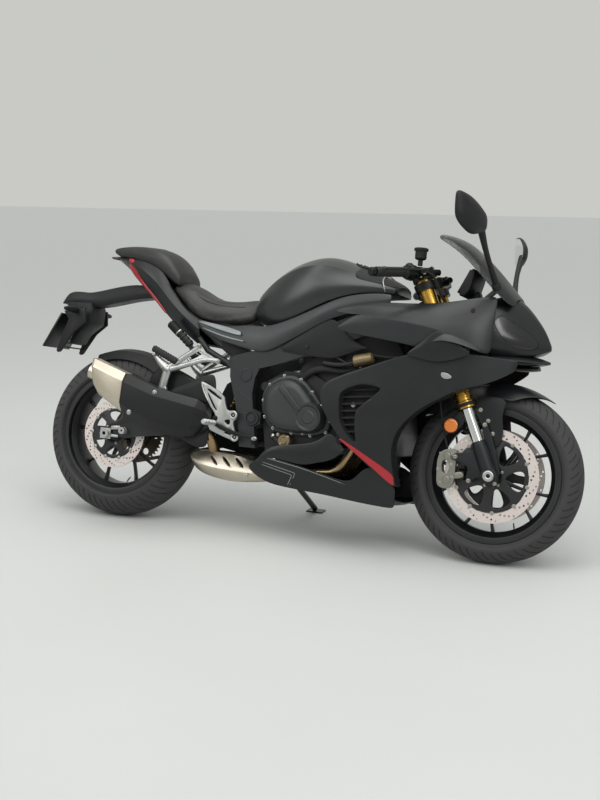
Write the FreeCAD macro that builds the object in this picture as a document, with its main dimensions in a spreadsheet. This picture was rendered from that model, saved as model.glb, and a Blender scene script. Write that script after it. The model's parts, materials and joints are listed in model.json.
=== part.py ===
"""Sport motorcycle standing on its side stand, as a parametric FreeCAD document.

Every piece is drawn upright in the bike's own frame, in millimetres: +X forward, +Y to the
rider's left, +Z up, the floor at Z = 0 and the swingarm pivot bolt at a named place.  Its
Placement then leans the piece over as the bike parks.  Pieces on the fork are drawn in the
fork's frame: the front axle at the origin, +Z up along the fork legs.
"""
import FreeCAD, Part
import math
import os

import Sketcher

from FreeCAD import Placement, Rotation, Vector

doc = FreeCAD.newDocument("SportBike")

# ---------------------------------------------------------------------------
# Driving dimensions
# ---------------------------------------------------------------------------
SIZES = {
    # chassis geometry
    "pivot_x": -132, "pivot_height": 423, "swingarm_length": 608, "pivot_to_front_axle": 862,
    "rake": 24, "trail": 100, "parked_lean": 11.2, "parked_steer": 2.3,
    "park_shift_x": 53, "park_shift_y": -218,
    # wheels: rim radius is the bead seat of a 17 inch rim
    "front_tyre_radius": 300, "front_tyre_width": 120, "front_crown_radius": 62,
    "rear_tyre_radius": 315, "rear_tyre_width": 180, "rear_crown_radius": 92,
    "rim_radius": 216, "front_rim_half_width": 52, "rear_rim_half_width": 77,
    "hub_radius": 30,
    "spoke_pairs": 5, "spoke_thickness": 24, "spoke_width": 13,
    "tyre_wall": 9,
    # brakes and drive
    "front_disc_radius": 160, "front_disc_offset": 72, "rear_disc_radius": 130,
    "rear_disc_offset": 84, "disc_thickness": 5,
    "sprocket_radius": 106, "sprocket_offset": 104, "sprocket_teeth": 42,
    "front_sprocket_radius": 38, "front_sprocket_x": -52, "front_sprocket_height": 415,
    "chain_height": 13, "chain_plate": 3, "chain_gap": 9,
    # axles and fits
    "front_axle_radius": 12.5, "rear_axle_radius": 13, "running_fit": 0.05,
    "rubber_gap": 0.3, "wheel_clearance": 0.6, "pad_clearance": 1.5,
    # front fork
    "fork_half_spacing": 105, "fork_tube_radius": 27, "stanchion_radius": 20.5,
    "fork_seal_height": 240, "fork_top": 744, "fork_lower_inner": 84, "fork_lower_outer": 128,
    "lower_clamp_height": 500, "lower_clamp_thickness": 30, "head_tube_length": 122,
    "head_tube_radius": 34, "stem_radius": 15, "head_clearance": 3,
    "top_clamp_height": 668, "top_clamp_thickness": 26, "clip_on_height": 703,
    "clip_on_thickness": 34, "bar_radius": 11, "grip_radius": 17, "bar_sweep": 38,
    "bar_drop": 7.5, "bar_length": 240, "grip_length": 128,
    # frame and engine
    "spar_inner": 122, "spar_outer": 150, "engine_half_width": 118, "cover_depth": 70,
    "swingarm_inner": 118, "swingarm_outer": 142,
    # bodywork
    "panel_wall": 3,
    # side stand
    "stand_pivot_x": -60, "stand_pivot_y": 96, "stand_pivot_z": 208,
    "stand_foot_x": -50, "stand_foot_y": 356, "stand_leg_radius": 11,
}

sheet = doc.addObject("Spreadsheet::Sheet", "Sizes")
for row, (alias, value) in enumerate(SIZES.items(), start=1):
    sheet.set("A%d" % row, alias)
    sheet.set("B%d" % row, str(value))
    sheet.setAlias("B%d" % row, alias)
doc.recompute()


def size(alias):
    """Return a driving dimension from the sheet."""
    return float(getattr(sheet, alias))


# Places worked out from the driving dimensions
PIVOT = Vector(size("pivot_x"), 0, size("pivot_height"))
REAR_DROP = PIVOT.z - size("rear_tyre_radius")
REAR_AXLE = Vector(PIVOT.x - math.sqrt(size("swingarm_length") ** 2 - REAR_DROP ** 2), 0,
                   size("rear_tyre_radius"))
FRONT_AXLE = Vector(PIVOT.x + size("pivot_to_front_axle"), 0, size("front_tyre_radius"))
RAKE = math.radians(size("rake"))
STEER_FOOT = Vector(FRONT_AXLE.x + size("trail"), 0, 0)
STEER_AXIS = Vector(-math.sin(RAKE), 0, math.cos(RAKE))
# the fork's centreline runs through the axle, this far ahead of the steering axis
FORK_OFFSET = ((FRONT_AXLE.x - STEER_FOOT.x) * math.cos(RAKE)
               + FRONT_AXLE.z * math.sin(RAKE))
REAR_TYRE_FRONT = REAR_AXLE.x + size("rear_tyre_radius")
REAR_TYRE_BACK = REAR_AXLE.x - size("rear_tyre_radius")
# the discs are bolted to the ends of the hubs
FRONT_HUB_HALF = size("front_disc_offset") - size("disc_thickness") / 2
REAR_HUB_HALF = size("rear_disc_offset") - size("disc_thickness") / 2


# The bodywork was drawn over a head tube whose middle stands at this station
DRAWN_PIVOT_X = -132.0
DRAWN_HEAD_X = 455.0
HEAD_X = DRAWN_HEAD_X + (FRONT_AXLE.x - 730.0)


def station(x):
    """Carry a drawn X between the pivot and the head tube as the frame's length changes."""
    if x <= DRAWN_PIVOT_X:
        return x - DRAWN_PIVOT_X + PIVOT.x
    if x >= DRAWN_HEAD_X:
        return x - DRAWN_HEAD_X + HEAD_X
    share = (x - DRAWN_PIVOT_X) / (DRAWN_HEAD_X - DRAWN_PIVOT_X)
    return PIVOT.x + share * (HEAD_X - PIVOT.x)


# ---------------------------------------------------------------------------
# Parked pose: leaned on the side stand, both tyres on the floor
# ---------------------------------------------------------------------------
def lean_rotation(pitch):
    """Return the rotation of the parked bike for a pitch in degrees."""
    return Rotation(Vector(0, 1, 0), pitch) * Rotation(Vector(1, 0, 0), -size("parked_lean"))


def steer_turn(angle):
    """Return the turn of the fork about its axis, in the upright bike."""
    turn = Rotation(STEER_AXIS, angle)
    return Placement(STEER_FOOT - turn.multVec(STEER_FOOT), turn)


def tyre_foot(rotation, centre, axle, radius, crown):
    """Return the lowest height of a leaned tyre."""
    middle = rotation.multVec(centre)
    slope = rotation.multVec(axle).z
    return middle.z - (radius - crown) * math.sqrt(1 - slope ** 2) - crown


def parked_pose():
    """Return the Placement that leans the bike with both tyres touching the floor."""
    turned = steer_turn(size("parked_steer"))
    front_centre = turned.multVec(FRONT_AXLE)
    front_spin = turned.Rotation.multVec(Vector(0, 1, 0))
    pitch = 0.0
    for _ in range(6):
        rotation = lean_rotation(pitch)
        front = tyre_foot(rotation, front_centre, front_spin,
                          size("front_tyre_radius"), size("front_crown_radius"))
        rear = tyre_foot(rotation, REAR_AXLE, Vector(0, 1, 0),
                         size("rear_tyre_radius"), size("rear_crown_radius"))
        pitch += math.degrees((front - rear) / (FRONT_AXLE.x - REAR_AXLE.x))
    shift = Vector(size("park_shift_x"), size("park_shift_y"), -rear)
    return Placement(shift, lean_rotation(pitch))


PARKED = parked_pose()
FORK_FRAME = Placement(FRONT_AXLE, Rotation(Vector(0, 1, 0), -size("rake")))
STEERED = PARKED * steer_turn(size("parked_steer"))
ON_FORK = STEERED * FORK_FRAME
FRONT_WHEEL = STEERED * Placement(FRONT_AXLE, Rotation())
REAR_WHEEL = PARKED * Placement(REAR_AXLE, Rotation())

NODES = []


# ---------------------------------------------------------------------------
# Helpers for PartDesign bodies
# ---------------------------------------------------------------------------
def new_body(label, pose):
    """Start a body for one node, placed by its pose."""
    body = doc.addObject("PartDesign::Body", label)
    body.Label = label
    body.AllowCompound = True
    body.Placement = pose
    NODES.append(body)
    return body


def origin_item(body, role):
    """Return a plane or axis of a body's own origin."""
    return next(item for item in body.Origin.OriginFeatures if item.Role == role)


def new_sketch(body, role, offset=0.0):
    """Attach a sketch to one of the body's planes, moved along its normal."""
    sketch = body.newObject("Sketcher::SketchObject", "Outline")
    sketch.AttachmentSupport = [(origin_item(body, role), "")]
    sketch.MapMode = "FlatFace"
    sketch.AttachmentOffset = Placement(Vector(0, 0, offset), Rotation())
    return sketch


def draw_polygon(sketch, points):
    """Draw a closed outline of straight lines."""
    corners = [Vector(u, v, 0) for u, v in points]
    for start, end in zip(corners, corners[1:] + corners[:1]):
        sketch.addGeometry(Part.LineSegment(start, end))


def draw_circle(sketch, alias, centre=(0.0, 0.0), allowance=0.0):
    """Draw a circle whose radius is bound to the sheet."""
    radius = size(alias) + allowance
    number = sketch.addGeometry(Part.Circle(Vector(centre[0], centre[1], 0), Vector(0, 0, 1),
                                            radius))
    limit = sketch.addConstraint(Sketcher.Constraint("Radius", number, radius))
    sketch.setExpression("Constraints[%d]" % limit, "Sizes.%s + %g" % (alias, allowance))


def pad(body, sketch, thickness, midplane=False):
    """Pad a sketch by a number or by an expression on the sheet."""
    feature = body.newObject("PartDesign::Pad", "Pad")
    feature.Profile = sketch
    feature.Midplane = midplane
    if isinstance(thickness, str):
        feature.setExpression("Length", thickness)
    else:
        feature.Length = thickness
    return feature


def pocket_through(body, sketch):
    """Cut a sketch through the whole body, both ways."""
    feature = body.newObject("PartDesign::Pocket", "Pocket")
    feature.Profile = sketch
    feature.Midplane = True
    feature.Type = 0
    feature.Length = 2000
    return feature


def revolve(body, sketch, angle=360.0):
    """Turn a sketch of the YZ plane about the body's Y axis."""
    feature = body.newObject("PartDesign::Revolution", "Revolution")
    feature.Profile = sketch
    feature.ReferenceAxis = (origin_item(body, "Y_Axis"), [""])
    feature.Angle = angle
    return feature


def ring_pattern(body, feature, count):
    """Repeat a feature round the body's Y axis."""
    pattern = body.newObject("PartDesign::PolarPattern", "Ring")
    pattern.Originals = [feature]
    pattern.Axis = (origin_item(body, "Y_Axis"), [""])
    pattern.Angle = 360
    if isinstance(count, str):
        pattern.setExpression("Occurrences", count)
    else:
        pattern.Occurrences = count
    body.Tip = pattern
    return pattern


def mirror_across(body, features):
    """Repeat features on the other side of the bike's middle plane."""
    mirrored = body.newObject("PartDesign::Mirrored", "OtherSide")
    mirrored.Originals = features
    mirrored.MirrorPlane = (origin_item(body, "XZ_Plane"), [""])
    body.Tip = mirrored
    return mirrored


def side_plate(body, outline, inner, outer):
    """Pad an outline of the side view on the right, between two distances from the middle."""
    sketch = new_sketch(body, "XZ_Plane", inner)
    draw_polygon(sketch, outline)
    return pad(body, sketch, outer - inner)


def polar(radius, degrees):
    """Return a point of the wheel plane at a radius and angle."""
    angle = math.radians(degrees)
    return (radius * math.cos(angle), radius * math.sin(angle))


# ---------------------------------------------------------------------------
# Helpers for free-form pieces
# ---------------------------------------------------------------------------
def add_shape(label, shape, pose):
    """Add a finished shape as one node."""
    feature = doc.addObject("Part::Feature", label)
    feature.Label = label
    feature.Shape = shape
    feature.Placement = pose * shape.Placement
    NODES.append(feature)
    return feature


def closed_wire(points):
    """Return a closed wire of straight lines."""
    return Part.makePolygon(list(points) + [points[0]])


def loft(wires):
    """Return a solid ruled through sections."""
    return Part.makeLoft(wires, True, True)


def other_side(shape):
    """Return a shape mirrored across the bike's middle plane."""
    return shape.mirror(Vector(0, 0, 0), Vector(0, 1, 0))


def both_sides(shape):
    """Return a right-hand shape with its left-hand twin."""
    return Part.makeCompound([shape, other_side(shape)])


def rod(start, end, radius):
    """Return a round bar between two points."""
    along = end - start
    return Part.makeCylinder(radius, along.Length, start, along)


def prism(outline, inner, outer):
    """Return a right-hand slab cut to an outline of the side view."""
    face = Part.Face(closed_wire([Vector(x, -inner, z) for x, z in outline]))
    return face.extrude(Vector(0, inner - outer, 0))


def through_prism(outline, reach=400.0):
    """Return a cutter through the right half of the bike."""
    return prism(outline, 0.0, reach)


def strip_section(outer, inner):
    """Return a thin section across the middle plane from right-hand points (y, radius)."""
    right = [Vector(0, -y, r) for y, r in outer]
    left = [Vector(0, y, r) for y, r in reversed(outer[1:])]
    right_in = [Vector(0, -y, r) for y, r in reversed(inner)]
    left_in = [Vector(0, y, r) for y, r in inner[1:]]
    return Part.Face(closed_wire(left + right + right_in + left_in))


def symmetric_prism(outline, half_width):
    """Return a slab across the middle plane."""
    face = Part.Face(closed_wire([Vector(x, half_width, z) for x, z in outline]))
    return face.extrude(Vector(0, -2 * half_width, 0))


def pipe(points, radius, bend):
    """Return a round tube along straight runs joined by tangent arcs."""
    edges = []
    start = points[0]
    for before, corner, after in zip(points, points[1:], points[2:]):
        enter = (before - corner).normalize()
        leave = (after - corner).normalize()
        half = enter.getAngle(leave) / 2
        cut = bend / math.tan(half)
        first = corner + enter * cut
        last = corner + leave * cut
        inward = (enter + leave).normalize()
        middle = corner + inward * (bend / math.sin(half) - bend)
        edges.append(Part.LineSegment(start, first).toShape())
        edges.append(Part.Arc(first, middle, last).toShape())
        start = last
    edges.append(Part.LineSegment(start, points[-1]).toShape())
    path = Part.Wire(edges)
    circle = Part.Circle(points[0], points[1] - points[0], radius).toShape()
    return path.makePipe(Part.Face(Part.Wire(circle)))


def bowed_panel(stations, wall):
    """Return a thin right-hand panel lofted along X.

    Columns of a station: x, z_low, y_low, z_high, y_high, bow.  Each section is an arc from its
    low edge to its high edge that bulges outward by bow, with the wall inside it.
    """
    wires = []
    for x, z_low, y_low, z_high, y_high, bow in stations:
        rail = []
        for inset in (0.0, wall):
            low = Vector(x, -(y_low - inset), z_low)
            high = Vector(x, -(y_high - inset), z_high)
            chord = high - low
            outward = Vector(0, -chord.z, chord.y).normalize()
            if outward.y > 0:
                outward = outward * -1
            middle = (low + high) * 0.5 + outward * bow
            rail.append((low, middle, high))
        (low_out, mid_out, high_out), (low_in, mid_in, high_in) = rail
        wires.append(Part.Wire([
            Part.Arc(low_out, mid_out, high_out).toShape(),
            Part.LineSegment(high_out, high_in).toShape(),
            Part.Arc(high_in, mid_in, low_in).toShape(),
            Part.LineSegment(low_in, low_out).toShape(),
        ]))
    return loft(wires)


def rounded_body(stations):
    """Return a solid symmetric about the middle plane, lofted along X.

    Columns of a station: x, z_low, half_low, z_wide, half_wide, z_top, half_crown, crown_drop.
    The bottom is flat, each flank is an arc out to the widest point and in to the crown's edge,
    and the crown is an arc over the top.
    """
    wires = []
    for x, z_low, half_low, z_wide, half_wide, z_top, half_crown, crown_drop in stations:
        low_left, low_right = Vector(x, half_low, z_low), Vector(x, -half_low, z_low)
        edge_left = Vector(x, half_crown, z_top - crown_drop)
        edge_right = Vector(x, -half_crown, z_top - crown_drop)
        wide_left, wide_right = Vector(x, half_wide, z_wide), Vector(x, -half_wide, z_wide)
        wires.append(Part.Wire([
            Part.LineSegment(low_left, low_right).toShape(),
            Part.Arc(low_right, wide_right, edge_right).toShape(),
            Part.Arc(edge_right, Vector(x, 0, z_top), edge_left).toShape(),
            Part.Arc(edge_left, wide_left, low_left).toShape(),
        ]))
    return loft(wires)


def placed(stations):
    """Carry the drawn X of each station with the frame's length."""
    return [(station(row[0]),) + tuple(row[1:]) for row in stations]


def outline_at(points):
    """Carry the drawn X of a side-view outline with the frame's length."""
    return [(station(x), z) for x, z in points]


# ---------------------------------------------------------------------------
# Wheels
# ---------------------------------------------------------------------------
RIM_LIP = 14
RIM_WALL = 6


def build_rim(label, pose, half_width, hub_half, axle_alias, spoke_spread):
    """Build a cast rim: barrel, hub with a running bore, and V-shaped pairs of spokes."""
    body = new_body(label, pose)
    bead = size("rim_radius")
    lip = bead + RIM_LIP
    well = bead - 18
    sketch = new_sketch(body, "YZ_Plane")
    upper = [(-half_width, lip), (5 - half_width, lip), (8 - half_width, bead),
             (24 - half_width, bead), (36 - half_width, well)]
    lower = [(RIM_WALL + 32 - half_width, well - RIM_WALL), (20 - half_width, bead - RIM_WALL),
             (-half_width, bead - RIM_WALL)]
    mirrored = [(-y, r) for y, r in reversed(upper)]
    mirrored_lower = [(-y, r) for y, r in reversed(lower)]
    draw_polygon(sketch, upper + mirrored + mirrored_lower + lower)
    bore = size(axle_alias) + size("running_fit")
    hub = size("hub_radius")
    flange = hub + 16
    draw_polygon(sketch, [(-hub_half, bore), (-hub_half, flange), (8 - hub_half, flange),
                          (20 - hub_half, hub), (hub_half - 20, hub), (hub_half - 8, flange),
                          (hub_half, flange), (hub_half, bore)])
    revolve(body, sketch)
    spokes = new_sketch(body, "XZ_Plane")
    root = hub - 3
    end = well - RIM_WALL / 2
    width = size("spoke_width")
    root_half = math.degrees(width / root)
    tip_half = math.degrees(width / 2 / end)
    crotch = root + 40
    crotch_half = spoke_spread * crotch / end - math.degrees(width / 2 / crotch)
    draw_polygon(spokes, [polar(root, 90 - root_half), polar(end, 90 - spoke_spread - tip_half),
                          polar(end, 90 - spoke_spread + tip_half),
                          polar(crotch, 90 - max(crotch_half, 0.5)),
                          polar(crotch, 90 + max(crotch_half, 0.5)),
                          polar(end, 90 + spoke_spread - tip_half),
                          polar(end, 90 + spoke_spread + tip_half), polar(root, 90 + root_half)])
    spoke = pad(body, spokes, "Sizes.spoke_thickness", midplane=True)
    ring_pattern(body, spoke, "Sizes.spoke_pairs")
    return body


def build_tyre(label, pose, radius, width, crown, rim_half):
    """Build a hollow tyre whose tread is one arc from shoulder to shoulder."""
    gap = size("rubber_gap")
    bead = size("rim_radius") + gap
    lip = size("rim_radius") + RIM_LIP + gap
    foot = rim_half - 8 - gap
    neck = rim_half - 5 - gap
    wall = size("tyre_wall")
    half = width / 2
    shoulder = radius - crown + math.sqrt(max(crown ** 2 - half ** 2, 0))
    body = new_body(label, pose)
    sketch = new_sketch(body, "YZ_Plane")

    def point(y, r):
        return Vector(y, r, 0)

    bulge_y = (neck + half) / 2 + 2.5
    bulge_r = (lip + shoulder) / 2 - 1.5
    inner_half = half - wall
    inner_foot = foot - 12
    for edge in [
            Part.LineSegment(point(-foot, bead), point(-neck, lip)),
            Part.Arc(point(-neck, lip), point(-bulge_y, bulge_r), point(-half, shoulder)),
            Part.Arc(point(-half, shoulder), point(0, radius), point(half, shoulder)),
            Part.Arc(point(half, shoulder), point(bulge_y, bulge_r), point(neck, lip)),
            Part.LineSegment(point(neck, lip), point(foot, bead)),
            Part.LineSegment(point(foot, bead), point(inner_foot, bead)),
            Part.LineSegment(point(inner_foot, bead), point(inner_foot + 2, lip)),
            Part.LineSegment(point(inner_foot + 2, lip), point(inner_half, shoulder)),
            Part.Arc(point(inner_half, shoulder), point(0, radius - wall),
                     point(-inner_half, shoulder)),
            Part.LineSegment(point(-inner_half, shoulder), point(-inner_foot - 2, lip)),
            Part.LineSegment(point(-inner_foot - 2, lip), point(-inner_foot, bead)),
            Part.LineSegment(point(-inner_foot, bead), point(-foot, bead))]:
        sketch.addGeometry(edge)
    revolve(body, sketch)
    return body


def build_disc(label, pose, radius_alias, offsets, window_circle, window_radius, windows):
    """Build brake discs: a band on a carrier with round windows."""
    body = new_body(label, pose)
    thickness = size("disc_thickness")
    pads = []
    for offset in offsets:
        sketch = new_sketch(body, "XZ_Plane", -offset - thickness / 2)
        draw_circle(sketch, radius_alias)
        draw_circle(sketch, "hub_radius", allowance=0.3)
        pads.append(pad(body, sketch, "Sizes.disc_thickness"))
    holes = new_sketch(body, "XZ_Plane")
    holes.addGeometry(Part.Circle(Vector(window_circle, 0, 0), Vector(0, 0, 1), window_radius))
    cut = pocket_through(body, holes)
    ring_pattern(body, cut, windows)
    return body


def build_wheels():
    """Build both wheels with their tyres, discs and the rear sprocket."""
    build_rim("front_rim", FRONT_WHEEL, size("front_rim_half_width"),
              FRONT_HUB_HALF, "front_axle_radius", 13)
    build_tyre("front_tyre", FRONT_WHEEL, size("front_tyre_radius"), size("front_tyre_width"),
               size("front_crown_radius"), size("front_rim_half_width"))
    offset = size("front_disc_offset")
    build_disc("front_discs", FRONT_WHEEL, "front_disc_radius", (-offset, offset), 94, 21, 10)
    build_rim("rear_rim", REAR_WHEEL, size("rear_rim_half_width"),
              REAR_HUB_HALF, "rear_axle_radius", 14)
    build_tyre("rear_tyre", REAR_WHEEL, size("rear_tyre_radius"), size("rear_tyre_width"),
               size("rear_crown_radius"), size("rear_rim_half_width"))
    build_disc("rear_disc", REAR_WHEEL, "rear_disc_radius", (-size("rear_disc_offset"),), 72, 17, 8)


def build_sprocket():
    """Build the rear sprocket: teeth, lightening windows and its carrier drum on the hub."""
    body = new_body("rear_sprocket", REAR_WHEEL)
    offset = size("sprocket_offset")
    teeth = int(size("sprocket_teeth"))
    root = size("sprocket_radius") - 5
    tip = size("sprocket_radius") + 3.5
    sketch = new_sketch(body, "XZ_Plane", -offset - 3)
    pitch = 360.0 / teeth
    outline = []
    for tooth in range(teeth):
        middle = tooth * pitch
        outline += [polar(root, middle - 0.30 * pitch), polar(tip, middle - 0.10 * pitch),
                    polar(tip, middle + 0.10 * pitch), polar(root, middle + 0.30 * pitch)]
    draw_polygon(sketch, outline)
    draw_circle(sketch, "rear_axle_radius", allowance=5)
    pad(body, sketch, 6)
    windows = new_sketch(body, "XZ_Plane")
    windows.addGeometry(Part.Circle(Vector(77, 0, 0), Vector(0, 0, 1), 13))
    cut = pocket_through(body, windows)
    ring_pattern(body, cut, 6)
    drum = new_sketch(body, "XZ_Plane", 3 - offset)
    draw_circle(drum, "hub_radius", allowance=26)
    draw_circle(drum, "rear_axle_radius", allowance=5)
    pad(body, drum, offset - 3 - REAR_HUB_HALF)


# ---------------------------------------------------------------------------
# Fork and handlebars, drawn in the fork's frame
# ---------------------------------------------------------------------------
def fork_hole(height, thickness, side, radius):
    """Return the cylinder one fork tube takes out of a clamp."""
    base = Vector(0, side * size("fork_half_spacing"), height)
    return Part.makeCylinder(radius, thickness, base)


def build_clamp(label, height, thickness, stem_from, stem_to):
    """Build one yoke that holds both tubes, with the part of the stem fixed in it."""
    spacing = size("fork_half_spacing")
    tube = size("fork_tube_radius")
    axis_x = -FORK_OFFSET
    outline = [(axis_x - 26, 0), (axis_x - 20, 34), (-tube - 6, spacing + 10),
               (tube + 2, spacing + 16), (tube + 4, spacing - 18), (12, 40), (8, 0)]
    points = [Vector(x, y, height) for x, y in outline]
    points += [Vector(x, -y, height) for x, y in reversed(outline[1:-1])]
    shape = Part.Face(closed_wire(points)).extrude(Vector(0, 0, thickness))
    for side in (-1, 1):
        shape = shape.fuse(fork_hole(height, thickness, side, tube + 11))
    stem_base = Vector(axis_x, 0, stem_from)
    shape = shape.fuse(Part.makeCylinder(size("stem_radius"), stem_to - stem_from, stem_base))
    for side in (-1, 1):
        shape = shape.cut(fork_hole(height - 1, thickness + 2, side,
                                    tube + size("running_fit")))
    add_shape(label, shape, ON_FORK)
    return shape


def build_yokes():
    """Build the lower yoke with the steering stem, and the top yoke with its nut."""
    low = size("lower_clamp_height")
    thickness = size("lower_clamp_thickness")
    top = size("top_clamp_height")
    yoke = build_clamp("steering_stem", low, thickness, low - 8, top)
    build_clamp("top_yoke", top, size("top_clamp_thickness"), top,
                top + size("top_clamp_thickness") + 12)
    return yoke


def build_fork_tubes():
    """Build the upper fork tubes with their collars and caps."""
    seal = size("fork_seal_height")
    radius = size("fork_tube_radius")
    rings = [(seal, 24, 4), (seal + 36, 8, 3), (seal + 52, 8, 3), (seal + 68, 8, 3)]
    tube = fork_hole(seal, size("fork_top") - seal, -1, radius)
    for base, length, step in rings:
        tube = tube.fuse(fork_hole(base, length, -1, radius + step))
    tube = tube.fuse(fork_hole(size("fork_top"), 9, -1, radius - 8))
    add_shape("fork_tubes", both_sides(tube), ON_FORK)


def build_fork_lowers():
    """Build the stanchions with the castings that clamp the axle and carry the calipers."""
    body = new_body("fork_lowers", ON_FORK)
    inner = size("fork_lower_inner")
    outer = size("fork_lower_outer")
    casting = side_plate(body, [(-34, -20), (-16, -36), (20, -34), (34, -10), (34, 30), (44, 70),
                                (46, 178), (30, 184), (22, 120), (-24, 120), (-30, 92),
                                (-86, 112), (-98, 100), (-96, 84), (-52, 52), (-74, 24),
                                (-82, 6), (-70, 0), (-44, 14)], inner, outer - 12)
    boss = new_sketch(body, "XZ_Plane", inner + 8)
    boss.addGeometry(Part.Circle(Vector(0, 0, 0), Vector(0, 0, 1), 27))
    clamp = pad(body, boss, outer - inner - 8)
    stanchion = new_sketch(body, "XY_Plane", 60)
    draw_circle(stanchion, "stanchion_radius", centre=(0, -size("fork_half_spacing")))
    leg = pad(body, stanchion, "Sizes.fork_seal_height - 60")
    hole = new_sketch(body, "XZ_Plane")
    draw_circle(hole, "front_axle_radius")
    bore = pocket_through(body, hole)
    mirror_across(body, [casting, clamp, leg, bore])


def build_front_axle():
    """Build the hollow front axle with its head and the spacers beside the hub."""
    body = new_body("front_axle", ON_FORK)
    outer = size("fork_lower_outer")
    shaft = new_sketch(body, "YZ_Plane")
    radius = size("front_axle_radius")
    hub = FRONT_HUB_HALF + size("wheel_clearance")
    spacer = size("fork_lower_inner")
    draw_polygon(shaft, [(-outer - 6, 7), (-outer - 6, 19), (-outer, 19), (-outer, radius),
                         (-spacer, radius), (-spacer, radius + 5), (-hub, radius + 5),
                         (-hub, radius), (hub, radius), (hub, radius + 5), (spacer, radius + 5),
                         (spacer, radius), (outer + 4, radius), (outer + 4, 7)])
    revolve(body, shaft)


def build_front_fender():
    """Build the front fender: a crowned strip over the tyre and the side guards."""
    start, sweep = 26.0, 94.0
    wall = 3.0
    guard_outer = size("fork_lower_inner")
    reach = size("front_tyre_radius")
    profile = [(0, reach + 20), (34, reach + 15), (60, reach - 4), (guard_outer, reach - 38)]
    inner = [(0, reach + 17), (33, reach + 12), (60 - 2, reach - 7),
             (guard_outer - wall, reach - 38)]
    face = strip_section(profile, inner)
    # the section stands straight up over the axle, so it is turned to the strip's front end
    face.rotate(Vector(0, 0, 0), Vector(0, 1, 0), 90 - start)
    strip = face.revolve(Vector(0, 0, 0), Vector(0, -1, 0), sweep)
    guard = [(14, 262), (96, 246), (104, 200), (70, 150), (48, 92), (34, 88), (28, 140),
             (24, 186), (-14, 226), (-20, 262)]
    side = prism(guard, guard_outer - wall, guard_outer)
    fender = strip.fuse([side, other_side(side)])
    for turn in (-1, 1):
        fender = fender.cut(fork_hole(200, 200, turn, size("fork_tube_radius") + 7))
    add_shape("front_fender", fender, ON_FORK)


def build_front_calipers():
    """Build the radial calipers astride the front discs."""
    offset = size("front_disc_offset")
    gap = size("disc_thickness") / 2 + size("pad_clearance")
    outline = [(-100, 34), (-92, 98), (-106, 122), (-134, 130), (-152, 112), (-160, 60),
               (-152, 36), (-128, 26)]
    shape = prism(outline, 57, 100)
    slot = Part.makeCylinder(size("front_disc_radius") + 4, 2 * gap,
                             Vector(0, -offset + gap, 0), Vector(0, -1, 0))
    shape = shape.cut(slot)
    window = prism([(-120, 62), (-120, 98), (-146, 98), (-146, 62)], 57, 110)
    shape = shape.cut(window)
    lug = prism([(-84, 86), (-84, 112), (-106, 118), (-110, 88)], 84, 100)
    shape = shape.fuse(lug)
    shape = shape.cut(prism([(-52, 52), (-30, 92), (-86, 112), (-98, 100), (-96, 84)], 80, 130))
    add_shape("front_calipers", both_sides(shape), ON_FORK)
    return shape


def bar_frame():
    """Return the pose of the right bar: its clamp end at the origin, +Z out along the bar."""
    sweep = math.radians(size("bar_sweep"))
    drop = math.radians(size("bar_drop"))
    start = Vector(size("fork_tube_radius") + size("bar_radius") + 1.0,
                   -size("fork_half_spacing") - 6, size("clip_on_height")
                   + size("clip_on_thickness") / 2)
    out = Vector(-math.sin(sweep) * math.cos(drop), -math.cos(sweep) * math.cos(drop),
                 -math.sin(drop))
    world_out = Rotation(Vector(0, 1, 0), size("rake")).multVec(out)
    return Placement(start, Rotation(Vector(0, 0, 1), world_out))


def build_handlebars():
    """Build the clip-on bars, the grips, the hand levers and the brake reservoir."""
    pose = bar_frame()
    radius = size("bar_radius")
    length = size("bar_length")
    clamp = fork_hole(size("clip_on_height"), size("clip_on_thickness"), -1,
                      size("fork_tube_radius") + 9)
    bar = Part.makeCylinder(radius, length + 30, Vector(0, 0, -30))
    bar.Placement = pose
    neck = Part.makeBox(26, 26, size("clip_on_thickness"),
                        Vector(22, -size("fork_half_spacing") - 22, size("clip_on_height")))
    clip_on = clamp.fuse([bar, neck]).cut(fork_hole(size("clip_on_height") - 1,
                                                    size("clip_on_thickness") + 2, -1,
                                                    size("fork_tube_radius")
                                                    + size("running_fit")))
    grip_start = length - size("grip_length")
    grip = Part.makeCylinder(size("grip_radius"), size("grip_length"), Vector(0, 0, grip_start))
    grip = grip.fuse(Part.makeCylinder(size("grip_radius") + 5, 5, Vector(0, 0, grip_start)))
    grip = grip.fuse(Part.makeCylinder(size("grip_radius") - 2, 22, Vector(0, 0, length)))
    grip = grip.cut(Part.makeCylinder(radius, length + 1, Vector(0, 0, -1)))
    grip.Placement = pose
    add_shape("grips", both_sides(grip), ON_FORK)
    housing = Part.makeCylinder(24, 34, Vector(0, 0, grip_start - 34))
    housing.Placement = pose
    clip_on = clip_on.fuse(housing)
    add_shape("clip_on_bars", both_sides(clip_on), ON_FORK)
    return build_levers(pose, grip_start, clip_on)


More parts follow.
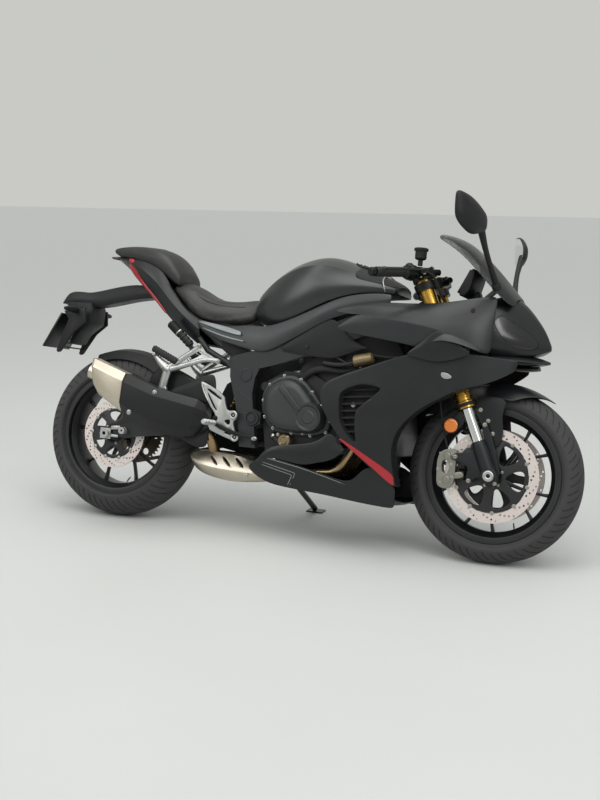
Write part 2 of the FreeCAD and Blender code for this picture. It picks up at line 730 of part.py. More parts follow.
def build_levers(pose, grip_start, clip_on):
    """Build the levers with their perches, and the reservoir over the right perch."""
    radius = size("bar_radius")
    ring_at = grip_start - 60
    perch = Part.makeCylinder(radius + 8, 22, Vector(0, 0, ring_at))
    arm = Part.makeBox(46, 18, 34, Vector(0, -9, ring_at - 8))
    perch = perch.fuse(arm).cut(Part.makeCylinder(radius, 60, Vector(0, 0, ring_at - 12)))
    blade = [(40, ring_at + 12), (56, ring_at + 20), (70, grip_start + 20),
             (66, grip_start + 128), (76, grip_start + 142), (68, grip_start + 146),
             (56, grip_start + 128), (58, grip_start + 24), (44, ring_at + 26)]
    face = Part.Face(closed_wire([Vector(x, -4, z) for x, z in blade]))
    lever = perch.fuse(face.extrude(Vector(0, 8, 0)))
    lever.Placement = pose
    lever = lever.cut(clip_on)
    add_shape("hand_levers", both_sides(lever), ON_FORK)
    foot = pose.multVec(Vector(21, 0, ring_at + 12)) - Vector(2, 0, 0)
    up = Rotation(Vector(0, 1, 0), size("rake")).multVec(Vector(0, 0, 1))
    cup = Part.makeCylinder(19, 28, foot + up * 24, up)
    cup = cup.fuse(Part.makeCylinder(22, 9, foot + up * 52, up))
    post = Part.makeCylinder(7, 30, foot + up * 6, up)
    shape = cup.fuse(post)
    add_shape("brake_reservoir", shape.cut(lever), ON_FORK)
    return lever


HOSE_RADIUS = 3.6


def build_brake_hoses(caliper, yoke, lever):
    """Build the hoses from the right lever to the lower yoke and on to both calipers."""
    low = size("lower_clamp_height")
    high = low + size("lower_clamp_thickness")
    down = pipe([Vector(-38, -30, low + 3), Vector(-44, -44, low - 50),
                 Vector(-72, -92, low - 170), Vector(-98, -104, low - 290),
                 Vector(-112, -80, 122)], HOSE_RADIUS, 24).cut([caliper, yoke])
    ring_at = size("bar_length") - size("grip_length") - 60
    start = bar_frame().multVec(Vector(0, 0, ring_at + 6)) + Vector(20, 0, 0)
    feed = pipe([start, start + Vector(20, 22, -24), Vector(42, -88, high + 70),
                 Vector(24, -62, high + 40), Vector(8, -56, high - 3)],
                HOSE_RADIUS, 14).cut([lever, yoke])
    add_shape("brake_hoses", Part.makeCompound([down, other_side(down), feed]), ON_FORK)


# ---------------------------------------------------------------------------
# Frame, engine and swingarm
# ---------------------------------------------------------------------------
def along_head(height):
    """Return a point of the steering axis at a height up the fork, in the upright bike."""
    return FORK_FRAME.multVec(Vector(-FORK_OFFSET, 0, height))


def head_tube_ends():
    """Return the bottom and top of the head tube, between the yokes."""
    low = (size("lower_clamp_height") + size("lower_clamp_thickness")
           + size("head_clearance"))
    return along_head(low), along_head(low + size("head_tube_length"))


def quad(x, inner, outer, z_low, z_high):
    """Return a right-hand four-sided section at a station."""
    return closed_wire([Vector(x, -inner, z_low), Vector(x, -outer, z_low),
                        Vector(x, -outer, z_high), Vector(x, -inner, z_high)])


# the frame's cross tube that carries the shock absorber: x, z and radius
SHOCK_TOP = (-215, 586)
SHOCK_TUBE = 15


def build_main_frame():
    """Build the twin-spar frame: head tube, spars, pivot plates and cross tubes."""
    inner = size("spar_inner")
    outer = size("spar_outer")
    low, high = head_tube_ends()
    middle = (low + high) * 0.5
    # x, inner, outer, z_low, z_high of the right spar from the pivot plate to the head tube
    spar = [(-228, inner, outer, 572, 640), (-60, inner, outer, 618, 690),
            (100, inner, outer, 676, 760), (250, inner - 14, outer - 8, 736, 826),
            (360, 66, 104, 772, 858)]
    wires = [quad(station(x), near, far, z_low, z_high)
             for x, near, far, z_low, z_high in spar]
    wires.append(quad(middle.x - 8, 2, 30, middle.z - 50, middle.z + 40))
    beam = loft(wires)
    plate = prism(outline_at([(-235, 600), (-120, 600), (-134, 566), (-140, 510), (-132, 456),
                              (-100, 443), (-100, 404), (-122, 392), (-110, 316),
                              (-174, 316), (-193, 437), (-210, 493), (-233, 566)]),
                  inner, outer)
    right = beam.fuse(plate)
    frame = right.fuse(other_side(right))
    frame = frame.fuse(Part.makeCylinder(size("head_tube_radius"), (high - low).Length, low,
                                         high - low))
    for x, z, radius in [(SHOCK_TOP[0], SHOCK_TOP[1], SHOCK_TUBE), (-142, 330, 11)]:
        frame = frame.fuse(rod(Vector(station(x), -outer + 2, z),
                               Vector(station(x), outer - 2, z), radius))
    frame = frame.cut(rod(low - STEER_AXIS * 5, high + STEER_AXIS * 5,
                          size("stem_radius") + size("running_fit")))
    pivot_bolt = rod(Vector(PIVOT.x, -outer - 8, PIVOT.z), Vector(PIVOT.x, outer + 8, PIVOT.z),
                     12)
    frame = frame.fuse(pivot_bolt)
    add_shape("main_frame", frame, PARKED)
    return frame


def build_subframe(frame):
    """Build the seat rails and their lower struts."""
    shape = None
    inset = size("spar_inner") - 12
    # x, step in from the frame, z of each rail's corners
    for points in [[(-222, 0, 628), (-380, 8, 735), (-560, 26, 850), (-690, 56, 918)],
                   [(-222, 0, 594), (-350, 2, 655), (-500, 20, 812)]]:
        ends = [Vector(station(x), step - inset, z) for x, step, z in points]
        for start, end in zip(ends, ends[1:]):
            bar = rod(start, end, 11)
            joint = Part.makeSphere(11, end)
            shape = bar if shape is None else shape.fuse(bar)
            shape = shape.fuse(joint)
    root = prism(outline_at([(-262, 606), (-214, 584), (-206, 640), (-246, 660)]),
                 inset - 10, inset + 12)
    shape = shape.fuse(root)
    rails = shape.fuse(other_side(shape))
    for x, step, z in [(-380, 8, 735), (-560, 26, 850)]:
        rails = rails.fuse(rod(Vector(station(x), step - inset, z),
                               Vector(station(x), inset - step, z), 9))
    rails = rails.cut(frame)
    add_shape("subframe", rails, PARKED)
    return rails


def build_engine(frame):
    """Build the engine as a block with its cylinders, and the covers on its sides."""
    half = size("engine_half_width")
    case = symmetric_prism(outline_at([(-112, 470), (-96, 560), (-30, 600), (70, 600),
                                       (150, 560), (196, 500), (200, 400), (160, 310),
                                       (20, 280), (-84, 306), (-96, 380)]), half)
    head = symmetric_prism(outline_at([(10, 590), (58, 668), (186, 712), (250, 640),
                                       (236, 520), (190, 490)]), half - 14)
    mounts = None
    for x, z in [(62, 668), (168, 706)]:
        lug = rod(Vector(station(x), -size("spar_inner"), z),
                  Vector(station(x), size("spar_inner"), z), 14)
        mounts = lug if mounts is None else mounts.fuse(lug)
    rear = rod(Vector(station(-104), -size("spar_inner"), 540),
               Vector(station(-104), size("spar_inner"), 540), 16)
    block = case.fuse([head, mounts, rear])
    # the bay at the left rear corner where the chain runs over the output sprocket
    output = Vector(station(size("front_sprocket_x")), 0, size("front_sprocket_height"))
    plane = size("sprocket_offset")
    bay = Part.makeBox(150, half, 128, Vector(output.x - 102, plane - 14, output.z - 76))
    wheel_half = size("chain_gap") / 2 - 0.5
    wheel = rod(output + Vector(0, plane - wheel_half, 0), output + Vector(0, plane + wheel_half, 0),
                size("front_sprocket_radius") - 4)
    shaft = rod(output + Vector(0, plane - 15, 0), output + Vector(0, plane + 8, 0), 13)
    block = block.cut(bay).fuse([wheel, shaft])
    block = block.cut(frame).removeSplitter()
    add_shape("engine_block", block, PARKED)
    build_engine_covers(half, block)
    return block


def build_engine_covers(half, block):
    """Build the clutch cover on the right and the generator cover on the left."""
    depth = size("cover_depth")
    # columns: share of the outline's size, distance out from the case
    steps = [(1.0, 0.0), (1.0, 0.62), (0.9, 0.92), (0.7, 1.0)]
    outline = outline_at([(-90, 455), (-80, 530), (-30, 580), (40, 582), (104, 520),
                          (160, 440), (150, 392), (92, 372), (-10, 382), (-70, 412)])
    clutch = stepped_cover(outline, half, depth, steps)
    boss = rod(Vector(station(96), -half - depth + 12, 443),
               Vector(station(96), -half - depth - 4, 443), 46)
    rib = prism(outline_at([(-22, 540), (52, 462), (66, 474), (-6, 552)]), half + depth - 8,
                half + depth + 4)
    pump = rod(Vector(station(-2), -half, 352), Vector(station(-2), -half - 34, 352), 24)
    clutch = clutch.fuse([boss, rib, pump])
    generator = stepped_cover(outline_at([(60, 470), (80, 540), (130, 560), (176, 520),
                                          (186, 450), (150, 392), (92, 392)]),
                              half, depth * 0.8, steps)
    # the sprocket cover hides the chain, so its inner face follows the chain's plane
    near = size("sprocket_offset") + size("chain_gap") / 2 + size("chain_plate") + 6.5
    sprocket_cover = prism(outline_at([(-92, 378), (-96, 470), (-40, 486), (22, 470),
                                       (30, 400), (-20, 366)]), near, near + 26)
    for x, z in [(12, 458), (18, 408)]:
        sprocket_cover = sprocket_cover.fuse(rod(Vector(station(x), -half + 4, z),
                                                 Vector(station(x), -near - 4, z), 8))
    left = other_side(generator.fuse(sprocket_cover)).cut(block)
    add_shape("engine_covers", Part.makeCompound([clutch, left]), PARKED)


def stepped_cover(outline, base, depth, steps):
    """Return a cover whose outline shrinks toward its middle as it stands out."""
    middle_x = sum(x for x, _ in outline) / len(outline)
    middle_z = sum(z for _, z in outline) / len(outline)
    wires = []
    for share, out in steps:
        wires.append(closed_wire([Vector(middle_x + (x - middle_x) * share, -base - depth * out,
                                         middle_z + (z - middle_z) * share)
                                  for x, z in outline]))
    return loft(wires)


def build_radiator(frame):
    """Build the radiator core with its side tanks, leaned like the fork."""
    core = symmetric_prism(outline_at([(384, 330), (412, 338), (372, 590), (344, 582)]), 148)
    for side in (-1, 1):
        base = Vector(station(398), side * 155, 330)
        top = Vector(station(356), side * 155, 590)
        core = core.fuse(rod(base, top, 15))
        core = core.fuse(rod(Vector(station(354), side * 100, 570),
                             Vector(station(345), side * 92, 790), 7))
    add_shape("radiator", core.cut(frame), PARKED)


def swingarm_side():
    """Return the right arm of the swingarm with its axle slot."""
    inner = size("swingarm_inner")
    outer = size("swingarm_outer")
    ahead = PIVOT.x
    back = REAR_AXLE.x
    reach = ahead - back
    # share of the way from pivot to axle, inner, outer, half height, rise over the straight line
    rows = [(0.0, inner - 60, inner - 4, 14, 0), (0.13, inner - 58, inner - 4, 26, -8),
            (0.34, inner - 14, outer - 2, 37, 2), (0.72, inner, outer, 33, 6),
            (0.9, inner, outer, 24, 2), (1.08, inner, outer, 22, 0)]
    wires = []
    for share, near, far, half_height, rise in rows:
        x = ahead - reach * share
        z = PIVOT.z + (REAR_AXLE.z - PIVOT.z) * share + rise
        wires.append(quad(x, near, far, z - half_height, z + half_height))
    arm = loft(wires)
    slot = prism([(back - 20, REAR_AXLE.z - size("rear_axle_radius")),
                  (back + 26, REAR_AXLE.z - size("rear_axle_radius")),
                  (back + 26, REAR_AXLE.z + size("rear_axle_radius")),
                  (back - 20, REAR_AXLE.z + size("rear_axle_radius"))], inner - 4, outer + 4)
    return arm.cut(slot)


# room between the cross beam and the front of the rear tyre
BEAM_TO_TYRE = 51.33


def build_swingarm():
    """Build the swingarm: pivot barrel, cross beam and two arms."""
    arm = swingarm_side()
    inner = size("swingarm_inner")
    drop = (PIVOT.z - REAR_AXLE.z) / (PIVOT.x - REAR_AXLE.x)
    x_front = PIVOT.x - 110
    x_back = REAR_TYRE_FRONT + BEAM_TO_TYRE
    z_front = PIVOT.z - drop * (PIVOT.x - x_front)
    z_back = PIVOT.z - drop * (PIVOT.x - x_back)
    beam = symmetric_prism([(x_front, z_front - 26), (x_front, z_front + 26),
                            (x_back, z_back + 32), (x_back, z_back - 30)], inner - 34)
    barrel = rod(Vector(PIVOT.x, 28 - inner, PIVOT.z), Vector(PIVOT.x, inner - 28, PIVOT.z), 27)
    collar = size("spar_inner")
    collars = rod(Vector(PIVOT.x, -collar, PIVOT.z), Vector(PIVOT.x, collar, PIVOT.z), 15.5)
    shape = arm.fuse([other_side(arm), beam, barrel, collars])
    shape = shape.cut(rod(Vector(PIVOT.x, -collar - 9, PIVOT.z),
                          Vector(PIVOT.x, collar + 9, PIVOT.z), 12 + size("running_fit")))
    add_shape("swingarm", shape, PARKED)
    return shape


def build_stand_bosses():
    """Build the spools that a paddock stand lifts, one on each arm."""
    outer = size("swingarm_outer")
    x = REAR_AXLE.x + 78
    z = REAR_AXLE.z + (PIVOT.z - REAR_AXLE.z) * 78 / (PIVOT.x - REAR_AXLE.x) + 2
    spool = rod(Vector(x, -outer, z), Vector(x, -outer - 26, z), 13)
    groove = rod(Vector(x, -outer - 8, z), Vector(x, -outer - 18, z), 13.5)
    waist = rod(Vector(x, -outer - 8, z), Vector(x, -outer - 18, z), 9)
    spool = spool.cut(groove).fuse(waist)
    bore = rod(Vector(x, -outer - 1, z), Vector(x, -outer - 27, z), 4)
    add_shape("stand_bosses", both_sides(spool.cut(bore)), PARKED)


def build_rear_axle():
    """Build the rear axle with its nut, adjuster blocks and the spacers beside the hub."""
    inner = size("swingarm_inner")
    outer = size("swingarm_outer")
    radius = size("rear_axle_radius")
    hub = REAR_HUB_HALF + size("wheel_clearance")
    shaft = rod(REAR_AXLE + Vector(0, -outer - 16, 0), REAR_AXLE + Vector(0, outer + 16, 0),
                radius)
    bore = rod(REAR_AXLE + Vector(0, -outer - 20, 0), REAR_AXLE + Vector(0, outer + 20, 0), 7)
    right_spacer = rod(REAR_AXLE + Vector(0, -hub, 0), REAR_AXLE + Vector(0, -inner, 0),
                       radius + 4)
    left_spacer = rod(REAR_AXLE + Vector(0, size("sprocket_offset") + 4, 0),
                      REAR_AXLE + Vector(0, inner, 0), radius + 4)
    shape = shaft.fuse([right_spacer, left_spacer])
    for side in (-1, 1):
        block = Part.makeBox(44, 9, 40, Vector(REAR_AXLE.x - 22, -4.5, REAR_AXLE.z - 20))
        block.translate(Vector(0, side * (outer + 4.5), 0))
        nut = rod(REAR_AXLE + Vector(0, side * (outer + 9), 0),
                  REAR_AXLE + Vector(0, side * (outer + 20), 0), 17)
        shape = shape.fuse([block, nut])
    add_shape("rear_axle", shape.cut(bore), PARKED)


def build_rear_caliper():
    """Build the rear caliper on its bracket, behind and above the axle."""
    offset = size("rear_disc_offset")
    gap = size("disc_thickness") / 2 + size("pad_clearance")
    x, z = REAR_AXLE.x, REAR_AXLE.z
    outline = [(x + 44, z + 62), (x + 102, z + 34), (x + 122, z + 66), (x + 96, z + 112),
               (x + 52, z + 116)]
    block = prism(outline, offset - 20, offset + 27)
    slot = rod(Vector(x, -offset + gap, z), Vector(x, -offset - gap, z),
               size("rear_disc_radius") + 3)
    bracket = prism([(x - 22, z - 16), (x + 20, z - 20), (x + 34, z + 6), (x + 88, z + 44),
                     (x + 60, z + 74), (x - 6, z + 26)], offset + 8, offset + 20)
    hole = rod(Vector(x, -offset, z), Vector(x, -offset - 40, z),
               size("rear_axle_radius") + 4.1)
    shape = block.cut(slot).fuse(bracket).cut(hole)
    add_shape("rear_caliper", shape, PARKED)


def build_chain():
    """Build the drive chain: two rows of plates and the rollers on its straight runs."""
    front = Vector(station(size("front_sprocket_x")), 0, size("front_sprocket_height"))
    rear = REAR_AXLE
    reach = front - rear
    big = size("sprocket_radius") + 2
    small = size("front_sprocket_radius")
    tilt = math.asin((big - small) / reach.Length)
    along = math.atan2(reach.z, reach.x)
    half = size("chain_height") / 2

    def loop(grow):
        """Return the closed outline of the chain moved outward by grow."""
        upper = along + math.pi / 2 + tilt
        lower = along - math.pi / 2 - tilt

        def at(centre, radius, angle):
            return Vector(centre.x + radius * math.cos(angle), 0,
                          centre.z + radius * math.sin(angle))

        edges = [
            Part.LineSegment(at(rear, big + grow, upper), at(front, small + grow, upper)),
            Part.Arc(at(front, small + grow, upper), at(front, small + grow, along),
                     at(front, small + grow, lower)),
            Part.LineSegment(at(front, small + grow, lower), at(rear, big + grow, lower)),
            Part.Arc(at(rear, big + grow, lower), at(rear, big + grow, along + math.pi),
                     at(rear, big + grow, upper)),
        ]
        return Part.Wire([edge.toShape() for edge in edges])

    plane = size("sprocket_offset")
    gap = size("chain_gap") / 2
    rows = []
    for side in (-1, 1):
        band = Part.Face(loop(half)).extrude(Vector(0, size("chain_plate"), 0))
        band = band.cut(Part.Face(loop(-half)).extrude(Vector(0, size("chain_plate"), 0)))
        start = plane + gap if side > 0 else plane - gap - size("chain_plate")
        band.translate(Vector(0, start, 0))
        rows.append(band)
    chain = rows[0].fuse(rows[1])
    upper = along + math.pi / 2 + tilt
    for angle in (upper, along - math.pi / 2 - tilt):
        start = Vector(rear.x + big * math.cos(angle), 0, rear.z + big * math.sin(angle))
        end = Vector(front.x + small * math.cos(angle), 0, front.z + small * math.sin(angle))
        for number in range(5):
            centre = start + (end - start) * (0.24 + 0.16 * number)
            chain = chain.fuse(rod(Vector(centre.x, plane - gap - 1, centre.z),
                                   Vector(centre.x, plane + gap + 1, centre.z), 4))
    add_shape("drive_chain", chain, PARKED)


def build_shock(swingarm, rails):
    """Build the rear shock absorber with its spring, between the swingarm and the frame."""
    top = Vector(station(SHOCK_TOP[0]), 0, SHOCK_TOP[1])
    foot = Vector(station(-262), 0, PIVOT.z + 6)
    along = top - foot
    body = rod(foot, foot + along * 0.45, 24)
    spring = rod(foot + along * 0.2, foot + along * 0.8, 31)
    rod_end = rod(foot + along * 0.7, top, 16)
    eye = rod(top + Vector(0, -20, 0), top + Vector(0, 20, 0), SHOCK_TUBE + 8)
    tube = rod(top + Vector(0, -30, 0), top + Vector(0, 30, 0),
               SHOCK_TUBE + size("running_fit"))
    shock = body.fuse([spring, rod_end, eye]).cut(tube).cut(swingarm)
    adjuster = preload_adjuster(rails)
    add_shape("shock_absorber", Part.makeCompound([shock, adjuster]), PARKED)
    return adjuster


def build_rear_hugger(swingarm):
    """Build the guard close over the rear tyre."""
    reach = size("rear_tyre_radius")
    wall = 3.0
    outer = [(0, reach + 14), (50, reach + 4), (83, reach - 30)]
    inner = [(0, reach + 14 - wall), (49, reach + 4 - wall), (83 - wall, reach - 32)]
    face = strip_section(outer, inner)
    front_angle = 12.0
    face.rotate(Vector(0, 0, 0), Vector(0, 1, 0), 90 - front_angle)
    guard = face.revolve(Vector(0, 0, 0), Vector(0, -1, 0), 100.0)
    guard.translate(REAR_AXLE)
    # struts from the guard's lower front corners down to the arms
    turn = math.radians(20)
    x = REAR_AXLE.x + (reach - 31) * math.cos(turn)
    z = REAR_AXLE.z + (reach - 31) * math.sin(turn)
    share = (PIVOT.x - x) / (PIVOT.x - REAR_AXLE.x)
    arm_z = PIVOT.z + (REAR_AXLE.z - PIVOT.z) * share
    for side in (-1, 1):
        guard = guard.fuse(rod(Vector(x, side * 81, z), Vector(x, side * 126, arm_z + 31), 5))
    add_shape("rear_hugger", guard.cut(swingarm), PARKED)


# ---------------------------------------------------------------------------
# Exhaust
# ---------------------------------------------------------------------------
PIPE_RADIUS = 18
# room between the collector box and the front of the rear tyre
COLLECTOR_TO_TYRE = 43.33


def build_exhaust(block, swingarm):
    """Build the header pipes, the collector under the engine, the link pipe and muffler.

    The muffler's sleeve and the collector are returned.
    """
    headers = None
    for number in range(4):
        y = -108 + 47 * number
        route = [Vector(station(244), y, 560), Vector(station(268), y, 470),
                 Vector(station(256), y, 236), Vector(station(40), y * 0.55 - 34, 236)]
        run = pipe(route, PIPE_RADIUS, 40)
        headers = run if headers is None else headers.fuse(run)
    headers = headers.cut(block)
    # x, z_low, half_low, z_wide, half_wide, z_top, half_crown, crown_drop of the collector box
    behind = [(REAR_TYRE_FRONT + COLLECTOR_TO_TYRE, 262, 36, 275, 58, 292, 30, 4),
              (REAR_TYRE_FRONT + COLLECTOR_TO_TYRE + 42, 212, 70, 250, 104, 292, 66, 6)]
    collector = rounded_body(behind + placed([(-180, 190, 76, 236, 112, 284, 70, 6),
                                              (-70, 206, 62, 230, 88, 256, 60, 5),
                                              (40.5, 210, 70, 236, 84, 262, 74, 5)]))
    collector.translate(Vector(0, -28, 0))
    collector = collector.cut(swingarm)
    add_shape("exhaust_headers", headers.cut(collector), PARKED)
    return build_muffler(collector, swingarm), collector


def muffler_section(x, z_low, z_high, inner, outer, lean):
    """Return an eight-sided section of the muffler, leaned like its cut ends."""
    chamfer = 18
    corners = [(inner, z_low + chamfer), (inner + chamfer, z_low), (outer - 26, z_low),
               (outer, z_low + 34), (outer, z_high - 30), (outer - chamfer, z_high),
               (inner + chamfer, z_high), (inner, z_high - chamfer)]
    return closed_wire([Vector(x + lean * (z - z_low) / (z_high - z_low), -y, z)
                        for y, z in corners])


def build_muffler(collector, swingarm):
    """Build the muffler can, its black sleeve, the outlet and the link to the collector."""
    # x, z_low, z_high, inner, outer, lean of each section from front to rear
    can = [(-632, 402, 546, 152, 242, 10), (-760, 470, 602, 158, 238, -26),
           (-772, 486, 600, 168, 228, -22)]
    sleeve = [(-345, 338, 470, 147, 200, 20), (-420, 328, 484, 149, 214, 20),
              (-510, 350, 502, 151, 234, 14), (-632, 401, 545, 153, 241, 10)]
    shapes = []
    for rows in (can, sleeve):
        shapes.append(loft([muffler_section(station(row[0]), *row[1:]) for row in rows]))
    muffler, shield = shapes
    outlet = rod(Vector(station(-700), -198, 520), Vector(station(-800), -198, 550), 30)
    bore = rod(Vector(station(-730), -198, 529), Vector(station(-802), -198, 550.6), 25)
    muffler = muffler.fuse(outlet).cut(bore)
    add_shape("muffler_can", muffler, PARKED)
    link = rod(Vector(station(-306), -98, 258), Vector(station(-386), -180, 368), 25)
    add_shape("muffler_shield", shield, PARKED)
    link = link.cut(shield).cut(swingarm)
    add_shape("collector_box", collector.fuse(link), PARKED)
    return shield


# ---------------------------------------------------------------------------
# Bodywork
# ---------------------------------------------------------------------------
# stations of the tank: x, z_low, half_low, z_wide, half_wide, z_top, half_crown, crown_drop
TANK = [(-186, 776, 62, 800, 80, 868, 52, 6), (-130, 757, 96, 800, 112, 930, 74, 14),
        (-40, 770, 128, 860, 150, 994, 92, 18), (70, 832, 142, 915, 158, 1025, 96, 20),
        (190, 884, 142, 930, 150, 994, 92, 18), (300, 897, 122, 925, 124, 966, 72, 12),
        (352, 897, 92, 910, 94, 944, 54, 10)]
# stations of the rider's seat, from its rise at the rear to the nose against the tank
SEAT = [(-532, 866, 74, 892, 84, 912, 50, 5), (-450, 792, 110, 850, 128, 893, 80, 8),
        (-380, 762, 122, 810, 134, 848, 88, 8), (-300, 757, 110, 800, 118, 840, 78, 7),
        (-230, 757, 80, 800, 84, 850, 52, 8), (-187, 780, 58, 810, 62, 866, 38, 8)]
PILLION = [(-832, 1006, 34, 1016, 44, 1030, 26, 4), (-740, 988, 70, 1016, 84, 1038, 50, 6),
           (-640, 972, 92, 1010, 108, 1034, 66, 7), (-590, 955, 98, 1000, 114, 1030, 70, 8),
           (-540, 900, 96, 962, 112, 994, 66, 9), (-502, 880, 84, 918, 96, 938, 56, 6)]
TAIL = [(-806, 984, 26, 990, 36, 999, 26, 1), (-735, 944, 52, 972, 78, 992, 60, 2),
        (-660, 882, 70, 950, 100, 984, 80, 2), (-590, 822, 84, 900, 112, 960, 84, 2),
        (-520, 760, 96, 830, 122, 862, 90, 2), (-450, 712, 104, 770, 126, 796, 100, 2),
        (-384, 672, 108, 730, 126, 764, 108, 2)]


def build_tank():
    """Build the fuel tank with its filler cap."""
    tank = rounded_body(placed(TANK))
    cap = rod(Vector(station(196), 0, 970), Vector(station(204), 0, 998), 42)
    add_shape("fuel_tank", tank.fuse(cap), PARKED)


def build_seats(rails):
    """Build the tail on its rails and the two seats that rest on it."""
    tail = rounded_body(placed(TAIL))
    bed = tail.translated(Vector(0, 0, size("rubber_gap")))
    seat = rounded_body(placed(SEAT)).cut(bed)
    gap = size("rubber_gap")
    pillion = rounded_body(placed(PILLION)).cut(bed).cut(seat.translated(Vector(-gap, 0, gap)))
    add_shape("rider_seat", seat, PARKED)
    add_shape("pillion_seat", pillion, PARKED)
    wall = size("panel_wall")
    hollow = [(x, z_low + wall, half - wall, z_wide, wide - wall, top - wall, crown - wall, drop)
              for x, z_low, half, z_wide, wide, top, crown, drop in placed(TAIL[1:])]
    mouth = (hollow[-1][0] + 10,) + hollow[-1][1:]
    shell = tail.cut(rounded_body(hollow + [mouth])).cut(rails)
    add_shape("tail_fairing", shell, PARKED)
    return tail


def build_tail_light():
    """Build the tail light set in the tip of the tail."""
    light = rounded_body(placed([(-846, 992, 22, 995, 26, 999, 20, 1),
                                 (-807, 984.5, 25, 990, 35, 998.5, 25, 1)]))
    add_shape("tail_light", light, PARKED)


def build_plate_holder(tail):
    """Build the plate arm: its root under the tail, the lamp hood and the ribbed plate."""
    root = [(-612, 846, 34, 862, 44, 880, 36, 4), (-720, 838, 34, 860, 42, 902, 30, 6)]
    # columns as those of the root, but placed from the back of the rear tyre
    arm = [(185, 800, 32, 830, 38, 868, 26, 6), (85, 806, 36, 830, 44, 856, 26, 8),
           (15, 806, 40, 820, 46, 846, 26, 10), (-3, 804, 30, 808, 32, 814, 22, 4)]
    shape = rounded_body(placed(root) + [(REAR_TYRE_BACK + row[0],) + row[1:] for row in arm])

    def behind(points, half_width):
        """Return a symmetric prism whose X is measured from the back of the rear tyre."""
        return symmetric_prism([(REAR_TYRE_BACK + x, z) for x, z in points], half_width)

    holder = behind([(39, 812), (139, 812), (149, 790), (145, 730), (95, 690), (45, 612),
                     (29, 612), (67, 700), (83, 740), (25, 764)], 52)
    plate = behind([(15, 766), (23, 762), (-85, 640), (-91, 644)], 92)
    web = behind([(17, 764), (85, 742), (70, 700), (-11, 726)], 8)
    holder = shape.fuse([holder, plate, web]).cut(tail)
    add_shape("plate_holder", holder, PARKED)
    stalk = rod(Vector(REAR_TYRE_BACK + 95, -44, 812), Vector(REAR_TYRE_BACK + 105, -128, 806), 7)
    lamp = rounded_body([(-62, -7, 5, 0, 8, 7, 5, 1), (30, -14, 10, 0, 15, 14, 9, 2)])
    lamp.translate(Vector(REAR_TYRE_BACK + 107, -138, 806))
    add_shape("rear_indicators", both_sides(stalk.fuse(lamp).cut(holder)), PARKED)


def build_side_panels():
    """Build the covers between the tank and frame, and the duct panels below them."""
    outer = size("spar_outer")
    wall = size("panel_wall")
    cover = new_body("side_covers", PARKED)
    band = outline_at([(-397, 772), (-330, 750), (-262, 742), (-184, 756), (-137, 752),
                       (-80, 755), (28, 800), (123, 850), (192, 876), (275, 888), (352, 888),
                       (352, 850), (221, 820), (127, 795), (32, 732), (-50, 688), (-107, 656),
                       (-200, 676), (-284, 694), (-372, 730)])
    mirror_across(cover, [side_plate(cover, band, outer + 4, outer + 4 + wall)])
    duct = new_body("duct_panels", PARKED)
    skirt = outline_at([(-46, 684), (23, 734), (130, 800), (215, 822), (236, 816), (186, 755),
                        (237, 715), (288, 700), (162, 656), (74, 659), (-27, 668)])
    mirror_across(duct, [side_plate(duct, skirt, outer, outer + 4)])


def build_fairing():
    """Build the upper fairings, shoulder panels, winglets and the large side fairings."""
    wall = size("panel_wall")
    # x, z_low, y_low, z_high, y_high, bow
    upper = bowed_panel(placed([(240, 812, 210, 846, 178, 4), (372, 798, 236, 856, 180, 8),
                                (456, 786, 238, 858, 176, 10), (545, 770, 232, 868, 170, 10),
                                (651, 718, 206, 890, 150, 12), (700, 712, 184, 892, 132, 12)]),
                        wall)
    add_shape("upper_fairings", both_sides(upper), PARKED)
    shoulder = bowed_panel(placed([(186, 752, 205, 772, 206, 2), (254, 744, 206, 811, 212, 4),
                                   (372, 727, 212, 797, 236, 4), (470, 712, 214, 785, 238, 4),
                                   (530, 700, 212, 773, 233, 4)]), wall).cut(upper)
    winglet = bowed_panel(placed([(452, 676, 228, 692, 229, 1), (520, 668, 226, 744, 236, 5),
                                  (560, 668, 222, 762, 232, 6), (651, 690, 204, 717, 207, 2)]),
                          wall)
    side = bowed_panel(placed([(124, 508, 196, 562, 204, 2), (152, 476, 194, 575, 206, 5),
                               (185, 410, 188, 590, 208, 10), (225, 383, 186, 606, 211, 14),
                               (300, 330, 184, 637, 215, 18), (425, 242, 180, 686, 222, 20),
                               (432, 410, 206, 688, 222, 12), (505, 500, 206, 701, 216, 8),
                               (571, 540, 194, 701, 208, 6), (640, 592, 176, 700, 196, 5),
                               (720, 628, 140, 694, 160, 3)]), wall)
    vent = outline_at([(216, 526), (227, 543), (293, 574), (368, 562), (359, 548), (288, 488),
                       (279, 466), (285, 400), (277, 378), (227, 427), (219, 482)])
    side = side.cut(through_prism(vent)).cut(shoulder)
    winglet.translate(Vector(0, -1, 0))
    winglet = winglet.cut(side).cut(shoulder)
    add_shape("shoulder_panels", both_sides(shoulder), PARKED)
    add_shape("side_fairings", Part.makeCompound([side, winglet, other_side(side),
                                                  other_side(winglet)]), PARKED)
    build_vents(side)
    return side, upper


def build_vents(side):
    """Build the louvred inserts behind the crescent vents."""
    rows = []
    for number in range(7):
        z = 400 + 24 * number
        rows.append(prism([(210, z), (375, z + 16), (375, z + 22), (210, z + 6)], 178, 196))
    frame = prism([(204, 366), (384, 366), (384, 584), (204, 584)], 172, 178)
    shape = frame.fuse(rows)
    shape.translate(Vector(station(290) - 290, 0, 0))
    add_shape("vent_inserts", both_sides(shape.cut(side)), PARKED)


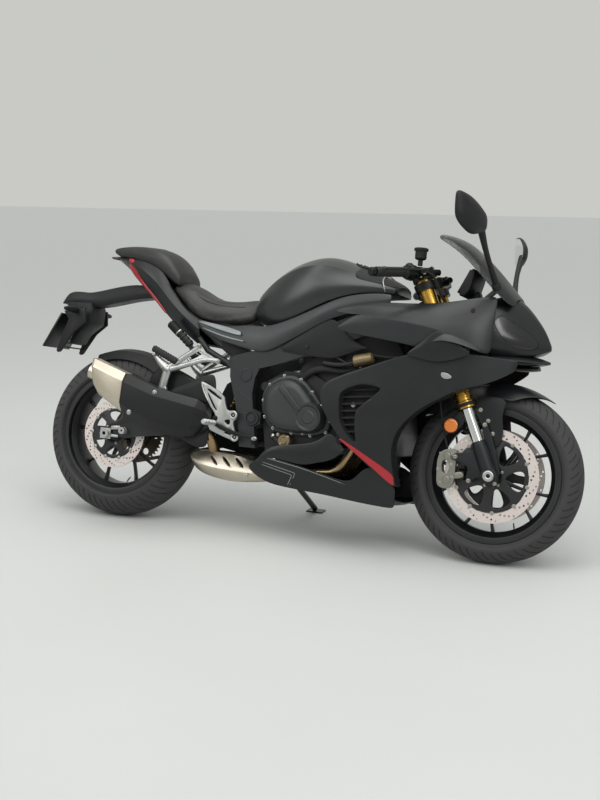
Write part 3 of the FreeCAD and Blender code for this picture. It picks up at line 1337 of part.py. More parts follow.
def build_nose():
    """Build the beak of the nose, the splitter under it and the headlights."""
    # x, z_low, half_low, z_wide, half_wide, z_top, half_crown, crown_drop
    beak = rounded_body(placed([(700, 700, 120, 800, 150, 905, 60, 20),
                                (757, 706, 96, 790, 124, 900, 46, 14),
                                (815, 716, 66, 770, 86, 858, 34, 10),
                                (862, 726, 32, 760, 46, 800, 20, 6),
                                (885, 738, 8, 744, 12, 752, 7, 2)]))
    lens = outline_at([(704, 812), (722, 838), (750, 834), (846, 770), (852, 744), (832, 730),
                       (790, 732), (744, 758)])
    pocket = through_prism(lens).cut(Part.makeBox(400, 60, 400, Vector(600, -44, 600)))
    nose = beak.cut(pocket).cut(other_side(pocket))
    add_shape("nose_cowl", nose, PARKED)
    glass = beak.common(pocket)
    inner = rounded_body(placed([(700, 700, 118, 800, 146, 905, 58, 20),
                                 (757, 706, 94, 790, 120, 900, 44, 14),
                                 (815, 716, 64, 770, 82, 858, 32, 10),
                                 (862, 726, 30, 760, 42, 800, 18, 6),
                                 (885, 738, 6, 744, 8, 752, 5, 2)]))
    glass = glass.cut(inner)
    add_shape("headlight_lenses", both_sides(glass), PARKED)
    splitter = rounded_body(placed([(640, 690, 168, 694, 178, 699, 168, 2),
                                    (730, 680, 128, 688, 142, 706, 128, 3),
                                    (820, 676, 74, 690, 88, 712, 64, 8),
                                    (884, 690, 10, 694, 14, 699, 8, 2)]))
    add_shape("nose_splitter", splitter.cut(beak), PARKED)
    return beak


def build_screen():
    """Build the double-bubble windscreen."""
    # x, half_width, z_edge, z_ridge: arcs across the middle plane
    rows = [(484, 90, 1098, 1124), (590, 116, 1032, 1092), (659, 128, 966, 1030),
            (716, 134, 910, 975), (770, 112, 862, 905)]
    wires = []
    for x, half, z_edge, z_ridge in rows:
        x = station(x)
        outer = (Vector(x, -half, z_edge), Vector(x, 0, z_ridge), Vector(x, half, z_edge))
        inner = [point - Vector(0, 0, 4.5) for point in outer]
        wires.append(Part.Wire([
            Part.Arc(outer[0], outer[1], outer[2]).toShape(),
            Part.LineSegment(outer[2], inner[2]).toShape(),
            Part.Arc(inner[2], inner[1], inner[0]).toShape(),
            Part.LineSegment(inner[0], outer[0]).toShape(),
        ]))
    screen = loft(wires)
    add_shape("windscreen", screen, PARKED)
    return screen


def build_belly_pan(side, collector):
    """Build the belly pan: a thin tray with high flanks behind the header pipes."""
    wall = size("panel_wall")
    # x, z_bottom, half_bottom, z_low, half_low, z_high, half_high
    rows = [(-137, 226, 100, 232, 146, 252, 152), (-70, 200, 84, 214, 146, 330, 160),
            (60, 186, 84, 200, 136, 292, 160), (172, 176, 84, 192, 140, 252, 164),
            (300, 166, 80, 184, 142, 222, 172), (419, 156, 70, 176, 140, 244, 180),
            (440, 176, 90, 196, 150, 250, 186)]
    wires = []
    for x, z_bottom, half_bottom, z_low, half_low, z_high, half_high in rows:
        x = station(x)
        right = [(half_high, z_high), (half_low, z_low), (half_bottom, z_bottom)]
        right_in = [(half_bottom - 1, z_bottom + wall), (half_low - wall, z_low + wall),
                    (half_high - wall, z_high)]
        points = ([Vector(x, -y, z) for y, z in right]
                  + [Vector(x, y, z) for y, z in reversed(right)]
                  + [Vector(x, y, z) for y, z in reversed(right_in)]
                  + [Vector(x, -y, z) for y, z in right_in])
        wires.append(closed_wire(points))
    pan = loft(wires)
    lobe = prism(outline_at([(-75, 331), (129, 354), (168, 398), (196, 382), (235, 343),
                             (201, 309), (162, 292), (84, 281), (-56, 292)]), 154, 158)
    # openings for the side stand on the left and for the collector box behind
    notch = Part.makeBox(190, 120, 160, Vector(station(-140), 66, 150))
    mouth = Part.makeBox(90, 271, 150, Vector(station(-62) - 90, -141, 150))
    pan = pan.fuse([lobe, other_side(lobe)]).cut(notch).cut(mouth)
    pan = pan.cut(side).cut(other_side(side)).cut(collector)
    add_shape("belly_pan", pan, PARKED)


def build_fairing_stay(frame, beak, screen, upper):
    """Build the stay that carries the nose, the instruments and the mirrors."""
    low, high = head_tube_ends()
    root = (low + high) * 0.5
    front = Vector(station(640), 0, 860)
    stay = rod(root + Vector(size("head_tube_radius") - 4, 0, 0), front, 12)
    cross = rod(Vector(station(640), -118, 862), Vector(station(640), 118, 862), 10)
    for side in (-1, 1):
        stay = stay.fuse(rod(Vector(station(640), side * 112, 862),
                             Vector(station(708), side * 130, 920), 9))
        stay = stay.fuse(rod(Vector(station(640), side * 60, 862),
                             Vector(station(704), side * 60, 850), 9))
        stay = stay.fuse(rod(Vector(station(640), side * 110, 860),
                             Vector(station(648), side * 180, 846), 7))
    stay = stay.fuse(cross).cut(frame).cut(beak).cut(screen).cut(both_sides(upper))
    add_shape("fairing_stay", stay, PARKED)
    return stay


def build_cockpit(stay):
    """Build the instrument cluster on its stay."""
    cluster = symmetric_prism(outline_at([(560, 905), (606, 1000), (628, 994), (600, 900)]), 84)
    foot = symmetric_prism(outline_at([(600, 866), (646, 868), (620, 930), (596, 910)]), 30)
    add_shape("instrument_cluster", cluster.fuse(foot).cut(stay), PARKED)


def build_mirrors(stay, screen):
    """Build the mirrors on their stalks."""
    base = Vector(station(712), -148, 938)
    elbow = Vector(station(676), -352, 1100)
    stalk = rod(base, elbow, 8)
    foot = rod(base + Vector(0, 14, -12), base, 15)
    wires = []
    for share, x, y in [(0.86, 14, -318), (1.0, 6, -340), (1.0, -4, -440), (0.7, -10, -468)]:
        wires.append(closed_wire([Vector(station(668) + x * 0.4 + (px - 668) * 0.34,
                                         y, 1122 + (pz - 1128) * share * 0.92)
                                  for px, pz in [(616, 1150), (632, 1186), (658, 1183),
                                                 (710, 1142), (720, 1100), (689, 1072),
                                                 (658, 1077), (624, 1100)]]))
    shell = loft(wires)
    mirror = shell.fuse([stalk, foot]).cut(stay).cut(screen)
    add_shape("mirrors", both_sides(mirror), PARKED)


def build_rearsets():
    """Build the footrest plates with their pegs, heel guards and pedals."""
    outer = size("spar_outer")
    plate = [(-331, 539), (-318, 545), (-241, 495), (-226, 437), (-189, 432), (-183, 418),
             (-200, 404), (-170, 352), (-180, 338), (-211, 349), (-300, 372), (-270, 407),
             (-262, 452), (-300, 500)]
    body = prism(outline_at(plate), outer + 12, outer + 20)
    window = prism(outline_at([(-300, 512), (-256, 484), (-250, 452), (-288, 496)]),
                   outer, outer + 30)
    body = body.cut(window)
    for x, z in [(-196, 428), (-184, 350)]:
        body = body.fuse(rod(Vector(station(x), -outer, z), Vector(station(x), -outer - 13, z),
                             11))
    peg = rod(Vector(station(-268), -outer - 19, 392), Vector(station(-276), -outer - 100, 396),
              10)
    pedal = prism(outline_at([(-268, 380), (-180, 352), (-96, 346), (-92, 356), (-176, 366),
                              (-262, 398)]), outer + 22, outer + 30)
    toe = rod(Vector(station(-98), -outer - 22, 351), Vector(station(-98), -outer - 64, 351), 7)
    link = rod(Vector(station(-262), -outer - 18, 388), Vector(station(-262), -outer - 26, 388),
               9)
    add_shape("rearsets", both_sides(body.fuse([peg, pedal, toe, link])), PARKED)


def build_pillion_hangers(rails, shield, adjuster):
    """Build the cast hangers of the pillion's pegs, with the pegs folded up."""
    inner = size("spar_inner")
    upper = [(-346, 668), (-386, 648), (-500, 560), (-470, 500), (-490, 488), (-508, 500),
             (-520, 560), (-556, 622), (-540, 632), (-506, 590), (-300, 620), (-282, 604),
             (-300, 596), (-470, 568), (-372, 630)]
    plate = prism(outline_at(upper[:9] + [(-506, 590), (-360, 672)]), inner + 6, inner + 20)
    arm = prism(outline_at([(-506, 590), (-300, 626), (-280, 612), (-284, 600), (-490, 560)]),
                inner + 6, inner + 18)
    shape = plate.fuse(arm)
    for x, z in [(-356, 662), (-290, 612)]:
        shape = shape.fuse(rod(Vector(station(x), -inner + 8, z),
                               Vector(station(x), -inner - 10, z), 12))
    boss = rod(Vector(station(-490), -inner - 6, 496), Vector(station(-490), -inner - 30.3, 496),
               14)
    peg = rounded_body([(-60, -9, 8, 0, 11, 9, 7, 1), (44, -11, 10, 0, 13, 11, 8, 1)])
    peg.rotate(Vector(0, 0, 0), Vector(0, 1, 0), 28)
    peg.translate(Vector(station(-492), -inner - 36, 616))
    hinge = rod(Vector(station(-530), -inner - 12, 624), Vector(station(-530), -inner - 44, 624),
                12)
    hanger = shape.fuse([boss, peg, hinge]).cut([rails, shield, adjuster])
    add_shape("pillion_hangers", both_sides(hanger), PARKED)


def preload_adjuster(rails):
    """Return the remote preload adjuster of the shock with its stay."""
    inner = size("spar_inner")
    front = Vector(station(-412), -inner - 14, 672)
    back = Vector(station(-500), -inner - 14, 742)
    barrel = rod(front, back, 17)
    tip = rod(back - (back - front) * 0.42, back - (back - front) * 0.38, 18)
    stay = rod(Vector(station(-424), -inner - 14, 682), Vector(station(-402), -inner - 12, 644),
               7)
    return barrel.fuse([tip, stay]).cut(rails)


# ---------------------------------------------------------------------------
# Side stand
# ---------------------------------------------------------------------------
def build_side_stand(frame):
    """Build the side stand, down: its forged eye, the leg and the foot plate."""
    eye = Vector(size("stand_pivot_x"), size("stand_pivot_y"), size("stand_pivot_z"))
    lean = math.radians(size("parked_lean"))
    sole = size("stand_foot_y")
    # the floor rises across the leaned bike with its lean
    floor = (sole * math.sin(lean) - PARKED.Base.z) / math.cos(lean)
    foot = Vector(size("stand_foot_x"), sole, floor)
    leg = rod(eye, foot + Vector(0, -6, 12), size("stand_leg_radius"))
    plate = Part.makeBox(66, 44, 6, Vector(-30, -22, 0))
    plate.rotate(Vector(0, 0, 0), Vector(1, 0, 0), math.degrees(lean))
    plate.translate(foot)
    below = Part.makeBox(400, 400, 100, Vector(-200, -200, -100))
    below.rotate(Vector(0, 0, 0), Vector(1, 0, 0), math.degrees(lean))
    below.translate(foot)
    axis = stand_axis()
    barrel = rod(eye - axis * 12, eye + axis * 12, 18)
    pin_hole = rod(eye - axis * 20, eye + axis * 20, 8 + size("running_fit"))
    stand = leg.fuse([plate, barrel]).cut(pin_hole).cut(below)
    add_shape("side_stand", stand, PARKED)
    pin = rod(eye - axis * 22, eye + axis * 22, 8)
    cheek_up = rod(eye + axis * 12.6, eye + axis * 22, 20)
    cheek_down = rod(eye - axis * 22, eye - axis * 12.6, 20)
    tie = Part.makeBox(46, 18, 84, Vector(eye.x - 23, eye.y - 22, eye.z - 12))
    arm = other_side(prism([(eye.x + 10, eye.z + 8), (eye.x + 10, eye.z + 54),
                            (eye.x - 40, eye.z + 92), (station(-142), 343),
                            (station(-156), 322), (eye.x - 23, eye.z + 8)],
                           eye.y - 22, eye.y - 6))
    swing_room = rod(eye - axis * 12.6, eye + axis * 12.6, 30)
    bracket = tie.fuse([arm]).cut(swing_room).fuse([cheek_up, cheek_down, pin]).cut(frame)
    add_shape("stand_bracket", bracket, PARKED)


def stand_axis():
    """Return the tilted axis of the side stand, in the upright bike."""
    return Vector(-0.1, 0.453, 0.878).normalize()


# ---------------------------------------------------------------------------
# Document
# ---------------------------------------------------------------------------
def check_and_export():
    """Recompute, refuse any failed object and write one STEP file per node."""
    doc.recompute()
    for item in doc.Objects:
        if "Invalid" in item.State or "Error" in item.State:
            raise RuntimeError("%s did not build: %s" % (item.Label, item.State))
    os.makedirs("parts", exist_ok=True)
    for node in NODES:
        if node.Shape.isNull() or not node.Shape.isValid():
            raise RuntimeError("%s has no valid shape" % node.Label)
        node.Shape.exportStep("parts/%s.step" % node.Label)
    print("%d nodes written" % len(NODES))


def main():
    """Build every piece of the bike in order and write it."""
    build_wheels()
    build_sprocket()
    yoke = build_yokes()
    build_fork_tubes()
    build_fork_lowers()
    build_front_axle()
    build_front_fender()
    caliper = build_front_calipers()
    lever = build_handlebars()
    build_brake_hoses(caliper, yoke, lever)
    frame = build_main_frame()
    rails = build_subframe(frame)
    block = build_engine(frame)
    build_radiator(frame)
    swingarm = build_swingarm()
    build_stand_bosses()
    build_rear_axle()
    build_rear_caliper()
    build_chain()
    adjuster = build_shock(swingarm, rails)
    build_rear_hugger(swingarm)
    shield, collector = build_exhaust(block, swingarm)
    build_tank()
    tail = build_seats(rails)
    build_tail_light()
    build_plate_holder(tail)
    build_side_panels()
    side, upper = build_fairing()
    beak = build_nose()
    screen = build_screen()
    build_belly_pan(side, collector)
    stay = build_fairing_stay(frame, beak, screen, upper)
    build_cockpit(stay)
    build_mirrors(stay, screen)
    build_rearsets()
    build_pillion_hangers(rails, shield, adjuster)
    build_side_stand(frame)
    check_and_export()


main()
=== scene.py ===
"""Looks of a fully faired sport motorcycle that leans on its side stand.

Every piece is modelled upright in the bike's own frame, in millimetres (+X forward, +Y to the
rider's left, +Z up, the floor at Z = 0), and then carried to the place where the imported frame
holds it: leaned over with the bike, or turned with the fork.
"""
import json
import logging
import math
from dataclasses import dataclass, field
from enum import Enum
from typing import Callable, Optional, Sequence

import bpy
from mathutils import Matrix, Vector


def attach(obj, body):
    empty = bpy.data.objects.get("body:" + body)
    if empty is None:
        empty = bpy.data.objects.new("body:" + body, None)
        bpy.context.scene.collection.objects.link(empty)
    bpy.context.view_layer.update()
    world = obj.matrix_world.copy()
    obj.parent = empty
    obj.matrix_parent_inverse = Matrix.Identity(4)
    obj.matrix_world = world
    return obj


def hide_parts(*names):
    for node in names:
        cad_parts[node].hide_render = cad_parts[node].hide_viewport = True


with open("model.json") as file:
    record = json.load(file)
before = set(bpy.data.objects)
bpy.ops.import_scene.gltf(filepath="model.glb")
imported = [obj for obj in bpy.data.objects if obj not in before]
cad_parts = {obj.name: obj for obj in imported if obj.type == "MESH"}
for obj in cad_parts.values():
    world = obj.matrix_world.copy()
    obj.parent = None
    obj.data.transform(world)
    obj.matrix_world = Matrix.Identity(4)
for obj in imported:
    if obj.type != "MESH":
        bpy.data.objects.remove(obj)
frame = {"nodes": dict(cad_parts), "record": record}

log = logging.getLogger("motorcycle")
Point = tuple[float, float, float]
Flat = tuple[float, float]

RAKE = math.radians(24.0)
REAR_AXLE = Vector((-730.33, 0.0, 315.0))
# metres in a millimetre, and millimetres in a metre
MILLI = 0.001
PER_METRE = 1000.0
# points of a mesh that lie nearer than this, in millimetres, are one point
MERGE = 0.01
FINE_MERGE = 0.005


# ---------------------------------------------------------------------------
# Places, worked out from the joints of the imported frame
# ---------------------------------------------------------------------------
def joint(name: str) -> dict:
    """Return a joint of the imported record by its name."""
    return next(j for j in frame["record"]["behaviour"]["joints"] if j["name"] == name)


def pose(x_axis: Vector, y_axis: Vector, z_axis: Vector, origin: Vector) -> Matrix:
    """Return the matrix that carries millimetres of a local frame to metres of the row.

    Args:
        x_axis: direction of the local X axis.
        y_axis: direction of the local Y axis.
        z_axis: direction of the local Z axis.
        origin: place of the local origin, in metres.

    Returns:
        A matrix of rotation, place and the millimetre scale.
    """
    turn = Matrix((x_axis, y_axis, z_axis)).transposed().to_4x4()
    return Matrix.Translation(origin) @ turn @ Matrix.Scale(MILLI, 4)


def bike_pose() -> Matrix:
    """Return the pose of the leaned bike's own frame."""
    spin = joint("rear_wheel_spin")
    across = Vector(spin["axis"]).normalized()
    steer = Vector(joint("steering")["axis"]).normalized()
    ahead = across.cross(steer).normalized()
    steer = ahead.cross(across).normalized()
    x_axis = math.cos(RAKE) * ahead - math.sin(RAKE) * steer
    z_axis = math.sin(RAKE) * ahead + math.cos(RAKE) * steer
    reach = x_axis * REAR_AXLE.x + z_axis * REAR_AXLE.z
    return pose(x_axis, across, z_axis, Vector(spin["pos_m"]) - reach * MILLI)


def wheel_pose(name: str, upright: bool) -> Matrix:
    """Return the pose of a wheel's frame, with the axle at its origin.

    Args:
        name: name of the wheel's joint.
        upright: True for local Z along the fork, False for local Z along the bike's.

    Returns:
        The pose of the frame.
    """
    spin = joint(name)
    across = Vector(spin["axis"]).normalized()
    if upright:
        z_axis = Vector(joint("steering")["axis"]).normalized()
    else:
        z_axis = Vector(BIKE.col[2][:3]).normalized()
    x_axis = across.cross(z_axis).normalized()
    return pose(x_axis, across, x_axis.cross(across), Vector(spin["pos_m"]))


@dataclass(frozen=True)
class Home:
    """The body that a piece rides on, and the pose of the frame that it is drawn in."""

    body: str
    place: Matrix


BIKE = bike_pose()
FORK = wheel_pose("front_wheel_spin", True)
REAR_WHEEL = wheel_pose("rear_wheel_spin", False)
CHASSIS = Home("chassis", BIKE)
ON_FORK = Home("steering", FORK)


# ---------------------------------------------------------------------------
# Finishes
# ---------------------------------------------------------------------------
def linear(colour: str) -> tuple[float, float, float, float]:
    """Return the linear colour of an sRGB hex value.

    Args:
        colour: six hex digits after a hash sign.

    Returns:
        Linear red, green, blue and an alpha of 1.
    """
    parts = [int(colour[i:i + 2], 16) / 255 for i in (1, 3, 5)]
    flat = [p / 12.92 if p <= 0.04045 else ((p + 0.055) / 1.055) ** 2.4 for p in parts]
    return flat[0], flat[1], flat[2], 1.0


def add_node(tree: bpy.types.NodeTree, kind: str, settings: Optional[dict] = None,
             links: Optional[dict] = None) -> bpy.types.Node:
    """Add a node with its settings and links.

    Args:
        tree: the node tree that gets the node.
        kind: the node's type.
        settings: values by the name of a property, or by the name or number of an input.
        links: outputs by the name or number of the input that each one feeds.

    Returns:
        The new node.
    """
    node = tree.nodes.new(kind)
    for key, value in (settings or {}).items():
        if isinstance(key, int) or key in node.inputs:
            node.inputs[key].default_value = value
        else:
            setattr(node, key, value)
    for key, source in (links or {}).items():
        tree.links.new(source, node.inputs[key])
    return node


# a wave texture at this share of a noise's scale has a rib for every two grains
WAVE_SHARE = 0.159
# how strongly the relief turns the light
BUMP_STRENGTH = 0.6


class Relief(Enum):
    """What gives a surface its small relief."""

    ORANGE_PEEL = "sprayed lacquer that settled in soft waves"
    MOULDED = "the fine even grain of a plastic mould"
    CAST = "the coarse skin of a sand or die casting"
    BRUSHED = "lines of a brush or a lathe along one direction"
    PEBBLED = "the cells of embossed leatherette"
    RIBBED = "even ribs across the piece"
    SMOOTH = "polished, with only a breath of unevenness"


@dataclass(frozen=True)
class Finish:
    """One material of the bike, with its slot in the record, its colours, gloss and relief.

    The grain is the size of the relief in millimetres and the depth its height; the blotch is
    the size of the slow changes in tone and gloss that handling and dust leave.
    """

    name: str
    slot: str
    colour: str
    shade: str
    roughness: float
    metallic: float = 0.0
    relief: Relief = Relief.ORANGE_PEEL
    grain: float = 2.0
    depth: float = 0.05
    blotch: float = 90.0
    spread: float = 0.05
    coat: float = 0.0
    coat_roughness: float = 0.1
    ior: float = 1.5
    alpha: float = 1.0
    stretch: tuple[float, float, float] = (1.0, 1.0, 1.0)

    def build(self) -> bpy.types.Material:
        """Return the material, made the first time it is asked for."""
        known = bpy.data.materials.get(self.name)
        if known:
            return known
        material = bpy.data.materials.new(self.name)
        material.use_nodes = True
        tree = material.node_tree
        tree.nodes.clear()
        place = add_node(tree, "ShaderNodeTexCoord").outputs["Object"]
        shader = self.shader(tree, place)
        normal = self.bump(tree, place)
        tree.links.new(normal, shader.inputs["Normal"])
        add_node(tree, "ShaderNodeOutputMaterial", links={"Surface": shader.outputs[0]})
        return material

    def shader(self, tree: bpy.types.NodeTree, place: bpy.types.NodeSocket) -> bpy.types.Node:
        """Add the surface shader with its blotched tone and gloss.

        Args:
            tree: the material's node tree.
            place: object coordinates, in metres.

        Returns:
            The shader node.
        """
        blotch = add_node(tree, "ShaderNodeTexNoise",
                          {"Scale": PER_METRE / self.blotch, "Detail": 4.0, "Roughness": 0.6},
                          {"Vector": place})
        tone = add_node(tree, "ShaderNodeMix", {"data_type": "RGBA", 6: linear(self.colour),
                                                7: linear(self.shade)},
                        {0: blotch.outputs["Fac"]})
        gloss = add_node(tree, "ShaderNodeMapRange",
                         {"From Min": 0.3, "From Max": 0.7,
                          "To Min": max(self.roughness - self.spread, 0.02),
                          "To Max": min(self.roughness + self.spread, 1.0)},
                         {"Value": blotch.outputs["Fac"]})
        settings = {"Metallic": self.metallic, "Coat Weight": self.coat,
                    "Coat Roughness": self.coat_roughness, "Alpha": self.alpha}
        if not self.metallic:
            settings["IOR"] = self.ior
        return add_node(tree, "ShaderNodeBsdfPrincipled", settings,
                        {"Base Color": tone.outputs[2], "Roughness": gloss.outputs["Result"]})

    def bump(self, tree: bpy.types.NodeTree,
             place: bpy.types.NodeSocket) -> bpy.types.NodeSocket:
        """Add the relief of the surface.

        Args:
            tree: the material's node tree.
            place: object coordinates, in metres.

        Returns:
            The bumped normal.
        """
        stretched = add_node(tree, "ShaderNodeMapping", {"Scale": self.stretch},
                             {"Vector": place}).outputs["Vector"]
        scale = PER_METRE / self.grain
        if self.relief is Relief.PEBBLED:
            pattern = add_node(tree, "ShaderNodeTexVoronoi",
                               {"feature": "DISTANCE_TO_EDGE", "Scale": scale},
                               {"Vector": stretched}).outputs["Distance"]
            pattern = add_node(tree, "ShaderNodeMapRange", {"From Max": 0.25},
                               {"Value": pattern}).outputs["Result"]
        elif self.relief is Relief.RIBBED:
            pattern = add_node(tree, "ShaderNodeTexWave", {"Scale": scale * WAVE_SHARE},
                               {"Vector": stretched}).outputs["Fac"]
        else:
            detail = {Relief.CAST: 6.0, Relief.BRUSHED: 5.0, Relief.SMOOTH: 1.0}
            pattern = add_node(tree, "ShaderNodeTexNoise",
                               {"Scale": scale, "Detail": detail.get(self.relief, 3.0)},
                               {"Vector": stretched}).outputs["Fac"]
        return add_node(tree, "ShaderNodeBump",
                        {"Strength": BUMP_STRENGTH, "Distance": self.depth * MILLI},
                        {"Height": pattern}).outputs["Normal"]


# ---------------------------------------------------------------------------
# Modelling steps
# ---------------------------------------------------------------------------
# stands a piece that was made on the floor plane out toward the rider's right
RIGHTWARD = Matrix.Rotation(math.radians(90), 4, "X")
# the image of a piece across the middle plane
ACROSS = Matrix.Scale(-1, 4, Vector((0, 1, 0)))


def deselect() -> None:
    """Leave nothing selected, as each operator acts on all that is."""
    bpy.ops.object.select_all(action="DESELECT")


def active() -> bpy.types.Object:
    """Return the object that the last operator made."""
    return bpy.context.view_layer.objects.active


def make_active(obj: bpy.types.Object) -> None:
    """Select only this object and make it the active one."""
    deselect()
    obj.select_set(True)
    bpy.context.view_layer.objects.active = obj


def in_edit_mode(obj: bpy.types.Object, *steps: Callable[[], object]) -> None:
    """Run steps in edit mode, with all of the object selected.

    Args:
        obj: the object to edit.
        steps: calls that shape what is selected.
    """
    make_active(obj)
    bpy.ops.object.mode_set(mode="EDIT")
    bpy.ops.mesh.select_all(action="SELECT")
    for step in steps:
        step()
    bpy.ops.object.mode_set(mode="OBJECT")


def apply(obj: bpy.types.Object, kind: str, **settings: object) -> None:
    """Add a modifier with its settings and apply it.

    Args:
        obj: the object that it shapes.
        kind: the modifier's type.
        settings: its properties by name.
    """
    make_active(obj)
    modifier = obj.modifiers.new(kind.title(), kind)
    for key, value in settings.items():
        setattr(modifier, key, value)
    bpy.ops.object.modifier_apply(modifier=modifier.name)


def smooth(obj: bpy.types.Object, level: int = 2) -> None:
    """Round a coarse cage with a subdivision surface."""
    apply(obj, "SUBSURF", levels=level, render_levels=level)


def bevel(obj: bpy.types.Object, width: float, segments: int = 2, angle: float = 40.0) -> None:
    """Round the sharp edges of a piece.

    Args:
        obj: the piece.
        width: width of the rounding, in millimetres.
        segments: steps of the rounding.
        angle: edges sharper than this, in degrees, are rounded.
    """
    apply(obj, "BEVEL", width=width, segments=segments, limit_method="ANGLE",
          angle_limit=math.radians(angle), miter_outer="MITER_ARC", use_clamp_overlap=True)


def thicken(obj: bpy.types.Object, wall: float) -> None:
    """Give a sheet a wall on the side away from its normals."""
    apply(obj, "SOLIDIFY", thickness=wall, offset=-1.0, use_even_offset=True)


def join(objects: Sequence[bpy.types.Object]) -> bpy.types.Object:
    """Return one object made of several.

    Args:
        objects: the objects to join.

    Returns:
        The joined object.
    """
    make_active(objects[0])
    for obj in objects:
        obj.select_set(True)
    if len(objects) > 1:
        bpy.ops.object.join()
    return active()


def moved(obj: bpy.types.Object, matrix: Matrix) -> bpy.types.Object:
    """Return the object after its mesh has been carried by a matrix."""
    obj.data.transform(matrix)
    if matrix.determinant() < 0:
        obj.data.flip_normals()
    return obj


def copy(obj: bpy.types.Object, matrix: Optional[Matrix] = None) -> bpy.types.Object:
    """Return a copy with its own mesh, carried by a matrix.

    Args:
        obj: the object to copy.
        matrix: where the copy goes.

    Returns:
        The copy.
    """
    twin = obj.copy()
    twin.data = obj.data.copy()
    bpy.context.collection.objects.link(twin)
    return moved(twin, matrix or Matrix())


def shifted(obj: bpy.types.Object, place: Sequence[float]) -> bpy.types.Object:
    """Return the object after it has been moved by a distance along each axis."""
    return moved(obj, Matrix.Translation(place))


def to_right(obj: bpy.types.Object, place: Sequence[float]) -> bpy.types.Object:
    """Return a piece made on the floor plane, stood out to the right at a place."""
    return moved(obj, Matrix.Translation(place) @ RIGHTWARD)


def turning(degrees: float, axis: str) -> Matrix:
    """Return the rotation by an angle about an axis."""
    return Matrix.Rotation(math.radians(degrees), 4, axis)


def shrunk(middle: Point, share: float) -> Matrix:
    """Return the matrix that draws a piece in toward a point, to a share of its size."""
    return (Matrix.Translation(middle) @ Matrix.Scale(share, 4)
            @ Matrix.Translation([-value for value in middle]))


def mirrored(obj: bpy.types.Object) -> bpy.types.Object:
    """Return the object joined with its image across the middle plane."""
    return join([obj, copy(obj, ACROSS)])


def ringed(obj: bpy.types.Object, count: int, axis: str = "Y") -> bpy.types.Object:
    """Return the object repeated evenly round an axis.

    Args:
        obj: the object, at its first place.
        count: number of places in the full turn.
        axis: the axis it goes round.

    Returns:
        All of the copies as one object.
    """
    step = math.tau / count
    return join([obj] + [copy(obj, Matrix.Rotation(step * n, 4, axis)) for n in range(1, count)])


def aim(start: Sequence[float], end: Sequence[float]) -> Matrix:
    """Return the matrix that takes the Z axis to the line from start to end."""
    start, end = Vector(start), Vector(end)
    turn = (end - start).to_track_quat("Z", "Y").to_matrix().to_4x4()
    return Matrix.Translation(start) @ turn


def sheet(rows: Sequence[Sequence[Sequence[float]]], outward: Sequence[float],
          sharp_rows: Optional[dict] = None,
          sharp_columns: Optional[dict] = None) -> bpy.types.Object:
    """Return an open grid whose rows of vertices lie on the given sections.

    Args:
        rows: sections of equally many points.
        outward: a direction that the faces look along on the whole.
        sharp_rows: hardness of a row when the grid is smoothed, from 0 to 1, by its number.
        sharp_columns: hardness of a column by its number.

    Returns:
        The grid.
    """
    width = len(rows[0])
    deselect()
    bpy.ops.mesh.primitive_grid_add(x_subdivisions=width - 1, y_subdivisions=len(rows) - 1)
    obj = active()
    points = [point for row in rows for point in row]
    for vertex, point in zip(obj.data.vertices, points, strict=True):
        vertex.co = point
    crease = obj.data.attributes.new("crease_edge", "FLOAT", "EDGE")
    for edge in obj.data.edges:
        (row_a, column_a), (row_b, column_b) = (divmod(v, width) for v in edge.vertices)
        along = (sharp_columns or {}).get(column_a, 0.0) if column_a == column_b else 0.0
        across = (sharp_rows or {}).get(row_a, 0.0) if row_a == row_b else 0.0
        crease.data[edge.index].value = max(along, across)
    facing = sum((p.normal * p.area for p in obj.data.polygons), Vector())
    if facing.dot(Vector(outward)) < 0:
        obj.data.flip_normals()
    return obj


def body(rings: Sequence[Sequence[Sequence[float]]], sharp_columns: Optional[dict] = None,
         sharp_rows: Optional[dict] = None) -> bpy.types.Object:
    """Return a closed solid whose skin runs over the given rings.

    Args:
        rings: closed sections of equally many points, without a repeated first point.
        sharp_columns: hardness of the line through a point of each ring, by its number.
        sharp_rows: hardness of a ring by its number.

    Returns:
        The solid, closed at both ends.
    """
    rows = [list(ring) + [ring[0]] for ring in rings]
    obj = sheet(rows, (0, 0, 1), sharp_rows, sharp_columns)
    in_edit_mode(obj,
                 lambda: bpy.ops.mesh.remove_doubles(threshold=MERGE),
                 lambda: bpy.ops.mesh.fill_holes(sides=0),
                 lambda: bpy.ops.mesh.select_all(action="SELECT"),
                 lambda: bpy.ops.mesh.normals_make_consistent(inside=False))
    return obj


def round_ring(half: Sequence[Flat], x: float) -> list[Point]:
    """Return a ring across the bike from the points of its right half.

    Args:
        half: distances from the middle plane and heights, from the keel up to the ridge.
        x: the section's place along the bike.

    Returns:
        The points of the ring.
    """
    right = [(x, -y, z) for y, z in half]
    left = [(x, y, z) for y, z in reversed(half) if y > 0]
    return right + left


def turned(profile: Sequence[Flat], steps: int = 48) -> bpy.types.Object:
    """Return a solid of revolution about the Z axis.

    Args:
        profile: radius and height of the points of the section, which is a closed ring.
        steps: number of facets round the axis.

    Returns:
        The solid.
    """
    deselect()
    bpy.ops.mesh.primitive_circle_add(vertices=len(profile), fill_type="NOTHING")
    obj = active()
    for vertex, (radius, height) in zip(obj.data.vertices, profile, strict=True):
        vertex.co = (radius, 0.0, height)
    in_edit_mode(obj,
                 lambda: bpy.ops.mesh.spin(steps=steps, angle=math.tau, center=(0, 0, 0),
                                           axis=(0, 0, 1)),
                 lambda: bpy.ops.mesh.select_all(action="SELECT"),
                 lambda: bpy.ops.mesh.remove_doubles(threshold=FINE_MERGE),
                 lambda: bpy.ops.mesh.normals_make_consistent(inside=False))
    return obj


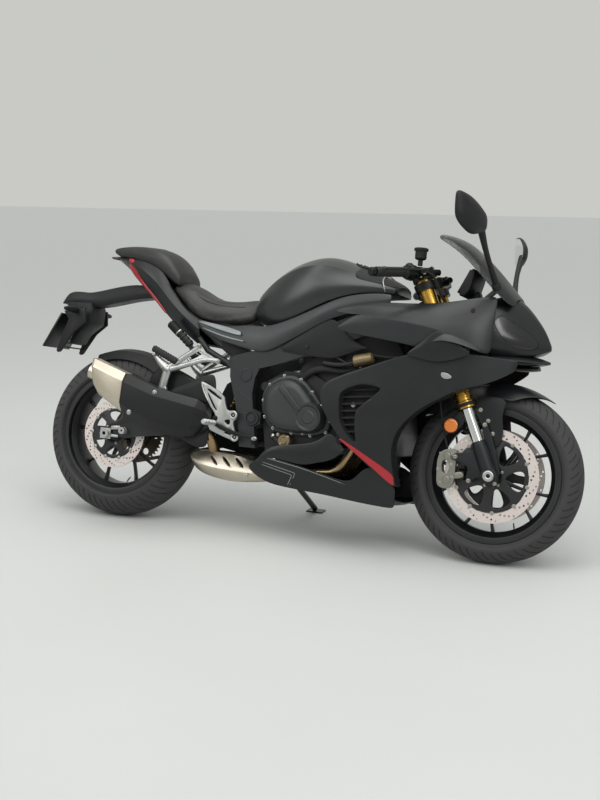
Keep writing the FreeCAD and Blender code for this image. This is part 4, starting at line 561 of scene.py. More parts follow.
def disc(radius: float, height: float, edge: float = 0.0, sides: int = 32) -> bpy.types.Object:
    """Return a round boss or pin that stands on the floor plane.

    Args:
        radius: its radius.
        height: its height.
        edge: rounding of its rims.
        sides: number of facets round it.

    Returns:
        The boss, with its foot at the origin and its axis along Z.
    """
    deselect()
    bpy.ops.mesh.primitive_cylinder_add(vertices=sides, radius=radius, depth=height,
                                        location=(0, 0, 0))
    obj = shifted(active(), (0, 0, height / 2))
    if edge:
        bevel(obj, edge, 2, 60.0)
    return obj


def bolt(radius: float, height: float) -> bpy.types.Object:
    """Return a socket screw's head with its hexagonal recess and a washer.

    Args:
        radius: radius of the head.
        height: height of the head.

    Returns:
        The screw, with its foot at the origin.
    """
    head = disc(radius, height, radius * 0.18, 20)
    recess = disc(radius * 0.52, height, 0.0, 6)
    shifted(recess, (0, 0, height * 0.45))
    cut(head, recess)
    washer = disc(radius * 1.35, height * 0.22, 0.0, 20)
    return join([head, washer])


def plate(outline: Sequence[Flat], inner: float, outer: float) -> bpy.types.Object:
    """Return an upright plate with a side-view outline.

    Args:
        outline: X and Z of its corners.
        inner: its near distance across the bike.
        outer: its far distance across the bike.

    Returns:
        The plate.
    """
    deselect()
    bpy.ops.mesh.primitive_circle_add(vertices=len(outline), fill_type="NGON")
    obj = active()
    for vertex, (x, z) in zip(obj.data.vertices, outline, strict=True):
        vertex.co = (x, inner, z)
    in_edit_mode(obj,
                 lambda: bpy.ops.mesh.extrude_region_move(
                     TRANSFORM_OT_translate={"value": (0, outer - inner, 0)}),
                 lambda: bpy.ops.mesh.select_all(action="SELECT"),
                 lambda: bpy.ops.mesh.normals_make_consistent(inside=False))
    return obj


def softened(outline: Sequence[Flat], times: int = 2) -> list[Flat]:
    """Return an outline with its corners rounded by cutting them again and again.

    Args:
        outline: its corners.
        times: how often they are cut.

    Returns:
        The rounded outline.
    """
    points = [Vector(p) for p in outline]
    for _ in range(times):
        pairs = zip(points, points[1:] + points[:1])
        points = [q for a, b in pairs for q in (a.lerp(b, 0.25), a.lerp(b, 0.75))]
    return [(p.x, p.y) for p in points]


def cut(obj: bpy.types.Object, cutter: bpy.types.Object,
        operation: str = "DIFFERENCE") -> bpy.types.Object:
    """Cut one solid with another, which is used up.

    Args:
        obj: the solid that is changed.
        cutter: the other solid.
        operation: DIFFERENCE, INTERSECT or UNION.

    Returns:
        The changed solid.
    """
    apply(obj, "BOOLEAN", object=cutter, operation=operation, solver="EXACT")
    bpy.data.objects.remove(cutter)
    return obj


def tube(points: Sequence[Sequence[float]], radius: float, sides: int = 12,
         radii: Optional[Sequence[float]] = None, steps: int = 8) -> bpy.types.Object:
    """Return a round bar, pipe or hose along a smooth line.

    Args:
        points: control points of the line.
        radius: radius of the bar.
        sides: facets round the bar.
        radii: share of the radius at each control point.
        steps: divisions between two control points.

    Returns:
        The bar as a mesh.
    """
    curve = bpy.data.curves.new("line", "CURVE")
    curve.dimensions = "3D"
    curve.bevel_depth = radius
    curve.bevel_resolution = max(sides // 4 - 1, 0)
    curve.use_fill_caps = True
    spline = curve.splines.new("NURBS")
    spline.points.add(len(points) - 1)
    for number, point in enumerate(points):
        spline.points[number].co = (*point, 1.0)
        spline.points[number].radius = radii[number] if radii else 1.0
    spline.order_u = 3
    spline.use_endpoint_u = True
    spline.resolution_u = steps
    line = bpy.data.objects.new("line", curve)
    bpy.context.collection.objects.link(line)
    make_active(line)
    bpy.ops.object.convert(target="MESH")
    obj = active()
    in_edit_mode(obj, lambda: bpy.ops.mesh.remove_doubles(threshold=FINE_MERGE),
                 lambda: bpy.ops.mesh.normals_make_consistent(inside=False))
    return obj


def between(table: Sequence[Flat], x: float) -> float:
    """Return the value of a table at x, on straight lines between its entries.

    Args:
        table: pairs of x and value, in order.
        x: where to read it; past either end it keeps its last value.

    Returns:
        The value.
    """
    if x <= table[0][0]:
        return table[0][1]
    for (x0, v0), (x1, v1) in zip(table, table[1:]):
        if x <= x1:
            return v0 + (v1 - v0) * (x - x0) / (x1 - x0)
    return table[-1][1]


def put(obj: bpy.types.Object, name: str, finish: Finish, home: Home = CHASSIS,
        stands_for: Sequence[str] = (), angle: float = 35.0) -> None:
    """Carry a finished piece to its place in the frame and dress it.

    Args:
        obj: the piece in its home's frame, in millimetres.
        name: its name.
        finish: its material.
        home: the body that it moves with, and the pose of its frame.
        stands_for: CAD nodes that it replaces.
        angle: edges flatter than this, in degrees, are shaded smooth.
    """
    make_active(obj)
    obj.name = name
    obj.data.name = name
    obj.data.transform(home.place)
    bpy.ops.object.shade_smooth_by_angle(angle=math.radians(angle))
    obj.data.materials.clear()
    obj.data.materials.append(finish.build())
    for polygon in obj.data.polygons:
        polygon.material_index = 0
    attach(obj, home.body)
    if stands_for:
        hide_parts(*stands_for)
    log.info("%-24s %6d faces, rides on %s", name, len(obj.data.polygons), home.body)


# ---------------------------------------------------------------------------
# The bike's finishes
# ---------------------------------------------------------------------------
# Satin lacquer over steel: broad soft highlights that keep the tank's curves readable.
TANK_PAINT = Finish("satin_lacquer_on_steel", "tank_paint", "#17191a", "#1f2122", 0.33, coat=0.2,
                    coat_roughness=0.28, grain=1.6, depth=0.006)
# Matt lacquer over ABS: almost no mirror image, only a slow sheen along the folds.
BODY_PAINT = Finish("matt_lacquer_on_abs", "body_plastic", "#131416", "#1b1c1e", 0.35, grain=1.4,
                    depth=0.008, ior=1.42)
# Grey metallic lacquer on the shoulder panels, a tone lighter, with a silkier shine. The lighter
# tone is partly the panels' graphite and partly a painted sheen of the overhead light.
GRAPHITE_SHEEN_PAINT = Finish("graphite_lacquer_with_painted_sheen", "graphite_plastic", "#26292a", "#303334", 0.36,
                    metallic=0.3, grain=1.4, depth=0.008)
# Pale grey on the wedges under the seat, silky: the pale tone is a painted highlight of the light
# that runs along the two ribs there.
HIGHLIGHT_WEDGE_PAINT = Finish("pale_grey_painted_highlight", "trim_plastic", "#85898a", "#74787a", 0.34,
                    metallic=0.4, grain=1.4, depth=0.008)
# Moulded ABS, not painted: a fine even texture that greys where hands rub it.
BARE_PLASTIC = Finish("moulded_abs", "trim_plastic", "#0d0e0f", "#161718", 0.52,
                      relief=Relief.MOULDED, grain=1.2, depth=0.03, spread=0.09, ior=1.4)
# The same ABS deep inside the bodywork, set black as painted shade where little light reaches.
SHADED_INNER_PLASTIC = Finish("shaded_inner_abs", "trim_plastic", "#070707", "#0b0b0b", 0.75,
                       relief=Relief.MOULDED, grain=1.2, depth=0.03)
# Red vinyl film over the lacquer: clean colour with the lacquer's own low gloss.
RED_FILM = Finish("red_vinyl_film", "body_plastic", "#a92129", "#931b23", 0.42,
                  relief=Relief.SMOOTH, grain=8, depth=0.01)
# Silver vinyl film: pale hairlines that catch the light on the dark panel.
SILVER_FILM = Finish("silver_vinyl_film", "body_plastic", "#9a9c9c", "#8a8c8d", 0.35, metallic=0.6,
                     relief=Relief.SMOOTH, grain=8, depth=0.01)
# Tyre rubber: deep matt black, dusted grey in the tread's slow patches.
TYRE = Finish("tyre_rubber", "tyre_rubber", "#0b0b0b", "#131312", 0.72, relief=Relief.MOULDED,
              grain=1.8, depth=0.06, spread=0.1, blotch=45.0, ior=1.36)
# Grip and boot rubber, moulded soft: matt with a faint bloom.
RUBBER = Finish("moulded_rubber", "grip_rubber", "#101010", "#1b1b1b", 0.66, relief=Relief.MOULDED,
                grain=1.2, spread=0.08)
# Powder coat over cast aluminium: satin black with the casting's waviness under it.
WHEEL_COAT = Finish("powder_coated_wheel", "rim_paint", "#0d0e10", "#151618", 0.38, grain=2.2,
                    depth=0.02, coat=0.15, coat_roughness=0.35)
# Powder coat on welded steel and cast frame parts.
FRAME_COAT = Finish("powder_coated_frame", "frame_paint", "#191b1d", "#232527", 0.46,
                    relief=Relief.CAST, grain=3.0, depth=0.03, metallic=0.1)
# Die cast engine cases in charcoal paint: grainy, with a dull metal glint.
CASE_PAINT = Finish("painted_die_casting", "engine_paint", "#2c2f2f", "#383b3b", 0.46,
                    metallic=0.35, relief=Relief.CAST, grain=2.2)
# The block behind the covers, in a blacker tone than the covers.
BLOCK_PAINT = Finish("painted_block_casting", "engine_paint", "#141516", "#1e1e1e", 0.5,
                     metallic=0.25, relief=Relief.CAST, grain=2.6, depth=0.08)
# Anodised fork castings: dark grey with sand-cast skin.
FORK_CAST = Finish("anodised_fork_casting", "fork_casting", "#1d1f21", "#292b2d", 0.44,
                   metallic=0.55, relief=Relief.CAST)
# Black anodised clamps and controls, machined.
CLAMP_ALLOY = Finish("black_anodised_alloy", "clamp_alloy", "#121315", "#1c1e20", 0.36,
                     metallic=0.5, relief=Relief.CAST, grain=1.4, depth=0.015)
# Gold anodised fork tubes: clear yellow metal with fine lathe lines.
GOLD = Finish("gold_anodised_alloy", "gold_anodised", "#c09a4a", "#a9833a", 0.27, metallic=1.0,
              relief=Relief.BRUSHED, grain=1.0, depth=0.006, stretch=(0.15, 0.15, 1.0))
# Hard chromed stanchion: a mirror with only a breath of oil on it.
CHROME = Finish("hard_chrome", "axle_steel", "#e2e3e3", "#d4d5d6", 0.1, metallic=1.0,
                relief=Relief.SMOOTH, grain=60, depth=0.0005, spread=0.02)
# Natural cast and machined aluminium: light grey, dull in the hollows.
BARE_ALLOY = Finish("cast_aluminium", "bare_alloy", "#c2c3c1", "#9d9e9c", 0.38, metallic=0.9,
                    relief=Relief.CAST, grain=1.6, depth=0.03, spread=0.08)
# Grey hard-anodised caliper bodies.
CALIPER = Finish("hard_anodised_caliper", "caliper_paint", "#96958c", "#7b7b74", 0.42,
                 metallic=0.8, relief=Relief.CAST, grain=1.6, depth=0.03)
# Zinc plated screws: bright with a faint warm stain.
SCREW = Finish("zinc_plated_steel", "bare_alloy", "#b9b8b2", "#93918a", 0.3, metallic=1.0,
               relief=Relief.SMOOTH, grain=3, depth=0.01, blotch=12.0)
# Ground axle steel.
AXLE_STEEL = Finish("ground_axle_steel", "axle_steel", "#a9a9a8", "#8b8b8a", 0.3, metallic=1.0,
                    relief=Relief.BRUSHED, grain=1.0, depth=0.008, stretch=(1.0, 0.2, 1.0))
# Stainless brake disc: swept by the pads into a silky, faintly warm silver.
DISC_STEEL = Finish("swept_disc_steel", "disc_steel", "#e9dfdb", "#d8ccc7", 0.38, metallic=0.75,
                    relief=Relief.BRUSHED, grain=1.1, depth=0.01, spread=0.06)
# Chain and sprocket steel under a film of grease.
CHAIN_STEEL = Finish("greased_chain_steel", "chain_steel", "#6d6557", "#4a443b", 0.42,
                     metallic=0.85, relief=Relief.CAST, grain=1.5, depth=0.03, blotch=20.0)
# Stainless header pipes, straw and bronze from the heat.
HEADER = Finish("heat_coloured_stainless", "header_steel", "#b9a077", "#7b6850", 0.3, metallic=1.0,
                relief=Relief.BRUSHED, depth=0.02, blotch=60.0, spread=0.08)
# Brushed titanium of the can and its shield: warm grey with lines along it.
TITANIUM = Finish("brushed_titanium", "titanium", "#cfc7b6", "#b3aa9a", 0.34, metallic=0.95,
                  relief=Relief.BRUSHED, grain=1.2, depth=0.02, stretch=(0.08, 1.0, 1.0))
# Heatproof black on the sleeve round the can.
MUFFLER_BLACK = Finish("heatproof_black_enamel", "muffler_paint", "#0d0e0f", "#151617", 0.44,
                       grain=1.6, depth=0.02, ior=1.4)
# Folded fins of the radiator, seen as one dark ribbed face.
RADIATOR_FIN = Finish("radiator_fins", "radiator_core", "#3a3b3b", "#232424", 0.45, metallic=0.6,
                      relief=Relief.RIBBED, grain=3.0, depth=0.8)
# Vinyl leatherette of the seats, charcoal with a dull sheen. Its pebbles of about a millimetre
# are drawn 2.2 mm wide, so that they show.
LEATHERETTE = Finish("pebbled_leatherette", "seat_cover", "#1b1b1a", "#252524", 0.48,
                     relief=Relief.PEBBLED, grain=2.2, depth=0.12, spread=0.07)
# Sewn piping of the same vinyl, worn a little smoother than the pads.
PIPING = Finish("vinyl_piping", "seat_cover", "#111111", "#1a1a19", 0.42, relief=Relief.MOULDED,
                grain=1.2, depth=0.02)
# Bronze coloured chromate on the pump's magnesium case.
PUMP_CASE = Finish("chromated_magnesium", "header_steel", "#92805f", "#73654c", 0.42, metallic=0.7,
                   relief=Relief.CAST, grain=1.8, depth=0.04, blotch=30.0)
# Red acrylic of the tail light under a smoked cover.
LAMP_RED = Finish("smoked_red_acrylic", "lamp_red", "#3a0c0c", "#2a0808", 0.12, coat=1.0,
                  coat_roughness=0.03, relief=Relief.SMOOTH, grain=6, depth=0.02)
# Smoked polycarbonate over the headlights, nearly black from outside.
LENS_SMOKE = Finish("smoked_polycarbonate", "lens_smoke", "#060708", "#0b0c0d", 0.2, coat=0.3,
                    coat_roughness=0.16, relief=Relief.SMOOTH, grain=60, depth=0.001, spread=0.02)
# Thin smoked acrylic of the screen: the far side shows through it.
SCREEN_SMOKE = Finish("smoked_acrylic", "screen_smoke", "#15171a", "#101214", 0.14, alpha=0.7,
                      coat=0.25, relief=Relief.SMOOTH, grain=80, depth=0.001, spread=0.02)
# Amber acrylic of the side reflectors.
AMBER = Finish("amber_acrylic", "lens_smoke", "#e07a10", "#cf6a08", 0.18, coat=1.0,
               coat_roughness=0.05, relief=Relief.RIBBED, grain=2.5, depth=0.25)
# Clear indicator lens with a metallised bowl behind it.
CLEAR_LENS = Finish("clear_lens_over_reflector", "lens_smoke", "#b5b8b8", "#8f9394", 0.15,
                    metallic=0.5, coat=1.0, coat_roughness=0.03, relief=Relief.RIBBED, grain=3.0,
                    depth=0.2)
# Mirror glass.
MIRROR = Finish("silvered_glass", "lens_smoke", "#e6e8e8", "#dfe1e1", 0.03, metallic=1.0,
                relief=Relief.SMOOTH, grain=60, depth=0.001, spread=0.01)
# Instrument face: glossy black glass that is switched off.
DISPLAY = Finish("dark_display_glass", "lens_smoke", "#0b0c0e", "#101215", 0.06, coat=1.0,
                 coat_roughness=0.02, relief=Relief.SMOOTH, grain=60, depth=0.002, spread=0.01)
# Red moulded switch on the right handlebar.
RED_SWITCH = Finish("red_moulded_switch", "trim_plastic", "#b3242c", "#9c1c24", 0.45,
                    relief=Relief.MOULDED, grain=1.0, depth=0.02)
# Black semi-gloss enamel of the rear caliper, the levers and the side stand.
BLACK_ENAMEL = Finish("black_enamel", "bare_alloy", "#0e0f10", "#161718", 0.32, grain=1.2,
                      depth=0.01)


@dataclass
class CadNodes:
    """Nodes whose shape is right as they are and that only need their finish."""

    finishes: dict[str, Finish] = field(default_factory=lambda: {
        "rear_sprocket": CHAIN_STEEL, "steering_stem": CLAMP_ALLOY, "top_yoke": CLAMP_ALLOY,
        "front_axle": AXLE_STEEL, "clip_on_bars": CLAMP_ALLOY, "brake_hoses": RUBBER,
        "main_frame": FRAME_COAT, "subframe": FRAME_COAT, "engine_block": BLOCK_PAINT,
        "radiator": RADIATOR_FIN, "swingarm": FRAME_COAT, "stand_bosses": BARE_ALLOY,
        "rear_axle": BARE_ALLOY, "rear_caliper": BLACK_ENAMEL, "drive_chain": CHAIN_STEEL,
        "rear_hugger": BARE_PLASTIC, "vent_inserts": SHADED_INNER_PLASTIC,
        "fairing_stay": FRAME_COAT, "side_stand": BLACK_ENAMEL, "stand_bracket": FRAME_COAT})

    def dress(self) -> None:
        """Give every node its finish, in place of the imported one."""
        for name, finish in self.finishes.items():
            materials = frame["nodes"][name].data.materials
            materials.clear()
            materials.append(finish.build())
            log.info("%-24s dressed in %s", name, finish.name)


# ---------------------------------------------------------------------------
# Bodywork
# ---------------------------------------------------------------------------
def hull(sections: Sequence[tuple[float, Sequence[Flat]]], creases: Optional[dict] = None,
         ends: float = 0.0, level: int = 2) -> bpy.types.Object:
    """Return a smooth symmetric solid along the bike.

    Args:
        sections: place along the bike, and half widths and heights from keel to ridge.
        creases: hardness of an edge line by the number of its point in a section.
        ends: hardness of the rims of both ends.
        level: how often the cage is rounded.

    Returns:
        The solid.
    """
    top = len(sections[0][1]) - 1
    sharp = {}
    for column, hardness in (creases or {}).items():
        sharp[column] = sharp[2 * top - column] = hardness
    rims = {0: ends, len(sections) - 1: ends}
    obj = body([round_ring(half, x) for x, half in sections], sharp, rims)
    smooth(obj, level)
    return obj


def panel(low: Sequence[Point], high: Sequence[Point], bows: Sequence[float], columns: int = 5,
          wall: float = 3.0, edge: float = 0.8,
          creases: Optional[dict] = None) -> bpy.types.Object:
    """Return a bowed panel of the right side between its low and its high edge.

    Args:
        low: points of the low edge: along the bike, out from the middle, height.
        high: points of the high edge, as many.
        bows: how far each crossing line stands out at its middle.
        columns: number of points across.
        wall: thickness.
        edge: rounding of the rim.
        creases: hardness of a line along the panel by its column.

    Returns:
        The panel.
    """
    rows = []
    for start, end, bow in zip(low, high, bows, strict=True):
        a, b = Vector(start), Vector(end)
        chord = (b - a).normalized()
        out = (Vector((0, 1, 0)) - chord * chord.y).normalized()
        shares = [n / (columns - 1) for n in range(columns)]
        points = [a.lerp(b, t) + out * (bow * 4 * t * (1 - t)) for t in shares]
        rows.append([(p.x, -p.y, p.z) for p in points])
    obj = sheet(rows, (0, -1, 0), {}, creases or {})
    smooth(obj)
    thicken(obj, wall)
    bevel(obj, edge)
    return obj


def slices(rows: Sequence[Sequence[float]], **options: object) -> bpy.types.Object:
    """Return a panel from upright slices.

    Args:
        rows: place along the bike, low height and width, high height and width, and bow.
        options: the panel's other settings.

    Returns:
        The panel.
    """
    low = [(x, y, z) for x, z, y, _, _, _ in rows]
    high = [(x, y, z) for x, _, _, z, y, _ in rows]
    return panel(low, high, [row[5] for row in rows], **options)


def flank(x: float, z: float) -> float:
    """Return how far the side body stands from the middle plane.

    Args:
        x: place along the bike.
        z: height.

    Returns:
        The distance, widest at the height of the engine and drawn in toward the keel and nose.
    """
    widest = between([(120, 205), (225, 218), (300, 224), (430, 228), (505, 222), (571, 210),
                      (640, 194), (720, 158), (800, 112)], x)
    return widest - 0.0003 * max(560 - z, 0) ** 2


def on_flank(line: Sequence[Flat], out: float = 0.0) -> list[Point]:
    """Return the points of a side-view line, laid on the side body."""
    return [(x, flank(x, z) + out, z) for x, z in line]


@dataclass
class Tank:
    """Steel fuel tank, its filler cap and the moulded cover in front of it."""

    sections: tuple = (
        (-186, [(0, 778), (56, 776), (72, 790), (78, 812), (72, 836), (58, 856), (34, 868),
                (0, 872)]),
        (-150, [(0, 762), (80, 760), (97, 785), (104, 815), (98, 858), (80, 892), (46, 913),
                (0, 919)]),
        (-99, [(0, 758), (110, 757), (128, 788), (134, 830), (126, 888), (104, 928), (60, 954),
               (0, 962)]),
        (-33, [(0, 776), (130, 776), (147, 812), (153, 860), (143, 922), (119, 965), (66, 995),
               (0, 1004)]),
        (33, [(0, 812), (140, 811), (155, 846), (160, 890), (147, 941), (131, 982), (70, 1016),
              (0, 1029)]),
        (90, [(0, 842), (143, 841), (156, 870), (160, 906), (143, 949), (136, 985), (70, 1019),
              (0, 1032)]),
        (150, [(0, 870), (143, 869), (152, 890), (154, 916), (136, 946), (132, 975), (70, 1007),
               (0, 1019)]),
        (205, [(0, 886), (138, 885), (144, 902), (145, 921), (130, 940), (124, 962), (66, 985),
               (0, 996)]),
        (270, [(0, 896), (126, 895), (129, 908), (129, 921), (118, 931), (111, 947), (58, 962),
               (0, 970)]),
        (330, [(0, 897), (104, 896), (106, 906), (106, 915), (97, 923), (85, 932), (50, 945),
               (0, 949)]),
        (352, [(0, 898), (92, 898), (94, 904), (94, 910), (87, 916), (74, 922), (44, 931),
               (0, 934)]))
    cap_place: Point = (198, 0, 990)
    cap_radius: float = 41.0

    def build(self) -> None:
        """Build the tank, the cap and the cover."""
        tank = hull(self.sections, {1: 0.9, 5: 1.0}, 0.4, 3)
        put(tank, "tank_shell", TANK_PAINT, stands_for=["fuel_tank"])
        self.cap()
        raised = [(x, [(half * 1.012, z + 2.0) for half, z in section[4:]])
                  for x, section in self.sections[7:]]
        rows = [[(x, -y, z) for y, z in half] + [(x, y, z) for y, z in reversed(half[:-1])]
                for x, half in raised]
        lid = sheet(rows, (0, 0, 1), {}, {1: 0.6, 5: 0.6})
        smooth(lid)
        thicken(lid, 2.4)
        bevel(lid, 0.9)
        put(lid, "tank_front_cover", BARE_PLASTIC)
        hoop = [(x + 3, y, z) for (x, y, z) in (
            (312, -112, 901), (310, -119, 912), (303, -113, 928), (297, -102, 941),
            (290, -60, 962), (288, 0, 969))]
        hoop += [(x, -y, z) for x, y, z in reversed(hoop[:-1])]
        put(tube(hoop, 2.6, 8), "tank_hoop", BARE_ALLOY)

    def cap(self) -> None:
        """Build the round filler cap with its ring of screws and its lock flap."""
        r = self.cap_radius
        rim = turned([(r - 9, 2), (r - 9, 7.5), (r - 7, 9.5), (r - 1.5, 9), (r, 7), (r, -14),
                      (r - 9, -14)], 64)
        screw = shifted(bolt(2.6, 2.2), (r - 4.5, 0, 9))
        lid = turned([(0, 8.2), (r - 14, 8.2), (r - 10.5, 6.0), (r - 10, -4), (0, -4)], 64)
        flap = plate([(-9, 8), (9, 8), (13, 11), (9, 13), (-9, 13)], -12, 12)
        bevel(flap, 1.0)
        parts = join([rim, ringed(screw, 7, "Z"), lid, flap])
        tilt = turning(18, "Y")
        moved(parts, Matrix.Translation(self.cap_place) @ tilt)
        put(parts, "filler_cap", CLAMP_ALLOY)


@dataclass
class SideCovers:
    """Covers below the tank and the seat, and the duct panels under them."""

    high: tuple = (
        (-400, 120, 772), (-330, 126, 752), (-262, 131, 745), (-184, 136, 757), (-137, 142, 753),
        (-80, 149, 758), (28, 153, 803), (123, 153, 853), (192, 151, 879), (275, 149, 891),
        (352, 147, 891))
    low: tuple = (
        (-378, 128, 728), (-330, 136, 710), (-284, 144, 692), (-200, 152, 674), (-107, 157, 655),
        (-50, 159, 686), (32, 160, 732), (127, 160, 794), (221, 159, 820), (300, 157, 838),
        (352, 155, 850))
    duct_high: tuple = (
        (-46, 152, 684), (23, 154, 734), (80, 156, 768), (130, 156, 800), (180, 156, 780),
        (190, 156, 750), (237, 156, 716), (286, 155, 701))
    duct_low: tuple = (
        (-30, 152, 668), (20, 153, 662), (60, 154, 659), (100, 154, 657), (135, 154, 656),
        (162, 154, 656), (220, 154, 678), (276, 154, 696))
    # two raised wedges below the seat, coloured pale as a painted highlight
    wedges: tuple = (
        ([(-388, 130, 756), (-334, 138, 741), (-262, 149, 724), (-200, 157, 714)],
         [(-390, 128, 761), (-338, 133, 757), (-262, 142, 744), (-206, 150, 730)]),
        ([(-366, 137, 733), (-300, 148, 712), (-240, 156, 699), (-186, 162, 692)],
         [(-368, 136, 738), (-300, 147, 718), (-240, 155, 705), (-188, 161, 697)]))

    def build(self) -> None:
        """Build the covers of both sides."""
        # the covers take the graphite paint, whose lighter tone is partly painted sheen
        outer = panel(self.low, self.high, [5] * 11, wall=2.6, creases={2: 0.35})
        put(mirrored(outer), "side_cover_skins", GRAPHITE_SHEEN_PAINT, stands_for=["side_covers"])
        duct = panel(self.duct_low, self.duct_high, [4] * 8, wall=2.4)
        put(mirrored(duct), "duct_skins", BARE_PLASTIC, stands_for=["duct_panels"])
        self.ribs()

    def ribs(self) -> None:
        """Build the two raised wedges below the seat, pale as a painted highlight, and the screws
        of the duct panels.
        """
        wedges = []
        for low, high in self.wedges:
            wedges.append(panel(low, high, [1.5] * len(low), wall=4.0))
        put(mirrored(join(wedges)), "side_cover_highlight_wedges", HIGHLIGHT_WEDGE_PAINT)
        screw = moved(bolt(4.2, 2.4), aim((60, -159.5, 690), (60, -170, 690)))
        put(mirrored(screw), "duct_screws", BLACK_ENAMEL)


@dataclass
class Fairing:
    """Upper fairings, shoulder panels, winglets and the large side fairings."""

    upper: tuple = (
        (173, 817, 205, 824, 201, 1), (215, 810, 209, 838, 191, 3), (255, 811, 214, 849, 181, 5),
        (310, 805, 226, 858, 175, 8), (372, 798, 237, 860, 172, 10), (456, 786, 239, 860, 170, 12),
        (545, 770, 233, 869, 164, 13), (600, 746, 222, 880, 157, 14),
        (651, 716, 207, 892, 148, 14), (694, 706, 182, 899, 131, 13),
        (716, 705, 164, 903, 119, 11))
    shoulder: tuple = (
        (184, 757, 203, 766, 204, 1), (220, 748, 205, 790, 209, 3), (254, 743, 207, 811, 213, 4),
        (310, 735, 210, 806, 225, 5), (372, 727, 212, 798, 236, 5), (420, 720, 213, 792, 238, 5),
        (470, 712, 214, 785, 238, 4), (530, 703, 213, 774, 233, 3), (549, 708, 211, 768, 230, 2))
    winglet: tuple = (
        (450, 680, 229, 690, 230, 1), (486, 674, 230, 718, 236, 3), (520, 668, 229, 746, 240, 5),
        (551, 665, 226, 777, 236, 7), (590, 672, 219, 752, 230, 6), (630, 686, 211, 722, 219, 4),
        (655, 698, 205, 706, 208, 1))
    front: tuple = (
        (792, 655), (712, 603), (627, 583), (571, 547), (505, 508), (452, 455), (425, 408),
        (416, 362), (418, 325), (425, 290), (432, 262), (439, 236))
    rear: tuple = (
        (800, 690), (700, 697), (610, 703), (530, 702), (440, 683), (340, 643), (232, 604),
        (126, 560), (150, 478), (223, 383), (326, 306), (404, 250))
    vent: tuple = (
        (216, 524), (222, 545), (293, 577), (372, 566), (356, 547), (288, 490), (278, 466),
        (284, 402), (290, 374), (274, 376), (227, 427), (217, 482))
    wedge_low: tuple = (
        (226, 379), (262, 354), (320, 315), (365, 284), (406, 252), (433, 237))
    wedge_high: tuple = (
        (232, 382), (274, 361), (334, 329), (382, 303), (416, 284), (429, 271))

    def build(self) -> None:
        """Build the panels of both sides."""
        upper = slices(self.upper, wall=3.2, creases={3: 0.25})
        put(mirrored(upper), "upper_fairing_skins", BODY_PAINT, stands_for=["upper_fairings"])
        # the shoulder panels take the graphite paint, whose lighter tone is partly painted sheen
        shoulder = slices(self.shoulder, wall=3.2)
        put(mirrored(shoulder), "shoulder_skins", GRAPHITE_SHEEN_PAINT, stands_for=["shoulder_panels"])
        wing = slices(self.winglet, wall=3.0, creases={3: 0.8})
        put(mirrored(wing), "winglets", BODY_PAINT)
        # the lip along each winglet's top edge takes the same lightened graphite, partly a painted
        # highlight of the bright crease there
        lip = panel([(524, 238, 728), (566, 246, 739), (628, 236, 728), (690, 208, 710)],
                    [(538, 233, 748), (572, 235, 764), (630, 224, 748), (686, 200, 722)],
                    [1, 1, 1, 1], wall=2.4, edge=0.6)
        put(mirrored(lip), "winglet_lips", GRAPHITE_SHEEN_PAINT)
        self.side()
        self.stripe()
        self.indicators()

    def side(self) -> None:
        """Build the side fairings with their crescent vents and the vents' linings."""
        rows = []
        for (xa, za), (xb, zb) in zip(self.front, self.rear):
            line = [(xa + (xb - xa) * n / 8, za + (zb - za) * n / 8) for n in range(9)]
            rows.append([(x, -y, z) for x, y, z in on_flank(line)])
        skin = sheet(rows, (0, -1, 0), {}, {})
        smooth(skin)
        thicken(skin, 3.4)
        cut(skin, plate(softened(self.vent, 3), -260, -120))
        bevel(skin, 1.0)
        put(mirrored(skin), "side_fairing_skins", BODY_PAINT, stands_for=["side_fairings"])
        edge = softened(self.vent)
        rows = []
        for depth, grow in ((-3.2, 1.0), (-16, 0.97), (-30, 0.9)):
            rows.append([(290 + (x - 290) * grow, -flank(x, z) - depth, 480 + (z - 480) * grow)
                         for x, z in edge + edge[:1]])
        lining = sheet(rows, (0, -1, 0))
        thicken(lining, 2.0)
        put(mirrored(lining), "vent_linings", SHADED_INNER_PLASTIC)
        put(mirrored(screws([(259, -184, 500)], 6.0, 5.0)), "vent_screws", SCREW)
        flange = panel([(x + 4, flank(x, z) - 46, z) for x, z in self.front[1:]],
                       on_flank(self.front[1:], -1.5), [2] * 11, wall=2.4)
        put(mirrored(flange), "fairing_flanges", BARE_PLASTIC)

    def stripe(self) -> None:
        """Lay the red wedge along the low edge of each side fairing."""
        low, high = on_flank(self.wedge_low, 0.9), on_flank(self.wedge_high, 0.9)
        film = panel(low, high, [0.4] * 6, wall=0.6, edge=0.1)
        put(mirrored(film), "red_wedges", RED_FILM)

    def indicators(self) -> None:
        """Set the small flush indicator into each side fairing."""
        outline = softened([(560, 630), (572, 634), (594, 628), (604, 618), (592, 611),
                            (570, 613)])
        lens = plate(outline, -flank(582, 622) - 2.5, -flank(582, 622) + 8)
        bevel(lens, 1.6, 3)
        put(mirrored(lens), "flush_indicators", CLEAR_LENS)


